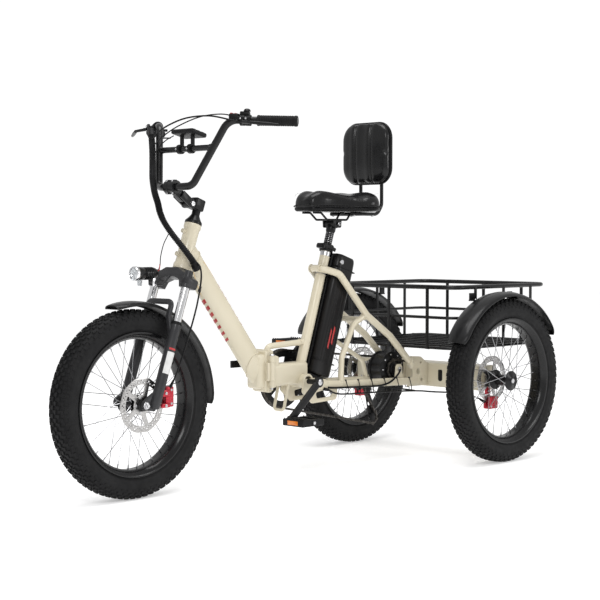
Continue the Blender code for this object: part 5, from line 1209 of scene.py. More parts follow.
def sprocket(shape, centre, y, tip, teeth, thickness=0.0018, holes=(), turn_by=0.0):
    """A toothed wheel cut from plate."""
    outline = []
    for i in range(teeth):
        for share, drop in ((-0.34, 0.0036), (-0.14, 0.0004), (0.0, 0.0), (0.14, 0.0004), (0.34, 0.0036)):
            a = math.tau * (i + share) / teeth + turn_by
            outline.append(((tip - drop) * math.cos(a), (tip - drop) * math.sin(a)))
    slab(shape, outline, thickness, Matrix.Translation((centre.x, y, centre.y)) @ SIDE_VIEW, holes,
         edge=0.0003)


cassette = bmesh.new()
for i, (tip, teeth) in enumerate(((0.0370, 18), (0.0362, 18), (0.0335, 16), (0.0310, 15), (0.0290, 14),
                                  (0.0270, 13),
                                  (0.0250, 12))):
    sprocket(cassette, COG, -0.0625 - i * 0.0038, tip, teeth, holes=[circle((0, 0), 0.0126, 24)],
             turn_by=i * 0.1)
lathe(cassette, [(0.0126, 0.0600), (0.0190, 0.0600), (0.0190, 0.0866), (0.0160, 0.0876), (0.0126, 0.0876)],
      Matrix.Translation((MOTOR.x, 0, MOTOR.z)) @ SIDE_VIEW, 40, closed=True)
CASSETTE_STEEL = surface("cassette_steel", (0.3, 0.29, 0.28), (0.16, 0.155, 0.15), 0.32, metallic=1.0,
                         mottle=60,
                         grain=1300, bump=0.06)
belongs(made("cassette_cogs", cassette, CASSETTE_STEEL), "cassette", "dark_steel", "cassette")

motor = bmesh.new()
motor_turn = Matrix.Translation(MOTOR) @ ALONG_Y
lathe(motor, [(0.0122, 0.0415), (0.0150, 0.0410), (0.0160, 0.0345), (0.0205, 0.0340), (0.0220, 0.0325),
              (0.0225, 0.0250), (0.0235, 0.0240), (0.0400, 0.0232), (0.0580, 0.0204), (0.0600, 0.0198),
              (0.0600, 0.0165), (0.0590, 0.0155),
              (0.0545, 0.0145), (0.0540, 0.0130), (0.0540, -0.0290), (0.0545, -0.0305), (0.0590, -0.0315),
              (0.0600, -0.0325), (0.0600, -0.0355), (0.0588, -0.0362), (0.0320, -0.0388), (0.0290, -0.0392),
              (0.0125, -0.0400), (0.0120, -0.0410), (0.0120, -0.0900), (0.0066, -0.0900), (0.0066, 0.0415)],
      motor_turn, 72, closed=True)
for height, facing in ((0.0182, 1), (-0.0340, -1)):
    hole_ring = bmesh.new()
    lathe(hole_ring, [(0.0, 0.0022), (0.0016, 0.0022), (0.0020, 0.0018), (0.0020, 0.0), (0.0, 0.0)],
          Matrix.Translation((0.0570, 0, height)), 8)
    round_axis(motor, hole_ring, 18, HUB_BLACK, motor_turn)
sprocket(motor, COG, AXLE_CHAIN_Y, 0.0318, 16)
belongs(made("motor_shell", motor, HUB_BLACK), "motor", "black_paint", "motor_hub")
motor_screws = bmesh.new()
screw = bmesh.new()
bolt(screw, (0.0500, 0, 0.0216), (0.16, 0, 1), 0.0030, 0.0018)
round_axis(motor_screws, screw, 9, STEEL, motor_turn)
belongs(made("motor_cover_screws", motor_screws, STEEL), "motor", "steel")

differential = bmesh.new()
diff_turn = Matrix.Translation((0, 0, 0.274)) @ ALONG_Y
lathe(differential, [(0.0, 0.0320), (0.0130, 0.0320), (0.0140, 0.0310), (0.0140, 0.0240), (0.0250, 0.0225),
                     (0.0260, 0.0160), (0.0260, -0.0240), (0.0250, -0.0260), (0.0140, -0.0280),
                     (0.0140, -0.0350),
                     (0.0130, -0.0360), (0.0, -0.0360)], diff_turn, 48)
sprocket(differential, AXLE_CENTRE, AXLE_CHAIN_Y, 0.0318, 16)
belongs(made("differential_case", differential, CASSETTE_STEEL), "differential", "steel", "differential")

derailleur = bmesh.new()
cage = rounded([(0.215, 0, 0.244), (0.190, 0, 0.180), (0.187, 0, 0.130), (0.200, 0, 0.116),
                (0.214, 0, 0.130),
                (0.234, 0, 0.226), (0.230, 0, 0.243), (0.215, 0, 0.244)], 0.012, 5)[1:-1]
window = circle((0.210, 0.180), 0.009, 16)
side_slab(derailleur, [(x, z) for x, _, z in cage], 0.0022, -0.0720, [window], edge=0.0005)
for centre in (GUIDE_PULLEY, TENSION_PULLEY):
    sprocket(derailleur, centre, CHAIN_LINE, 0.0172, 11, thickness=0.0030)
    lathe(derailleur, [(0.0, 0.0), (0.0060, 0.0), (0.0060, 0.0100), (0.0, 0.0100)],
          pointing((centre.x, -0.0740, centre.y), (centre.x, 0, centre.y)), 20)
arm = rounded([(0.212, 0, 0.2632), (0.203, 0, 0.2632), (0.210, 0, 0.240), (0.237, 0, 0.224),
               (0.252, 0, 0.240),
               (0.222, 0, 0.2635), (0.212, 0, 0.2632)], 0.006, 5)[1:-1]
side_slab(derailleur, [(x, z) for x, _, z in arm], 0.010, -0.0955, edge=0.0016)
bar(derailleur, [(0.233, -0.0960, 0.238), (0.233, -0.0700, 0.238)], 0.0078, 24)
belongs(made("derailleur_body", derailleur, BLACK_SATIN), "frame", "black_paint", "derailleur")


# The cranks and pedals: a cast chainring and two forged arms, painted black, on a steel spindle. The pedals
# are moulded cages with a toothed tread and amber reflectors front and back.

CRANK_LENGTH = 0.167
CRANK_ANGLE = math.radians(-41)


def crank_way(turn):
    return Vector((math.cos(CRANK_ANGLE + turn), 0, math.sin(CRANK_ANGLE + turn)))


cranks = bmesh.new()
steel_caps = bmesh.new()
for side, turn in ((1, 0.0), (-1, math.pi)):
    way = crank_way(turn)
    middle = BRACKET + Vector((0, side * 0.097, 0))
    arm_path = [middle + way * (CRANK_LENGTH * i / 10) for i in range(11)]
    sweep(cranks, arm_path, box_section(0.0130, 0.0240, 0.0042), up=way.cross(Vector((0, 1, 0))))
    for centre, radius in ((middle, 0.0170), (middle + way * CRANK_LENGTH, 0.0140)):
        lathe(cranks, [(0.0, -0.0070), (radius - 0.0012, -0.0070), (radius, -0.0058), (radius, 0.0058),
                       (radius - 0.0012, 0.0070), (0.0, 0.0070)], Matrix.Translation(centre) @ ALONG_Y, 36)
    bolt(steel_caps, middle + Vector((0, side * 0.0070, 0)), (0, side, 0), 0.0098, 0.0026)
    tip = BRACKET + way * CRANK_LENGTH
    bar(steel_caps, [tip + Vector((0, side * y, 0)) for y in (0.099, 0.150, 0.202)], 0.0049, 16)
bar(cranks, [BRACKET - Vector((0, 0.100, 0)), BRACKET + Vector((0, 0.100, 0))], 0.0085, 24)
windows = []
for i in range(5):
    middle_angle = math.tau * i / 5
    half = math.pi / 5 * 0.74
    outer = [(0.0720, middle_angle + half * t) for t in (-1, -0.66, -0.33, 0, 0.33, 0.66, 1)]
    inner = [(0.0300, middle_angle + half * t) for t in (0.7, 0, -0.7)]
    windows.append([(r * math.cos(a), r * math.sin(a)) for r, a in outer + inner])
sprocket(cranks, CHAINRING, CHAIN_LINE, 0.0915, 46, thickness=0.0032, holes=windows)
guard = [(0.0985 * math.cos(a), 0.0985 * math.sin(a)) for a in (math.tau * i / 96 for i in range(96))]
guard_hole = [(0.0850 * math.cos(a), 0.0850 * math.sin(a)) for a in (math.tau * i / 96 for i in range(96))]
side_turn = Matrix.Translation((CHAINRING.x, -0.0725, CHAINRING.y)) @ SIDE_VIEW
slab(cranks, guard, 0.0022, side_turn, [guard_hole])
for i in range(5):
    a = math.tau * (i + 0.5) / 5
    block(cranks, (0.074, 0.0030, 0.010), (0.048, 0, 0),
          Matrix.Translation((CHAINRING.x, -0.0715, CHAINRING.y))
          @ Matrix.Rotation(-a, 4, "Y"), bevel=0.001)
belongs(made("crank_arms_and_ring", cranks, BLACK_SATIN), "cranks", "black_paint", "crankset",
        "crank_arm_left")
belongs(made("crank_bolts_and_spindles", steel_caps, STEEL), "cranks", "steel")

PEDAL_BLACK = surface("pedal_black", (0.0101, 0.0101, 0.0105), (0.0059, 0.0059, 0.0063), 0.50, mottle=40,
                      grain=700, bump=0.2)
AMBER = surface("amber_reflector", (0.75, 0.22, 0.015), (0.60, 0.14, 0.008), 0.16, mottle=60, grain=330,
                bump=0.35,
                coat=0.6, cells=True)
for side, name, turn in ((1, "left", 0.0), (-1, "right", math.pi)):
    centre = BRACKET + crank_way(turn) * CRANK_LENGTH + Vector((0, side * 0.153, 0))
    pedal = bmesh.new()
    for x in (-0.0425, 0.0425):
        block(pedal, (0.0100, 0.088, 0.0210), centre + Vector((x, 0, 0)), bevel=0.0025)
    for y in (-0.0385, 0.0385):
        block(pedal, (0.092, 0.0115, 0.0210), centre + Vector((0, y, 0)), bevel=0.0025)
    block(pedal, (0.020, 0.086, 0.0190), centre, bevel=0.004)
    for y in (-0.0190, 0.0190):
        block(pedal, (0.086, 0.0060, 0.0150), centre + Vector((0, y, 0)), bevel=0.0015)
    tooth = bmesh.new()
    bmesh.ops.create_cone(tooth, cap_ends=True, segments=4, radius1=0.0034, radius2=0.0012, depth=0.0040)
    for x in (-0.0425, 0.0425):
        row = [centre + Vector((x, y, 0.0112)) for y in (-0.040, 0.040)]
        along_path(pedal, tooth.copy(), row, 9, PEDAL_BLACK, across=(1, 0, 0), cyclic=False)
    tooth.free()
    belongs(made(f"pedal_{name}_cage", pedal, PEDAL_BLACK), f"pedal_{name}", "black_plastic",
            f"pedal_{name}")
    reflectors = bmesh.new()
    for x in (-0.0474, 0.0474):
        block(reflectors, (0.0022, 0.044, 0.0130), centre + Vector((x * 0.994, 0, 0)), bevel=0.0008)
    belongs(made(f"pedal_{name}_reflectors", reflectors, AMBER), f"pedal_{name}", "black_plastic")


# The battery: a moulded case that slides on a rail behind the seat tube. Its sides are grooved lengthwise,
# its top has a handle, a charging cap and a key lock, and a foot holds its lower end. Plain red bars mark
# its side.

CASE_BLACK = surface("battery_case", (0.0084, 0.008, 0.008), (0.0055, 0.005, 0.005), 0.38, mottle=7,
                     grain=900,
                     bump=0.10, coat=0.15)
TRIM_BLACK = surface("trim_black", (0.005, 0.005, 0.0055), (0.0034, 0.0034, 0.0038), 0.30, mottle=20,
                     grain=900, bump=0.08)
RED_MARK = surface("red_mark", (0.42, 0.030, 0.030), (0.33, 0.020, 0.020), 0.40, mottle=30, grain=700,
                   bump=0.04)
battery = bmesh.new()
case_section = box_section(0.076, 0.088, 0.020, 6)
stations = [(0.036, 0.90), (0.038, 0.96), (0.043, 1.0), (0.400, 1.0), (0.424, 0.985), (0.434, 0.95),
            (0.439, 0.88)]
sweep(battery, [seat(-0.072, 0, s) for s, _ in stations], case_section, up=seat(1, 0, 0) - seat(0, 0, 0),
      scales=[k for _, k in stations])
for side in (1, -1):
    for ahead in (-0.048, -0.062, -0.084, -0.098):
        block(battery, (0.0050, 0.0020, 0.300), (ahead, side * 0.0380, 0.225), SEAT, bevel=0.0008)
belongs(made("battery_case", battery, CASE_BLACK), "battery", "black_plastic", "battery")
trim = bmesh.new()
block(trim, (0.0900, 0.0770, 0.0035), (-0.072, 0, 0.3960), SEAT, bevel=0.0012)
block(trim, (0.0900, 0.0770, 0.0035), (-0.072, 0, 0.0820), SEAT, bevel=0.0012)
bar(trim, [seat(*p) for p in rounded([(-0.052, 0, 0.436), (-0.052, 0, 0.4395), (-0.096, 0, 0.4395),
                                      (-0.096, 0, 0.436)],
                                     0.003)], 0.0060, 16)
belongs(made("battery_trim", trim, TRIM_BLACK), "battery", "black_plastic")
lock = bmesh.new()
lathe(lock, [(0.0, 0.0012), (0.0030, 0.0012), (0.0036, 0.0022), (0.0072, 0.0022), (0.0080, 0.0012),
             (0.0080, -0.002),
             (0.0, -0.002)], pointing(seat(-0.046, 0.0378, 0.4130), seat(-0.046, 1.0378, 0.4130)), 32)
block(lock, (0.0012, 0.0008, 0.0060), (-0.046, 0.0392, 0.4130), SEAT, bevel=0.0)
belongs(made("battery_lock", lock, STEEL), "battery", "steel")
marks = bmesh.new()
for i, (low, high) in enumerate(((0.125, 0.186), (0.140, 0.196))):
    ahead = -0.0655 - i * 0.0150
    slab(marks, [(ahead - 0.0042, low), (ahead + 0.0042, low + 0.008), (ahead + 0.0042, high + 0.008),
                 (ahead - 0.0042, high)], 0.0012, SEAT @ Matrix.Translation((0, 0.0384, 0)) @ SIDE_VIEW,
         edge=0.0002)
belongs(made("battery_marks", marks, RED_MARK), "battery", "black_plastic")
rail = bmesh.new()
block(rail, (0.0070, 0.0320, 0.380), (-0.0208, 0, 0.245), SEAT, bevel=0.0015)
block(rail, (0.0900, 0.0600, 0.0120), (-0.066, 0, 0.0270), SEAT, bevel=0.0030)
block(rail, (0.0500, 0.0420, 0.0160), (-0.046, 0, 0.0140), SEAT, bevel=0.0030)
belongs(made("battery_rail", rail, TRIM_BLACK), "frame", "black_plastic")


# The seatpost: a black anodised tube, held by a clamp with a quick-release lever at the top of the seat
# tube. A graduated band shows its height, and a silver sleeve lines the tube's mouth.

clamp = bmesh.new()
lathe(clamp, [(0.0173, 0.4338), (0.0218, 0.4338), (0.0225, 0.4348), (0.0225, 0.4566), (0.0216, 0.4576),
              (0.0144, 0.4578),
              (0.0144, 0.4542), (0.0173, 0.4542)], SEAT, 48, closed=True)
block(clamp, (0.0160, 0.0260, 0.0160), (0.028, 0, 0.4456), SEAT, bevel=0.0022)
belongs(made("seat_clamp_collar", clamp, BLACK_SATIN), "frame", "black_paint", "seat_clamp")
bands = bmesh.new()
lathe(bands, [(0.0165, 0.3560), (0.0170, 0.3562), (0.0170, 0.3778), (0.0165, 0.3780)], SEAT, 48, closed=True)
lathe(bands, [(0.0165, 0.4180), (0.0169, 0.4182), (0.0169, 0.4328), (0.0165, 0.4330)], SEAT, 48, closed=True)
bar(bands, [seat(0.030, -0.0150, 0.4456), seat(0.030, 0.0130, 0.4456)], 0.0032, 16)
bolt(bands, seat(0.030, -0.0130, 0.4456), (0, -1, 0), 0.0052, 0.0040, socket=False)
belongs(made("seat_tube_bands", bands, STEEL), "frame", "steel")
lever = bmesh.new()
bar(lever, [seat(0.030, 0.0195, 0.4386), seat(0.030, 0.0195, 0.4526)], 0.0060, 24)
sweep(lever, [seat(*p) for p in smooth([(0.034, 0.0240, 0.4456), (0.012, 0.0262, 0.4456),
                                        (-0.006, 0.0255, 0.4450),
                                         (-0.0150, 0.0262, 0.4440)], 5)],
      box_section(0.0120, 0.0058, 0.0022), up=(0, 1, 0))
belongs(made("seat_lever_blade", lever, BLACK_SATIN), "seat_clamp_lever", "black_paint", "seat_clamp_lever")
post = bmesh.new()
head = seat(0, 0, 0.530)
bar(post, [seat(0, 0, 0.250), seat(0, 0, 0.520)], 0.0136, 36)
bar(post, [head - Vector((0, 0.0200, 0)), head + Vector((0, 0.0200, 0))], 0.0145, 32)
lathe(post, [(0.0136, 0.5000), (0.0158, 0.5060), (0.0158, 0.5200), (0.0136, 0.5260)], SEAT, 40, closed=True)
bar(post, [head - Vector((0, 0.0360, 0)), head + Vector((0, 0.0360, 0))], 0.0042, 16)
belongs(made("seatpost_tube", post, BLACK_SATIN), "seatpost", "black_paint", "seatpost")
post_bolts = bmesh.new()
for side in (1, -1):
    bolt(post_bolts, head + Vector((0, side * 0.0320, 0)), (0, side, 0), 0.0062, 0.0040)
belongs(made("seatpost_bolts", post_bolts, STEEL), "seatpost", "steel")

# Graduation rings are lightly engraved round the part of the post that shows.

rings = bmesh.new()
for i in range(6):
    height = 0.466 + i * 0.006
    lathe(rings, [(0.0135, height), (0.01375, height + 0.0002), (0.01375, height + 0.0008),
                  (0.0135, height + 0.0010)],
          SEAT, 36, closed=True)
belongs(made("seatpost_rings", rings, STEEL), "seatpost", "steel")


# The saddle: a broad foam pad under glossy stitched vinyl, glued over a moulded pan and carried on two steel
# rails. A bent tube bolted to the rails holds up the backrest.

VINYL = surface("glossy_vinyl", (0.0063, 0.0063, 0.0067), (0.0038, 0.0038, 0.0042), 0.27, mottle=10,
                grain=420, bump=0.20,
                depth=0.0003, coat=0.30, cells=True)
PIPING = surface("piping", (0.0084, 0.0084, 0.0088), (0.005, 0.005, 0.0055), 0.36, mottle=30, grain=900,
                 bump=0.1)
SADDLE_BOTTOM = 0.838
saddle_stations = [
    (0.6165, 0.024, 0.872, 0.006), (0.609, 0.044, 0.891, 0.001), (0.580, 0.060, 0.905, 0.0),
    (0.535, 0.072, 0.903, 0.0), (0.490, 0.092, 0.894, 0.0), (0.445, 0.119, 0.892, 0.0),
    (0.405, 0.1325, 0.901, 0.0), (0.372, 0.124, 0.904, 0.0), (0.356, 0.092, 0.890, 0.004),
]
saddle_section = [(1.0, 0.14), (1.01, 0.45), (0.93, 0.80), (0.72, 0.985), (0.42, 1.02), (0.14, 0.955),
                  (0.0, 0.93),
                  (-0.14, 0.955), (-0.42, 1.02), (-0.72, 0.985), (-0.93, 0.80), (-1.01, 0.45), (-1.0, 0.14),
                  (-0.86, 0.0), (-0.4, 0.0), (0.0, 0.0), (0.4, 0.0), (0.86, 0.0)]


def loft(shape, stations, section, bottom):
    rows = []
    for x, half, top, lift in stations:
        base = bottom + lift
        rows.append([shape.verts.new((x, half * across, base + (top - base) * up)) for across,
                     up in section])
    for near, far in zip(rows, rows[1:]):
        for i in range(len(section)):
            j = (i + 1) % len(section)
            shape.faces.new((near[i], near[j], far[j], far[i]))
    for row in (rows[0], rows[-1]):
        centre = sum((vert.co for vert in row), Vector()) / len(row)
        pole = shape.verts.new(centre)
        for i in range(len(row)):
            shape.faces.new((row[i], row[(i + 1) % len(row)], pole))
    bmesh.ops.recalc_face_normals(shape, faces=shape.faces)
    return rows


def subdivided(obj, levels):
    modifier = obj.modifiers.new("round", "SUBSURF")
    modifier.levels = levels
    modifier.render_levels = levels
    graph = bpy.context.evaluated_depsgraph_get()
    mesh = bpy.data.meshes.new_from_object(obj.evaluated_get(graph))
    obj.modifiers.clear()
    obj.data = mesh
    mesh.shade_smooth()
    return obj


def smooth_stations(stations, steps):
    """Stations drawn through with a smooth line, so that a loft has more of them."""
    first = smooth([Vector(station[:3]) for station in stations], steps)
    lifts = smooth([Vector((station[3], 0, 0)) for station in stations], steps)
    return [(p.x, p.y, p.z, lift.x) for p, lift in zip(first, lifts)]


CLOTH_FRAMES = 20


def inflated(obj, pressure, cap, voxel=0.0045):
    """The foam swells its cover a little: a cloth run under pressure, with each point's travel capped."""
    copy = obj.copy()
    copy.data = obj.data.copy()
    bpy.context.scene.collection.objects.link(copy)
    remesh = copy.modifiers.new("remesh", "REMESH")
    remesh.mode = "VOXEL"
    remesh.voxel_size = voxel
    graph = bpy.context.evaluated_depsgraph_get()
    start = bpy.data.meshes.new_from_object(copy.evaluated_get(graph))
    copy.modifiers.clear()
    copy.data = start
    rest = [vert.co.copy() for vert in start.vertices]
    cloth = copy.modifiers.new("cloth", "CLOTH")
    cloth.settings.use_pressure = True
    cloth.settings.uniform_pressure_force = pressure
    cloth.settings.effector_weights.gravity = 0.0
    cloth.settings.tension_stiffness = 40
    cloth.settings.bending_stiffness = 4
    cloth.point_cache.frame_start = 1
    cloth.point_cache.frame_end = CLOTH_FRAMES
    scene = bpy.context.scene
    for number in range(1, CLOTH_FRAMES + 1):
        scene.frame_set(number)
    graph = bpy.context.evaluated_depsgraph_get()
    swollen = bpy.data.meshes.new_from_object(copy.evaluated_get(graph))
    for vert, home in zip(swollen.vertices, rest):
        move = vert.co - home
        if move.length > cap:
            vert.co = home + move.normalized() * cap
    scene.frame_set(1)
    copy.modifiers.clear()
    material = obj.data.materials[0]
    obj.data = swollen
    if not obj.data.materials:
        obj.data.materials.append(material)
    obj.data.materials[0] = material
    bpy.data.objects.remove(copy)
    subdivided(obj, 1)
    return obj


foam = bmesh.new()
inner = [(x, half - 0.003, top - 0.0035, lift + 0.001) for x, half, top,
         lift in smooth_stations(saddle_stations, 3)]
loft(foam, inner, saddle_section, SADDLE_BOTTOM + 0.004)
saddle = made("saddle_cover", foam, VINYL, crease=180)
subdivided(saddle, 1)
inflated(saddle, 4.0, 0.003)
saddle.data.shade_smooth()
belongs(saddle, "seat", "vinyl", "saddle")
pan = bmesh.new()
pan_section = [(0.97, 0.35), (0.985, 0.75), (0.95, 1.0), (0.4, 1.0), (-0.4, 1.0), (-0.95, 1.0),
               (-0.985, 0.75),
               (-0.97, 0.35), (-0.80, 0.0), (-0.3, 0.0), (0.3, 0.0), (0.80, 0.0)]
loft(pan, [(x * 0.985 + 0.0075, half * 0.985, 0.851, lift * 0.4) for x, half, top, lift in
           smooth_stations(saddle_stations, 3)], pan_section, SADDLE_BOTTOM)
belongs(made("saddle_pan", pan, TRIM_BLACK, crease=60), "seat", "black_plastic")
seam = [(x, half * 1.004, 0.8535 + lift) for x, half, top, lift in smooth_stations(saddle_stations, 4)]
piping = bmesh.new()
bar(piping, seam + mirrored(seam[::-1]), 0.0017, 10, cyclic=True)
belongs(made("saddle_piping", piping, PIPING), "seat", "vinyl")

stitch_path = [Vector((x, half * 0.90, SADDLE_BOTTOM + (top - SADDLE_BOTTOM) * 0.86 + 0.002))
               for x, half, top, lift in smooth_stations(saddle_stations, 4)][4:-4]
stitches = bmesh.new()
for line in (stitch_path, [Vector(p) for p in mirrored(stitch_path)]):
    stitch = bmesh.new()
    bmesh.ops.create_icosphere(stitch, subdivisions=1, radius=1.0)
    bmesh.ops.scale(stitch, vec=(0.0019, 0.0006, 0.0005), verts=stitch.verts)
    along_path(stitches, stitch, line, 64, PIPING, cyclic=False)
belongs(made("saddle_stitches", stitches, PIPING), "seat", "vinyl")

saddle_steel = bmesh.new()
RAIL_HIGH = SADDLE_BOTTOM - 0.0038
RAIL_LOW = RAIL_HIGH - 0.0225
for side in (1, -1):
    y = side * 0.024
    bar(saddle_steel, rounded([(0.588, y, RAIL_HIGH), (0.553, y, RAIL_HIGH), (0.525, y, RAIL_LOW),
                               (0.430, y, RAIL_LOW),
                               (0.412, y, RAIL_HIGH), (0.392, y, RAIL_HIGH)], 0.010), 0.0035, 16)
    cheek = [(head.x - 0.016, head.z - 0.010), (head.x - 0.012, head.z - 0.013),
             (head.x + 0.012, head.z - 0.013),
             (head.x + 0.016, head.z - 0.010), (head.x + 0.018, RAIL_LOW + 0.003),
             (head.x - 0.018, RAIL_LOW + 0.003)]
    side_slab(saddle_steel, cheek, 0.006, side * 0.0240)
for x in (0.515, 0.440):
    bar(saddle_steel, [(x, -0.024, RAIL_LOW), (x, 0.024, RAIL_LOW)], 0.003, 12)
belongs(made("saddle_rails", saddle_steel, BLACK_SATIN), "seat", "black_paint", "saddle_frame")

back_tube = bmesh.new()
low = SADDLE_BOTTOM - 0.0063
hoop_path = [(0.430, 0.047, low), (0.305, 0.047, low), (0.283, 0.047, low + 0.030), (0.283, 0.047, 1.090)]
for side in (1, -1):
    bar(back_tube, rounded([(x, side * y, z) for x, y, z in hoop_path], 0.030, 10), 0.006, 20)
bar(back_tube, [(0.375, -0.047, low), (0.375, 0.047, low)], 0.006, 16)
belongs(made("backrest_tubes", back_tube, BLACK_SATIN), "seat", "black_paint", "backrest_frame")

PAD_BACK = 0.2893
PAD_HALF, PAD_LOW, PAD_HIGH = 0.105, 0.930, 1.140


def rounded_square(half, low, high, corner, steps=14):
    """Points round an upright square with round corners, as (y, z)."""
    loop = []
    for i, (sy, sz) in enumerate(((1, 1), (-1, 1), (-1, -1), (1, -1))):
        centre_y = sy * (half - corner)
        centre_z = high - corner if sz > 0 else low + corner
        for k in range(steps + 1):
            a = math.radians(90 * (i + k / steps))
            loop.append((centre_y + corner * math.cos(a), centre_z + corner * math.sin(a)))
    return loop


def pad_shell(shape, outline, back, profile):
    """A crowned pad: rings of the outline drawn in by a share, each at its own height off the back."""
    middle_z = (PAD_LOW + PAD_HIGH) / 2
    rows = []
    for share, height in profile:
        rows.append([shape.verts.new((back + height, y * share, middle_z + (z - middle_z) * share))
                     for y, z in outline])
    for near, far in zip(rows, rows[1:]):
        for i in range(len(outline)):
            j = (i + 1) % len(outline)
            shape.faces.new((near[i], near[j], far[j], far[i]))
    for row in (rows[0], rows[-1]):
        pole = shape.verts.new(sum((vert.co for vert in row), Vector()) / len(row))
        for i in range(len(row)):
            shape.faces.new((row[i], row[(i + 1) % len(row)], pole))
    bmesh.ops.recalc_face_normals(shape, faces=shape.faces)


pad_outline = rounded_square(PAD_HALF - 0.003, PAD_LOW + 0.003, PAD_HIGH - 0.003, 0.052)
front_profile = [(math.sin(math.pi / 2 * t), 0.012 + 0.026 * math.cos(math.pi / 2 * t) ** 0.55)
                 for t in (0.06, 0.14, 0.22, 0.30, 0.38, 0.46, 0.54, 0.62, 0.70, 0.78, 0.85, 0.91, 0.96,
                           0.99)]
back_profile = [(1.0, 0.0110), (0.995, 0.0070), (0.975, 0.0040), (0.94, 0.0030)]
pad = bmesh.new()
pad_shell(pad, pad_outline, PAD_BACK, front_profile + back_profile)
cushion = made("backrest_cushion", pad, VINYL, crease=180)
inflated(cushion, 4.0, 0.003, voxel=0.0040)
CHANNEL = 0.0340
for vert in cushion.data.vertices:
    off = vert.co.x - (REAR_AXLE_X + PAD_BACK)
    if off > 0.012:
        near = min(abs(vert.co.y - CHANNEL), abs(vert.co.y + CHANNEL))
        depth = 0.0062 * math.exp(-(near / 0.0042) ** 2) - 0.0016 * math.exp(-((near - 0.014) / 0.010) ** 2)
        vert.co.x -= depth * min(1.0, (off - 0.012) / 0.012)
cushion.data.shade_smooth()
belongs(cushion, "seat", "vinyl", "backrest_pad")
back_shell = bmesh.new()
pad_shell(back_shell, rounded_square(PAD_HALF - 0.0005, PAD_LOW + 0.0005, PAD_HIGH - 0.0005, 0.0545),
          PAD_BACK,
          [(0.5, 0.0130), (0.985, 0.0130), (1.0, 0.0115), (1.0, 0.0060), (0.985, 0.0030), (0.95, 0.0012),
           (0.86, 0.0003),
           (0.5, 0.0)])
belongs(made("backrest_shell", back_shell, TRIM_BLACK, crease=60), "seat", "black_plastic")
back_bolts = bmesh.new()
for y in (-0.047, 0.047):
    for z in (1.000, 1.075):
        bolt(back_bolts, (0.2772, y, z), (-1, 0, 0), 0.0050, 0.0026)
for x in (0.420, 0.330):
    for y in (-0.047, 0.047):
        bolt(back_bolts, (x, y, low - 0.0055), (0, 0, -1), 0.0042, 0.0030)
belongs(made("backrest_bolts", back_bolts, STEEL), "seat", "steel")


# The front frame: an oval main tube brazed to the head tube, falling to the front half of the folding hinge.
# Two guide bosses stand on the head tube. The enamel carries plain slanted red bars and a pale line.

HEAD_LEAN = math.radians(19.3)
STEER_FOOT = Vector((WHEELBASE - 0.054 / math.cos(HEAD_LEAN), 0, AXLE_Z))
STEER = Matrix.Translation(STEER_FOOT) @ Matrix.Rotation(-HEAD_LEAN, 4, "Y")


def steer(rake, across, height):
    """A point given ahead of the steering axis, to the left of it, and along it."""
    return STEER @ Vector((rake, across, height))


front = bmesh.new()
tube_top = steer(0, 0, 0.462)
tube_foot = Vector((0.762, 0, 0.262))
tube_frame = pointing(tube_top, tube_foot)
tube_way = (tube_foot - tube_top).normalized()
oval = [(0.038 * math.cos(math.tau * i / 64), 0.025 * math.sin(math.tau * i / 64)) for i in range(64)]
stop_at = tube_top + tube_way * ((tube_top.x - 0.806) / -tube_way.x)
sweep(front, [tube_top, stop_at], oval, up=(0, 1, 0))
lathe(front, [(0.0166, 0.5500), (0.0255, 0.5500), (0.0262, 0.5492), (0.0262, 0.5385), (0.0235, 0.5325),
              (0.0235, 0.4300),
              (0.0268, 0.4225), (0.0268, 0.4088), (0.0260, 0.4080), (0.0166, 0.4080)], STEER, 56,
      closed=True)
hinge_half(front, 1)
block(front, (0.046, 0.054, 0.108), (0.8160, 0, 0.336), bevel=0.010, segments=4)
knuckle(front, 0.3063, 0.3637, 1)
for z in (0.338, 0.378):
    block(front, (0.014, 0.026, 0.0070), (0.803, -0.0345, z), bevel=0.0012)
for height in (0.520, 0.448):
    bar(front, [steer(0.015, 0, height), steer(0.034, 0, height)], 0.0050, 20)
    lathe(front, [(0.0030, 0.0), (0.0062, 0.0), (0.0068, 0.0012), (0.0068, 0.0050), (0.0030, 0.0050)],
          pointing(steer(0.0290, 0, height), steer(1, 0, height)), 24, closed=True)
angle_joint = [tube_frame @ Vector((0.0258 * math.cos(math.tau * i / 56),
                                    0.0388 * math.sin(math.tau * i / 56),
                                    0.030 + 0.004 * math.cos(math.tau * i / 28))) for i in range(56)]
bead(front, angle_joint, size=0.0020, spacing=0.0044)
foot_joint = [tube_frame @ Vector((0.0256 * math.cos(math.tau * i / 56),
                                   0.0386 * math.sin(math.tau * i / 56),
                                   (stop_at - tube_top).length - 0.046
                                   + 0.040 * math.cos(math.tau * i / 56)))
              for i in range(56)]
bead(front, foot_joint, size=0.0018, spacing=0.0044)
belongs(made("front_frame_tubes", front, CREAM), "front", "cream_paint", "front_frame")


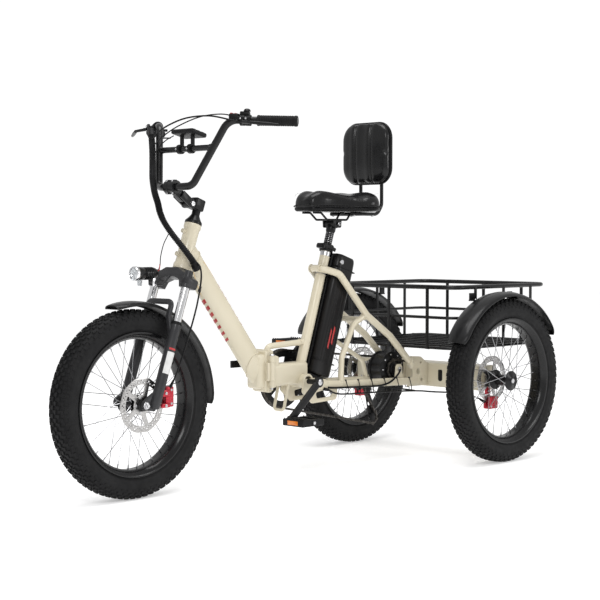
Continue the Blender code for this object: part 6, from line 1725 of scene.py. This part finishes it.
def tube_mark(name, corners, material, lift=0.0004):
    """A thin transfer on the main tube: corners are (distance down it, height across its side)."""
    shape = bmesh.new()
    for side in (1, -1):
        for quad in corners:
            (a0, b0), (a1, b1), (a2, b2), (a3, b3) = quad
            grid = []
            for i in range(9):
                row = []
                for j in range(5):
                    u, v = i / 8, j / 4
                    along = (a0 * (1 - u) + a1 * u) * (1 - v) + (a3 * (1 - u) + a2 * u) * v
                    across = (b0 * (1 - u) + b1 * u) * (1 - v) + (b3 * (1 - u) + b2 * u) * v
                    lean = math.asin(max(-1.0, min(1.0, across / 0.025)))
                    row.append([tube_frame @ Vector(((0.025 + k) * math.sin(lean),
                                                     side * (0.038 + k) * math.cos(lean), along))
                                for k in (-0.0006, lift)])
                grid.append(row)
            layers = [[[shape.verts.new(cell[k]) for cell in row] for row in grid] for k in (0, 1)]
            new = []
            for k in (0, 1):
                for i in range(8):
                    for j in range(4):
                        new.append(shape.faces.new((layers[k][i][j], layers[k][i + 1][j],
                                                    layers[k][i + 1][j + 1],
                                                    layers[k][i][j + 1])))
            rim_verts = ([(i, 0) for i in range(9)] + [(8, j) for j in range(1, 5)]
                         + [(i, 4) for i in range(7, -1, -1)] + [(0, j) for j in range(3, 0, -1)])
            for (i, j), (m, n) in zip(rim_verts, rim_verts[1:] + rim_verts[:1]):
                new.append(shape.faces.new((layers[0][i][j], layers[0][m][n], layers[1][m][n],
                                            layers[1][i][j])))
            bmesh.ops.recalc_face_normals(shape, faces=new)
    belongs(made(name, shape, material), "front", "cream_paint")


slants = []
for i in range(7):
    start = 0.150 + i * 0.0255
    wide = 0.0150 - 0.0009 * i
    slants.append(((start, -0.0100), (start + wide, -0.0100), (start + wide + 0.0110, 0.0100),
                   (start + 0.0110, 0.0100)))
tube_mark("tube_slanted_bars", slants, RED_MARK)
AMBER_PAINT = surface("amber_paint", (0.70, 0.42, 0.10), (0.62, 0.36, 0.08), 0.4, mottle=30, grain=700,
                      bump=0.04)
tube_mark("tube_pale_line", [((0.052, -0.0190), (0.058, -0.0190), (0.142, -0.0070), (0.136, -0.0070))],
          AMBER_PAINT)

hinge_steel = bmesh.new()
lathe(hinge_steel, [(0.0, 0.2785), (0.0042, 0.2790), (0.0042, 0.3850), (0.0078, 0.3852), (0.0080, 0.3858),
                    (0.0080, 0.3890), (0.0070, 0.3902), (0.0, 0.3902)],
      Matrix.Translation((0.792, 0.041, 0)), 32)
belongs(made("hinge_pin_steel", hinge_steel, STEEL), "front", "steel", "hinge_pin")
latch = bmesh.new()
bar(latch, [(0.803, -0.0415, 0.342), (0.803, -0.0415, 0.374)], 0.0070, 28)
sweep(latch, smooth([(0.800, -0.0455, 0.358), (0.825, -0.0478, 0.358), (0.860, -0.0475, 0.358),
                     (0.8830, -0.0490, 0.358)], 6),
      box_section(0.0225, 0.0078, 0.0030), up=(0, 1, 0))
belongs(made("latch_handle", latch, TRIM_BLACK), "latch_lever", "black_plastic", "latch_lever")


# The fork: a forged crown on a steel steerer with two chromed stanchions, painted satin grey-black. The cast
# lowers slide on them, joined by an arch behind the wheel, with a wiper lip at the top of each leg.

FORK_GREY = surface("fork_grey", (0.040, 0.040, 0.042), (0.030, 0.030, 0.032), 0.36, metallic=0.25,
                    mottle=10,
                    grain=600, bump=0.10, coat=0.15)
CHROME = surface("chrome", (0.8, 0.8, 0.81), (0.7, 0.7, 0.71), 0.08, metallic=1.0, mottle=30, grain=1200,
                 bump=0.02, spread=0.03)
WIPER = surface("wiper_rubber", (0.0076, 0.0076, 0.008), (0.0046, 0.0046, 0.005), 0.6, mottle=40, grain=900)
LABEL = surface("pale_label", (0.66, 0.66, 0.65), (0.58, 0.58, 0.57), 0.45, mottle=40, grain=900, bump=0.05)
LEG_RAKE, LEG_SPREAD = 0.0245, 0.070
crown = bmesh.new()
half = rounded([(0.052, 0, 0.345), (0.089, 0, 0.345), (0.089, 0, 0.372), (0.060, 0, 0.388),
                (0.028, 0, 0.4045),
                (0.0, 0, 0.4045)], 0.010, 5)
inner_arch = rounded([(0.0, 0, 0.375), (0.020, 0, 0.375), (0.044, 0, 0.366), (0.052, 0, 0.345)], 0.008, 5)
right_half = [(p.x, p.z) for p in half]
arch_points = [(p.x, p.z) for p in inner_arch]
outline = (right_half + [(-x, z) for x, z in right_half[::-1][1:]] + [(-x, z) for x,
                                                                      z in arch_points[::-1][1:]]
           + arch_points[1:-1])
across = STEER @ Matrix.Translation((0.017, 0, 0)) @ Matrix(((0, 0, 1, 0), (1, 0, 0, 0), (0, 1, 0, 0),
                                                             (0, 0, 0, 1)))
slab(crown, outline, 0.041, across, edge=0.0035)
bar(crown, [steer(0, 0, 0.390), steer(0, 0, 0.549)], 0.0143, 32)
lathe(crown, [(0.0143, 0.4040), (0.0240, 0.4040), (0.0255, 0.4050), (0.0255, 0.4070), (0.0143, 0.4070)],
      STEER, 48,
      closed=True)
bar(crown, rounded([steer(0.030, 0, 0.388), (1.200, 0, 0.6165), (1.246, 0, 0.6165)], 0.012), 0.0030, 14)
belongs(made("fork_crown", crown, FORK_GREY), "steerer", "black_paint", "fork_upper")
caps = bmesh.new()
for side in (1, -1):
    v = side * LEG_SPREAD
    turn = STEER @ Matrix.Translation((LEG_RAKE + 0.002, v, 0))
    lathe(caps, [(0.0, 0.3950), (0.0050, 0.3950), (0.0058, 0.3962), (0.0108, 0.3962), (0.0125, 0.3945),
                 (0.0125, 0.3700), (0.0, 0.3690)], turn, 36)
    lathe(caps, [(0.0, 0.3440), (0.0165, 0.3440), (0.0175, 0.3450), (0.0175, 0.3560), (0.0, 0.3560)], turn,
          36)
belongs(made("fork_caps", caps, FORK_GREY), "steerer", "black_paint")
stanchions = bmesh.new()
for side in (1, -1):
    v = side * LEG_SPREAD
    bar(stanchions, [steer(LEG_RAKE, v, 0.112), steer(LEG_RAKE, v, 0.3455)], 0.0130, 36)
belongs(made("fork_stanchions", stanchions, CHROME), "steerer", "steel")

lowers = bmesh.new()
axle_height = (Vector((WHEELBASE, 0, AXLE_Z)) - STEER_FOOT).dot(steer(0, 0, 1) - STEER_FOOT)
for side in (1, -1):
    v = side * LEG_SPREAD
    turn = STEER @ Matrix.Translation((LEG_RAKE, v, 0))
    lathe(lowers, [(0.0, -0.0210), (0.0100, -0.0200), (0.0140, -0.0160), (0.0156, -0.0060), (0.0160, 0.0300),
                   (0.0162, 0.1700), (0.0160, 0.2000), (0.0166, 0.2050), (0.0168, 0.2290), (0.0160, 0.2330),
                   (0.0137, 0.2330),
                   (0.0137, 0.0600), (0.0, 0.0600)], turn, 44)
    inner = side * (0.056 + 0.0073)
    drop = rounded([(0.026, 0, 0.030), (LEG_RAKE + 0.014, 0, 0.024), (0.068, 0, axle_height + 0.006),
                    (0.062, 0, axle_height - 0.014), (LEG_RAKE - 0.008, 0, axle_height - 0.008),
                    (0.010, 0, 0.014),
                    (0.026, 0, 0.030)], 0.008, 4)[1:-1]
    slab(lowers, [(p.x, p.z) for p in drop], 0.0114, STEER @ Matrix.Translation((0, inner, 0)) @ SIDE_VIEW,
         edge=0.0016)
arch_left = [steer(0.034, 0.066, 0.205), steer(0.046, 0.053, 0.250), steer(0.046, 0.053, 0.295)]
arch_right = [steer(0.046, -0.053, 0.295), steer(0.046, -0.053, 0.250), steer(0.034, -0.066, 0.205)]
sweep(lowers, rounded(arch_left + arch_right, 0.016, 6), box_section(0.0165, 0.0120, 0.0045),
      up=steer(1, 0, 0) - steer(0, 0, 0))
belongs(made("fork_lower_castings", lowers, FORK_GREY), "fork", "black_paint", "fork_lowers")
wipers = bmesh.new()
for side in (1, -1):
    turn = STEER @ Matrix.Translation((LEG_RAKE, side * LEG_SPREAD, 0))
    lathe(wipers, [(0.0134, 0.2320), (0.0166, 0.2320), (0.0170, 0.2335), (0.0166, 0.2362), (0.0150, 0.2385),
                   (0.0146, 0.2410), (0.0134, 0.2412)], turn, 40, closed=True)
belongs(made("fork_wipers", wipers, WIPER), "fork", "black_plastic")
axle_nuts = bmesh.new()
for side in (1, -1):
    base = (WHEELBASE, side * 0.0690, AXLE_Z)
    lathe(axle_nuts, [(0.0, 0.0110), (0.0045, 0.0110), (0.0050, 0.0100), (0.0050, 0.0070), (0.0070, 0.0070),
                      (0.0085, 0.0062), (0.0085, 0.0), (0.0, 0.0)],
          pointing(base, (WHEELBASE, side, AXLE_Z)), 6)
    lathe(axle_nuts, [(0.0, 0.0016), (0.0100, 0.0016), (0.0106, 0.0010), (0.0106, -0.0005), (0.0, -0.0005)],
          pointing(base, (WHEELBASE, side, AXLE_Z)), 32)
bar(axle_nuts, [(WHEELBASE, -0.069, AXLE_Z), (WHEELBASE, 0.069, AXLE_Z)], 0.0048, 20)
belongs(made("front_axle_and_nuts", axle_nuts, STEEL), "fork", "steel")


def leg_label(name, low, high, material, reach=0.9):
    """A thin wrapped label on the outer side of the left leg."""
    shape = bmesh.new()
    turn = STEER @ Matrix.Translation((LEG_RAKE, LEG_SPREAD, 0))
    columns = []
    for i in range(13):
        a = math.radians(90) + reach * (i / 6 - 1)
        columns.append([shape.verts.new(turn @ Vector((r * math.cos(a), r * math.sin(a), h)))
                        for r, h in ((0.0158, low), (0.01665, low), (0.01665, high), (0.0158, high))])
    for near, far in zip(columns, columns[1:]):
        for j in range(4):
            k = (j + 1) % 4
            shape.faces.new((near[j], near[k], far[k], far[j]))
    shape.faces.new(columns[0])
    shape.faces.new(columns[-1][::-1])
    bmesh.ops.recalc_face_normals(shape, faces=shape.faces)
    belongs(made(name, shape, material), "fork", "black_plastic")


leg_label("leg_label", 0.085, 0.150, LABEL)
leg_label("leg_label_bar", 0.156, 0.162, RED_MARK, reach=0.8)

# The headlight: a finned black barrel with a chromed bezel, a bright reflector and a clear ribbed lens, on a
# sprung steel arm. A clear reflector hangs below its front.

LAMP_BLACK = surface("lamp_black", (0.0076, 0.0076, 0.008), (0.0046, 0.0046, 0.005), 0.30, mottle=20,
                     grain=900, coat=0.25)
CLEAR = bpy.data.materials.new("clear_lens")
CLEAR.use_nodes = True
clear_shader = CLEAR.node_tree.nodes["Principled BSDF"]
clear_shader.inputs["Base Color"].default_value = (0.93, 0.95, 0.96, 1)
clear_shader.inputs["Roughness"].default_value = 0.06
clear_shader.inputs["Transmission Weight"].default_value = 0.85
clear_shader.inputs["IOR"].default_value = 1.45
lens_wave = CLEAR.node_tree.nodes.new("ShaderNodeTexVoronoi")
lens_wave.inputs["Scale"].default_value = 220
lens_place = CLEAR.node_tree.nodes.new("ShaderNodeTexCoord")
lens_bump = CLEAR.node_tree.nodes.new("ShaderNodeBump")
lens_bump.inputs["Strength"].default_value = 0.4
lens_bump.inputs["Distance"].default_value = 0.0006
CLEAR.node_tree.links.new(lens_place.outputs["Object"], lens_wave.inputs["Vector"])
CLEAR.node_tree.links.new(lens_wave.outputs["Distance"], lens_bump.inputs["Height"])
CLEAR.node_tree.links.new(lens_bump.outputs["Normal"], clear_shader.inputs["Normal"])
LAMP_PIVOT = Vector((1.240, 0, 0.6262))
lamp_turn = Matrix.Translation((1.222, 0, 0.650)) @ Matrix.Rotation(math.pi / 2, 4, "Y")
lamp = bmesh.new()
barrel = [(0.0, 0.0), (0.0080, 0.0005), (0.0120, 0.0040), (0.0165, 0.0120), (0.0185, 0.0200)]
for i in range(5):
    start = 0.0230 + i * 0.0062
    barrel += [(0.0188, start), (0.0188, start + 0.0022), (0.0172, start + 0.0026), (0.0172, start + 0.0056)]
barrel += [(0.0190, 0.0560), (0.0196, 0.0700), (0.0205, 0.0760), (0.0205, 0.0800), (0.0170, 0.0800),
           (0.0120, 0.0680), (0.0, 0.0660)]
lathe(lamp, barrel, lamp_turn, 56)
block(lamp, (0.010, 0.012, 0.018), LAMP_PIVOT + Vector((0, 0, 0.010)), bevel=0.002)
bar(lamp, [LAMP_PIVOT - Vector((0, 0.009, 0)), LAMP_PIVOT + Vector((0, 0.009, 0))], 0.0060, 24)
belongs(made("headlight_barrel", lamp, LAMP_BLACK), "headlight", "black_plastic", "headlight")
bezel = bmesh.new()
lathe(bezel, [(0.0172, 0.0795), (0.0205, 0.0780), (0.0213, 0.0795), (0.0215, 0.0860), (0.0205, 0.0886),
              (0.0190, 0.0888),
              (0.0185, 0.0870), (0.0165, 0.0830), (0.0110, 0.0740), (0.0050, 0.0705), (0.0, 0.0700),
              (0.0, 0.0690),
              (0.0120, 0.0715)], lamp_turn, 56)
bar(bezel, [LAMP_PIVOT - Vector((0, 0.0125, 0)), LAMP_PIVOT + Vector((0, 0.0125, 0))], 0.0026, 16)
for side in (1, -1):
    block(bezel, (0.0140, 0.0014, 0.0240), LAMP_PIVOT + Vector((0, side * 0.0102, -0.0020)), bevel=0.0005)
belongs(made("headlight_bezel", bezel, CHROME), "headlight", "steel")
lens = bmesh.new()
lathe(lens, [(0.0, 0.0888), (0.0080, 0.0884), (0.0150, 0.0868), (0.0184, 0.0850), (0.0184, 0.0836),
             (0.0150, 0.0850),
             (0.0080, 0.0866), (0.0, 0.0870)], lamp_turn, 48)
belongs(made("headlight_lens", lens, CLEAR), "headlight", "black_plastic")
reflector = bmesh.new()
block(reflector, (0.0018, 0.0190, 0.0200), (1.2885, 0, 0.6250), bevel=0.0008)
belongs(made("headlight_reflector", reflector, CLEAR), "headlight", "black_plastic")
hanger_plate = bmesh.new()
block(hanger_plate, (0.0012, 0.0210, 0.0260), (1.2868, 0, 0.6270), bevel=0.0005)
belongs(made("headlight_reflector_plate", hanger_plate, CHROME), "headlight", "steel")
red_lead = bmesh.new()
bar(red_lead, smooth([(1.2215, 0.0010, 0.6540), (1.2170, 0.0030, 0.6600), (1.2150, 0.0040, 0.6680),
                      (1.2148, 0.0034, 0.6760)], 4),
    0.0013, 10)
RED_WIRE = surface("red_wire", (0.45, 0.02, 0.02), (0.36, 0.01, 0.01), 0.4, mottle=40, grain=900)
belongs(made("headlight_red_wire", red_lead, RED_WIRE), "headlight", "cable")


# The stem: a quill head with a tapered cover, and an arm that tilts on a steel bolt between its cheeks and
# grips the handlebar in a four-bolt clamp. Cast aluminium, painted satin black.

STEM_PIVOT = steer(0.037, 0, 0.6025)
BAR_CLAMP = Vector((1.163, 0, 0.903))
base = bmesh.new()
lathe(base, [(0.0, 0.6040), (0.0118, 0.6040), (0.0125, 0.6030), (0.0125, 0.5800), (0.0150, 0.5745),
             (0.0200, 0.5660),
             (0.0255, 0.5590), (0.0262, 0.5570), (0.0262, 0.5510), (0.0255, 0.5503), (0.0, 0.5503)], STEER,
      56)
block(base, (0.038, 0.030, 0.036), (0.003, 0, 0.612), STEER, bevel=0.0050, segments=4)
block(base, (0.030, 0.0198, 0.022), (0.024, 0, 0.6025), STEER, bevel=0.0020)
bar(base, [STEM_PIVOT - Vector((0, 0.0098, 0)), STEM_PIVOT + Vector((0, 0.0098, 0))], 0.0130, 36)
belongs(made("stem_quill", base, BLACK_SATIN), "steerer", "black_paint", "stem_base")
arm = bmesh.new()
along = BAR_CLAMP - STEM_PIVOT
arm_turn = Matrix.Translation(STEM_PIVOT) @ Matrix.Rotation(-math.atan2(along.z, along.x), 4, "Y")
reach = along.length
block(arm, (reach - 0.026, 0.026, 0.026), ((reach + 0.018) / 2, 0, 0), arm_turn, bevel=0.006, segments=4)
for side in (1, -1):
    y = side * 0.0152
    lathe(arm, [(0.0, -0.0045), (0.0120, -0.0045), (0.0130, -0.0036), (0.0130, 0.0036), (0.0120, 0.0045),
                (0.0, 0.0045)],
          Matrix.Translation(STEM_PIVOT + Vector((0, y, 0))) @ ALONG_Y, 40)
    block(arm, (reach * 0.6, 0.0082, 0.0235), (reach * 0.3, y, 0), arm_turn, bevel=0.0020)
lathe(arm, [(0.0118, -0.022), (0.0185, -0.022), (0.0195, -0.0208), (0.0195, -0.0060), (0.0180, -0.0050),
            (0.0180, 0.0050),
            (0.0195, 0.0060), (0.0195, 0.0208), (0.0185, 0.022), (0.0118, 0.022)],
      Matrix.Translation(BAR_CLAMP) @ ALONG_Y, 48, closed=True)
for side in (1, -1):
    block(arm, (0.0130, 0.0140, 0.0430), BAR_CLAMP + Vector((0.0030, side * 0.0130, 0)), bevel=0.002)
belongs(made("stem_arm_casting", arm, BLACK_SATIN), "bars", "black_paint", "stem_arm")
stem_bolts = bmesh.new()
for side in (1, -1):
    bolt(stem_bolts, STEM_PIVOT + Vector((0, side * 0.0196, 0)), (0, side, 0), 0.0072, 0.0040)
    for z in (0.0215, -0.0215):
        bolt(stem_bolts, BAR_CLAMP + Vector((0.0090, side * 0.0130, z * 0.80)), (1, 0, 0), 0.0038, 0.0034)
belongs(made("stem_bolts", stem_bolts, STEEL), "bars", "steel")


# The handlebar: one bent steel tube with a welded crossbar, painted black, with ribbed rubber grips. It
# carries brake levers, a bell and switch block on the left, the gear shifter on the right, and the display
# in the middle.

BAR_BLACK = surface("bar_black", (0.0067, 0.0067, 0.0071), (0.0046, 0.0046, 0.005), 0.28, mottle=12,
                    grain=700, bump=0.08,
                    coat=0.3)
LOW_BEND = Vector((1.150, 0.075, 0.905))
HIGH_BEND = Vector((1.080, 0.155, 1.096))
BAR_END = Vector((0.969, 0.330, 1.089))
left_bar = [BAR_END, HIGH_BEND, LOW_BEND, Vector((BAR_CLAMP.x, 0.040, BAR_CLAMP.z))]
handlebar = bmesh.new()
bar(handlebar, rounded(left_bar + [Vector(p) for p in mirrored(left_bar[::-1])], 0.045, 10), 0.0111, 32)
cross_share = (1.017 - LOW_BEND.z) / (HIGH_BEND.z - LOW_BEND.z)
cross = LOW_BEND.lerp(HIGH_BEND, cross_share)
bar(handlebar, [cross, Vector((cross.x, -cross.y, cross.z))], 0.0090, 28)
for side in (1, -1):
    weld_at = Vector((cross.x, side * (cross.y - 0.012), cross.z))
    lathe(handlebar, [(0.0088, -0.004), (0.0108, -0.001), (0.0112, 0.003), (0.0088, 0.005)],
          pointing(weld_at, weld_at + Vector((0, side, 0))), 32, closed=True)
belongs(made("handlebar_tube", handlebar, BAR_BLACK), "bars", "black_paint", "handlebar")


def bar_frame(side):
    """The frame of a handlebar end: X outwards along the grip from the high bend, Z up."""
    start = Vector((HIGH_BEND.x, side * HIGH_BEND.y, HIGH_BEND.z))
    end = Vector((BAR_END.x, side * BAR_END.y, BAR_END.z))
    outward = (end - start).normalized()
    back = Vector((0, 0, 1)).cross(outward).normalized()
    up = outward.cross(back)
    return Matrix.Translation(start) @ Matrix((outward, back, up)).transposed().to_4x4()


BAR_STRAIGHT = (BAR_END - HIGH_BEND).length
GRIP_START = BAR_STRAIGHT - 0.120
GRIP_RUBBER = surface("grip_rubber", (0.0092, 0.0092, 0.0097), (0.0055, 0.0055, 0.0059), 0.62, mottle=30,
                      grain=1000, bump=0.3)
CONTROL_BLACK = surface("control_black", (0.0092, 0.0092, 0.0097), (0.0055, 0.0055, 0.0059), 0.42, mottle=30,
                        grain=1100,
                        bump=0.15)
for side, name in ((1, "left"), (-1, "right")):
    turn = bar_frame(side)
    round_turn = turn @ Matrix.Rotation(math.pi / 2, 4, "Y")
    profile = [(0.0113, GRIP_START + 0.0005), (0.0158, GRIP_START + 0.0005), (0.0160, GRIP_START + 0.0015),
               (0.0160, GRIP_START + 0.0060), (0.0148, GRIP_START + 0.0075)]
    for i in range(15):
        start = GRIP_START + 0.0090 + i * 0.0066
        profile += [(0.0146, start), (0.0155, start + 0.0008), (0.0155, start + 0.0042),
                    (0.0146, start + 0.0050)]
    profile += [(0.0148, BAR_STRAIGHT - 0.0105), (0.0160, BAR_STRAIGHT - 0.0090),
                (0.0160, BAR_STRAIGHT - 0.0030),
                (0.0148, BAR_STRAIGHT - 0.0012), (0.0090, BAR_STRAIGHT - 0.0010),
                (0.0, BAR_STRAIGHT - 0.0020)]
    grip = bmesh.new()
    lathe(grip, profile, round_turn, 40)
    belongs(made(f"grip_{name}_rubber", grip, GRIP_RUBBER, crease=50), "bars", "grip", f"grip_{name}")
    ahead = -side
    housing = bmesh.new()
    lathe(housing, [(0.0118, 0.0360), (0.0156, 0.0360), (0.0165, 0.0370), (0.0165, 0.0500), (0.0158, 0.0510),
                    (0.0158, 0.0530), (0.0165, 0.0540), (0.0165, 0.0670), (0.0156, 0.0680),
                    (0.0118, 0.0680)],
          round_turn, 40, closed=True)
    block(housing, (0.0240, 0.0200, 0.0200), (0.052, ahead * 0.0200, -0.006), turn, bevel=0.0040)
    block(housing, (0.0380, 0.0090, 0.0110), (0.052, ahead * 0.0290, 0.003), turn, bevel=0.0030)
    bar(housing, [turn @ Vector(p) for p in ((0.048, ahead * 0.0230, -0.006),
                                             (0.030, ahead * 0.0235, -0.006))], 0.0058, 20)
    if side > 0:
        block(housing, (0.0265, 0.0260, 0.0120), (0.0485, -ahead * 0.004, 0.0195), turn, bevel=0.0030)
        block(housing, (0.0300, 0.0300, 0.0180), (0.0180, -ahead * 0.002, 0.0100), turn, bevel=0.0045)
    else:
        block(housing, (0.0280, 0.0340, 0.0160), (0.049, -ahead * 0.006, -0.022), turn, bevel=0.0045)
        bar(housing, [turn @ Vector(p) for p in ((0.049, 0.016, -0.0220), (0.026, 0.018, -0.0220))], 0.0060,
            20)
    belongs(made(f"{name}_control_block", housing, CONTROL_BLACK), "bars", "black_plastic",
            f"{name}_controls")
    small_bolts = bmesh.new()
    for x in (0.0440, 0.0600):
        bolt(small_bolts, turn @ Vector((x, ahead * 0.0332, 0.0030)), turn.to_3x3() @ Vector((0, ahead, 0)),
             0.0026, 0.0020)
    belongs(made(f"{name}_control_bolts", small_bolts, STEEL), "bars", "steel")
    blade = bmesh.new()
    points = rounded([(0.0520, ahead * 0.0380, -0.0075), (0.080, ahead * 0.063, -0.010),
                      (0.165, ahead * 0.064, -0.016)],
                     0.020, 10)
    line = smooth([turn @ p for p in points], 2)
    wide = [1.0 - 0.22 * math.sin(math.pi * min(1.0, i / (len(line) - 4))) for i in range(len(line))]
    wide[-2:] = [1.10, 0.85]
    sweep(blade, line, box_section(0.0104, 0.0094, 0.0042), up=turn.to_3x3() @ Vector((0, 0, 1)),
          scales=wide)
    pivot = turn @ Vector((0.052, ahead * 0.0375, -0.006))
    up = turn.to_3x3() @ Vector((0, 0, 1))
    bar(blade, [pivot - up * 0.0045, pivot + up * 0.0030], 0.0065, 24)
    belongs(made(f"brake_lever_{name}_blade", blade, BLACK_SATIN), f"brake_lever_{name}", "black_paint",
            f"brake_lever_{name}")
    pin = bmesh.new()
    bar(pin, [pivot - up * 0.0052, pivot + up * 0.0037], 0.0024, 16)
    belongs(made(f"brake_lever_{name}_pin", pin, STEEL), f"brake_lever_{name}", "steel")

turn = bar_frame(1)
bell_base = turn @ Vector((0.0555, 0, 0.0155))
bell_turn = Matrix.Translation(bell_base) @ turn.to_3x3().to_4x4()
bell = bmesh.new()
lathe(bell, [(0.0, 0.0185), (0.0045, 0.0182), (0.0078, 0.0166), (0.0100, 0.0135), (0.0105, 0.0105),
             (0.0100, 0.0098),
             (0.0, 0.0098)], bell_turn, 40)
belongs(made("bell_dome", bell, BAR_BLACK), "bars", "black_plastic")
switches = bmesh.new()
for x, y in ((0.010, 0.004), (0.020, 0.004), (0.010, -0.007)):
    lathe(switches, [(0.0, 0.0016), (0.0026, 0.0016), (0.0032, 0.0010), (0.0032, -0.0010), (0.0, -0.0010)],
          turn @ Matrix.Translation((x, y, 0.0192)), 24)
RED_BUTTON = surface("red_button", (0.50, 0.02, 0.02), (0.42, 0.012, 0.012), 0.35, mottle=60, grain=900)
belongs(made("switch_buttons", switches, RED_BUTTON), "bars", "black_plastic")

turn = bar_frame(-1)
round_turn = turn @ Matrix.Rotation(math.pi / 2, 4, "Y")
throttle_start = BAR_STRAIGHT - 0.130
throttle = bmesh.new()
lathe(throttle, [(0.0118, throttle_start), (0.0148, throttle_start), (0.0155, throttle_start + 0.0008),
                 (0.0155, throttle_start + 0.0087), (0.0148, throttle_start + 0.0095),
                 (0.0118, throttle_start + 0.0095)],
      round_turn, 36, closed=True)
block(throttle, (0.0088, 0.0240, 0.0080), (throttle_start + 0.0047, -0.0240, -0.0060), turn, bevel=0.0024)
belongs(made("throttle_paddle", throttle, CONTROL_BLACK), "throttle_lever", "black_plastic",
        "throttle_lever")
shift_pivot = turn @ Vector((0.049, -0.012, -0.0325))
down = turn.to_3x3() @ Vector((0, 0, 1))
shifter = bmesh.new()
bar(shifter, [shift_pivot - down * 0.0030, shift_pivot + down * 0.0020], 0.0070, 24)
block(shifter, (0.0080, 0.0300, 0.0040), (0.049, -0.026, -0.0330), turn, bevel=0.0016)
belongs(made("shift_paddle", shifter, CONTROL_BLACK), "shift_lever", "black_plastic", "shift_lever")

tilt = Matrix.Translation((cross.x - 0.012, 0, 1.063)) @ Matrix.Rotation(math.radians(-14), 4, "Y")
display = bmesh.new()
block(display, (0.0620, 0.0960, 0.0140), (0, 0, 0), tilt, bevel=0.0050, segments=4)
for y in (0.024, -0.024):
    lathe(display, [(0.0098, y + 0.007), (0.0140, y + 0.007), (0.0145, y + 0.0063), (0.0145, y - 0.0063),
                    (0.0140, y - 0.007), (0.0098, y - 0.007)],
          Matrix.Translation((cross.x, 0, 1.017)) @ ALONG_Y, 40, closed=True)
    block(display, (0.0100, 0.0100, 0.0320), (cross.x - 0.006, y, 1.0445), bevel=0.0020)
    block(display, (0.0120, 0.0130, 0.0100), (cross.x + 0.0120, y, 1.0170), bevel=0.0020)
belongs(made("display_case", display, CONTROL_BLACK), "bars", "black_plastic", "display")
GLASS_BLACK = surface("display_glass", (0.0025, 0.0029, 0.0034), (0.0021, 0.0021, 0.0025), 0.07, mottle=10,
                      grain=300,
                      bump=0.01, coat=0.6, spread=0.03)
screen = bmesh.new()
block(screen, (0.0440, 0.0660, 0.0012), (-0.002, 0, 0.0070), tilt, bevel=0.0005)
belongs(made("display_screen", screen, GLASS_BLACK), "bars", "black_plastic")
keys = bmesh.new()
for x in (-0.0160, 0.0, 0.0160):
    block(keys, (0.0090, 0.0060, 0.0022), (x, 0.0400, 0.0070), tilt, bevel=0.0009)
belongs(made("display_keys", keys, GRIP_RUBBER), "bars", "black_plastic")
display_bolts = bmesh.new()
for y in (0.024, -0.024):
    bolt(display_bolts, (cross.x + 0.0178, y, 1.0170), (1, 0, 0), 0.0030, 0.0020)
belongs(made("display_bolts", display_bolts, STEEL), "bars", "steel")


# The floor and light: a seamless white studio sweep, lit by a broad overhead panel, a large key from the
# left front and a pale sky all round.

floor_shape = bmesh.new()
bmesh.ops.create_grid(floor_shape, x_segments=1, y_segments=1, size=14.0)
bmesh.ops.translate(floor_shape, vec=(0, 0, -0.0005), verts=floor_shape.verts)
STUDIO_WHITE = bpy.data.materials.new("studio_white")
STUDIO_WHITE.use_nodes = True
floor_shader = STUDIO_WHITE.node_tree.nodes["Principled BSDF"]
floor_shader.inputs["Base Color"].default_value = (0.93, 0.93, 0.93, 1)
floor_shader.inputs["Roughness"].default_value = 0.85
floor_shader.inputs["Specular IOR Level"].default_value = 0.1
floor_shader.inputs["Emission Color"].default_value = (1.0, 1.0, 1.0, 1)
floor_shader.inputs["Emission Strength"].default_value = 0.37
floor = made("studio_floor", floor_shape, STUDIO_WHITE)

world = bpy.data.worlds.new("studio")
world.use_nodes = True
sky = world.node_tree.nodes["Background"]
sky.inputs["Color"].default_value = (1.0, 1.0, 1.0, 1)
seen = world.node_tree.nodes.new("ShaderNodeLightPath")
strength = world.node_tree.nodes.new("ShaderNodeMapRange")
strength.inputs["To Min"].default_value = 0.70
strength.inputs["To Max"].default_value = 1.05
world.node_tree.links.new(seen.outputs["Is Camera Ray"], strength.inputs["Value"])
world.node_tree.links.new(strength.outputs["Result"], sky.inputs["Strength"])
bpy.context.scene.world = world


def panel(name, at, aim, size, power, tint=(1, 1, 1)):
    """A square softbox standing at one point and facing another."""
    data = bpy.data.lights.new(name, "AREA")
    data.shape = "RECTANGLE"
    data.size, data.size_y = size
    data.energy = power
    data.color = tint
    lamp = bpy.data.objects.new(name, data)
    bpy.context.scene.collection.objects.link(lamp)
    lamp.location = at
    lamp.rotation_euler = (Vector(aim) - Vector(at)).to_track_quat("-Z", "Y").to_euler()


panel("overhead", (0.2, 0.3, 3.6), (0, 0, 0.4), (2.2, 1.6), 55)
panel("key", (2.6, 2.4, 2.6), (0, 0, 0.5), (1.2, 1.2), 34)
panel("side", (-1.8, 3.2, 1.6), (0, 0, 0.5), (0.8, 1.6), 22)
bpy.context.scene.view_settings.view_transform = "Standard"
bpy.context.scene.view_settings.look = "None"
bpy.context.scene.view_settings.exposure = 0.0
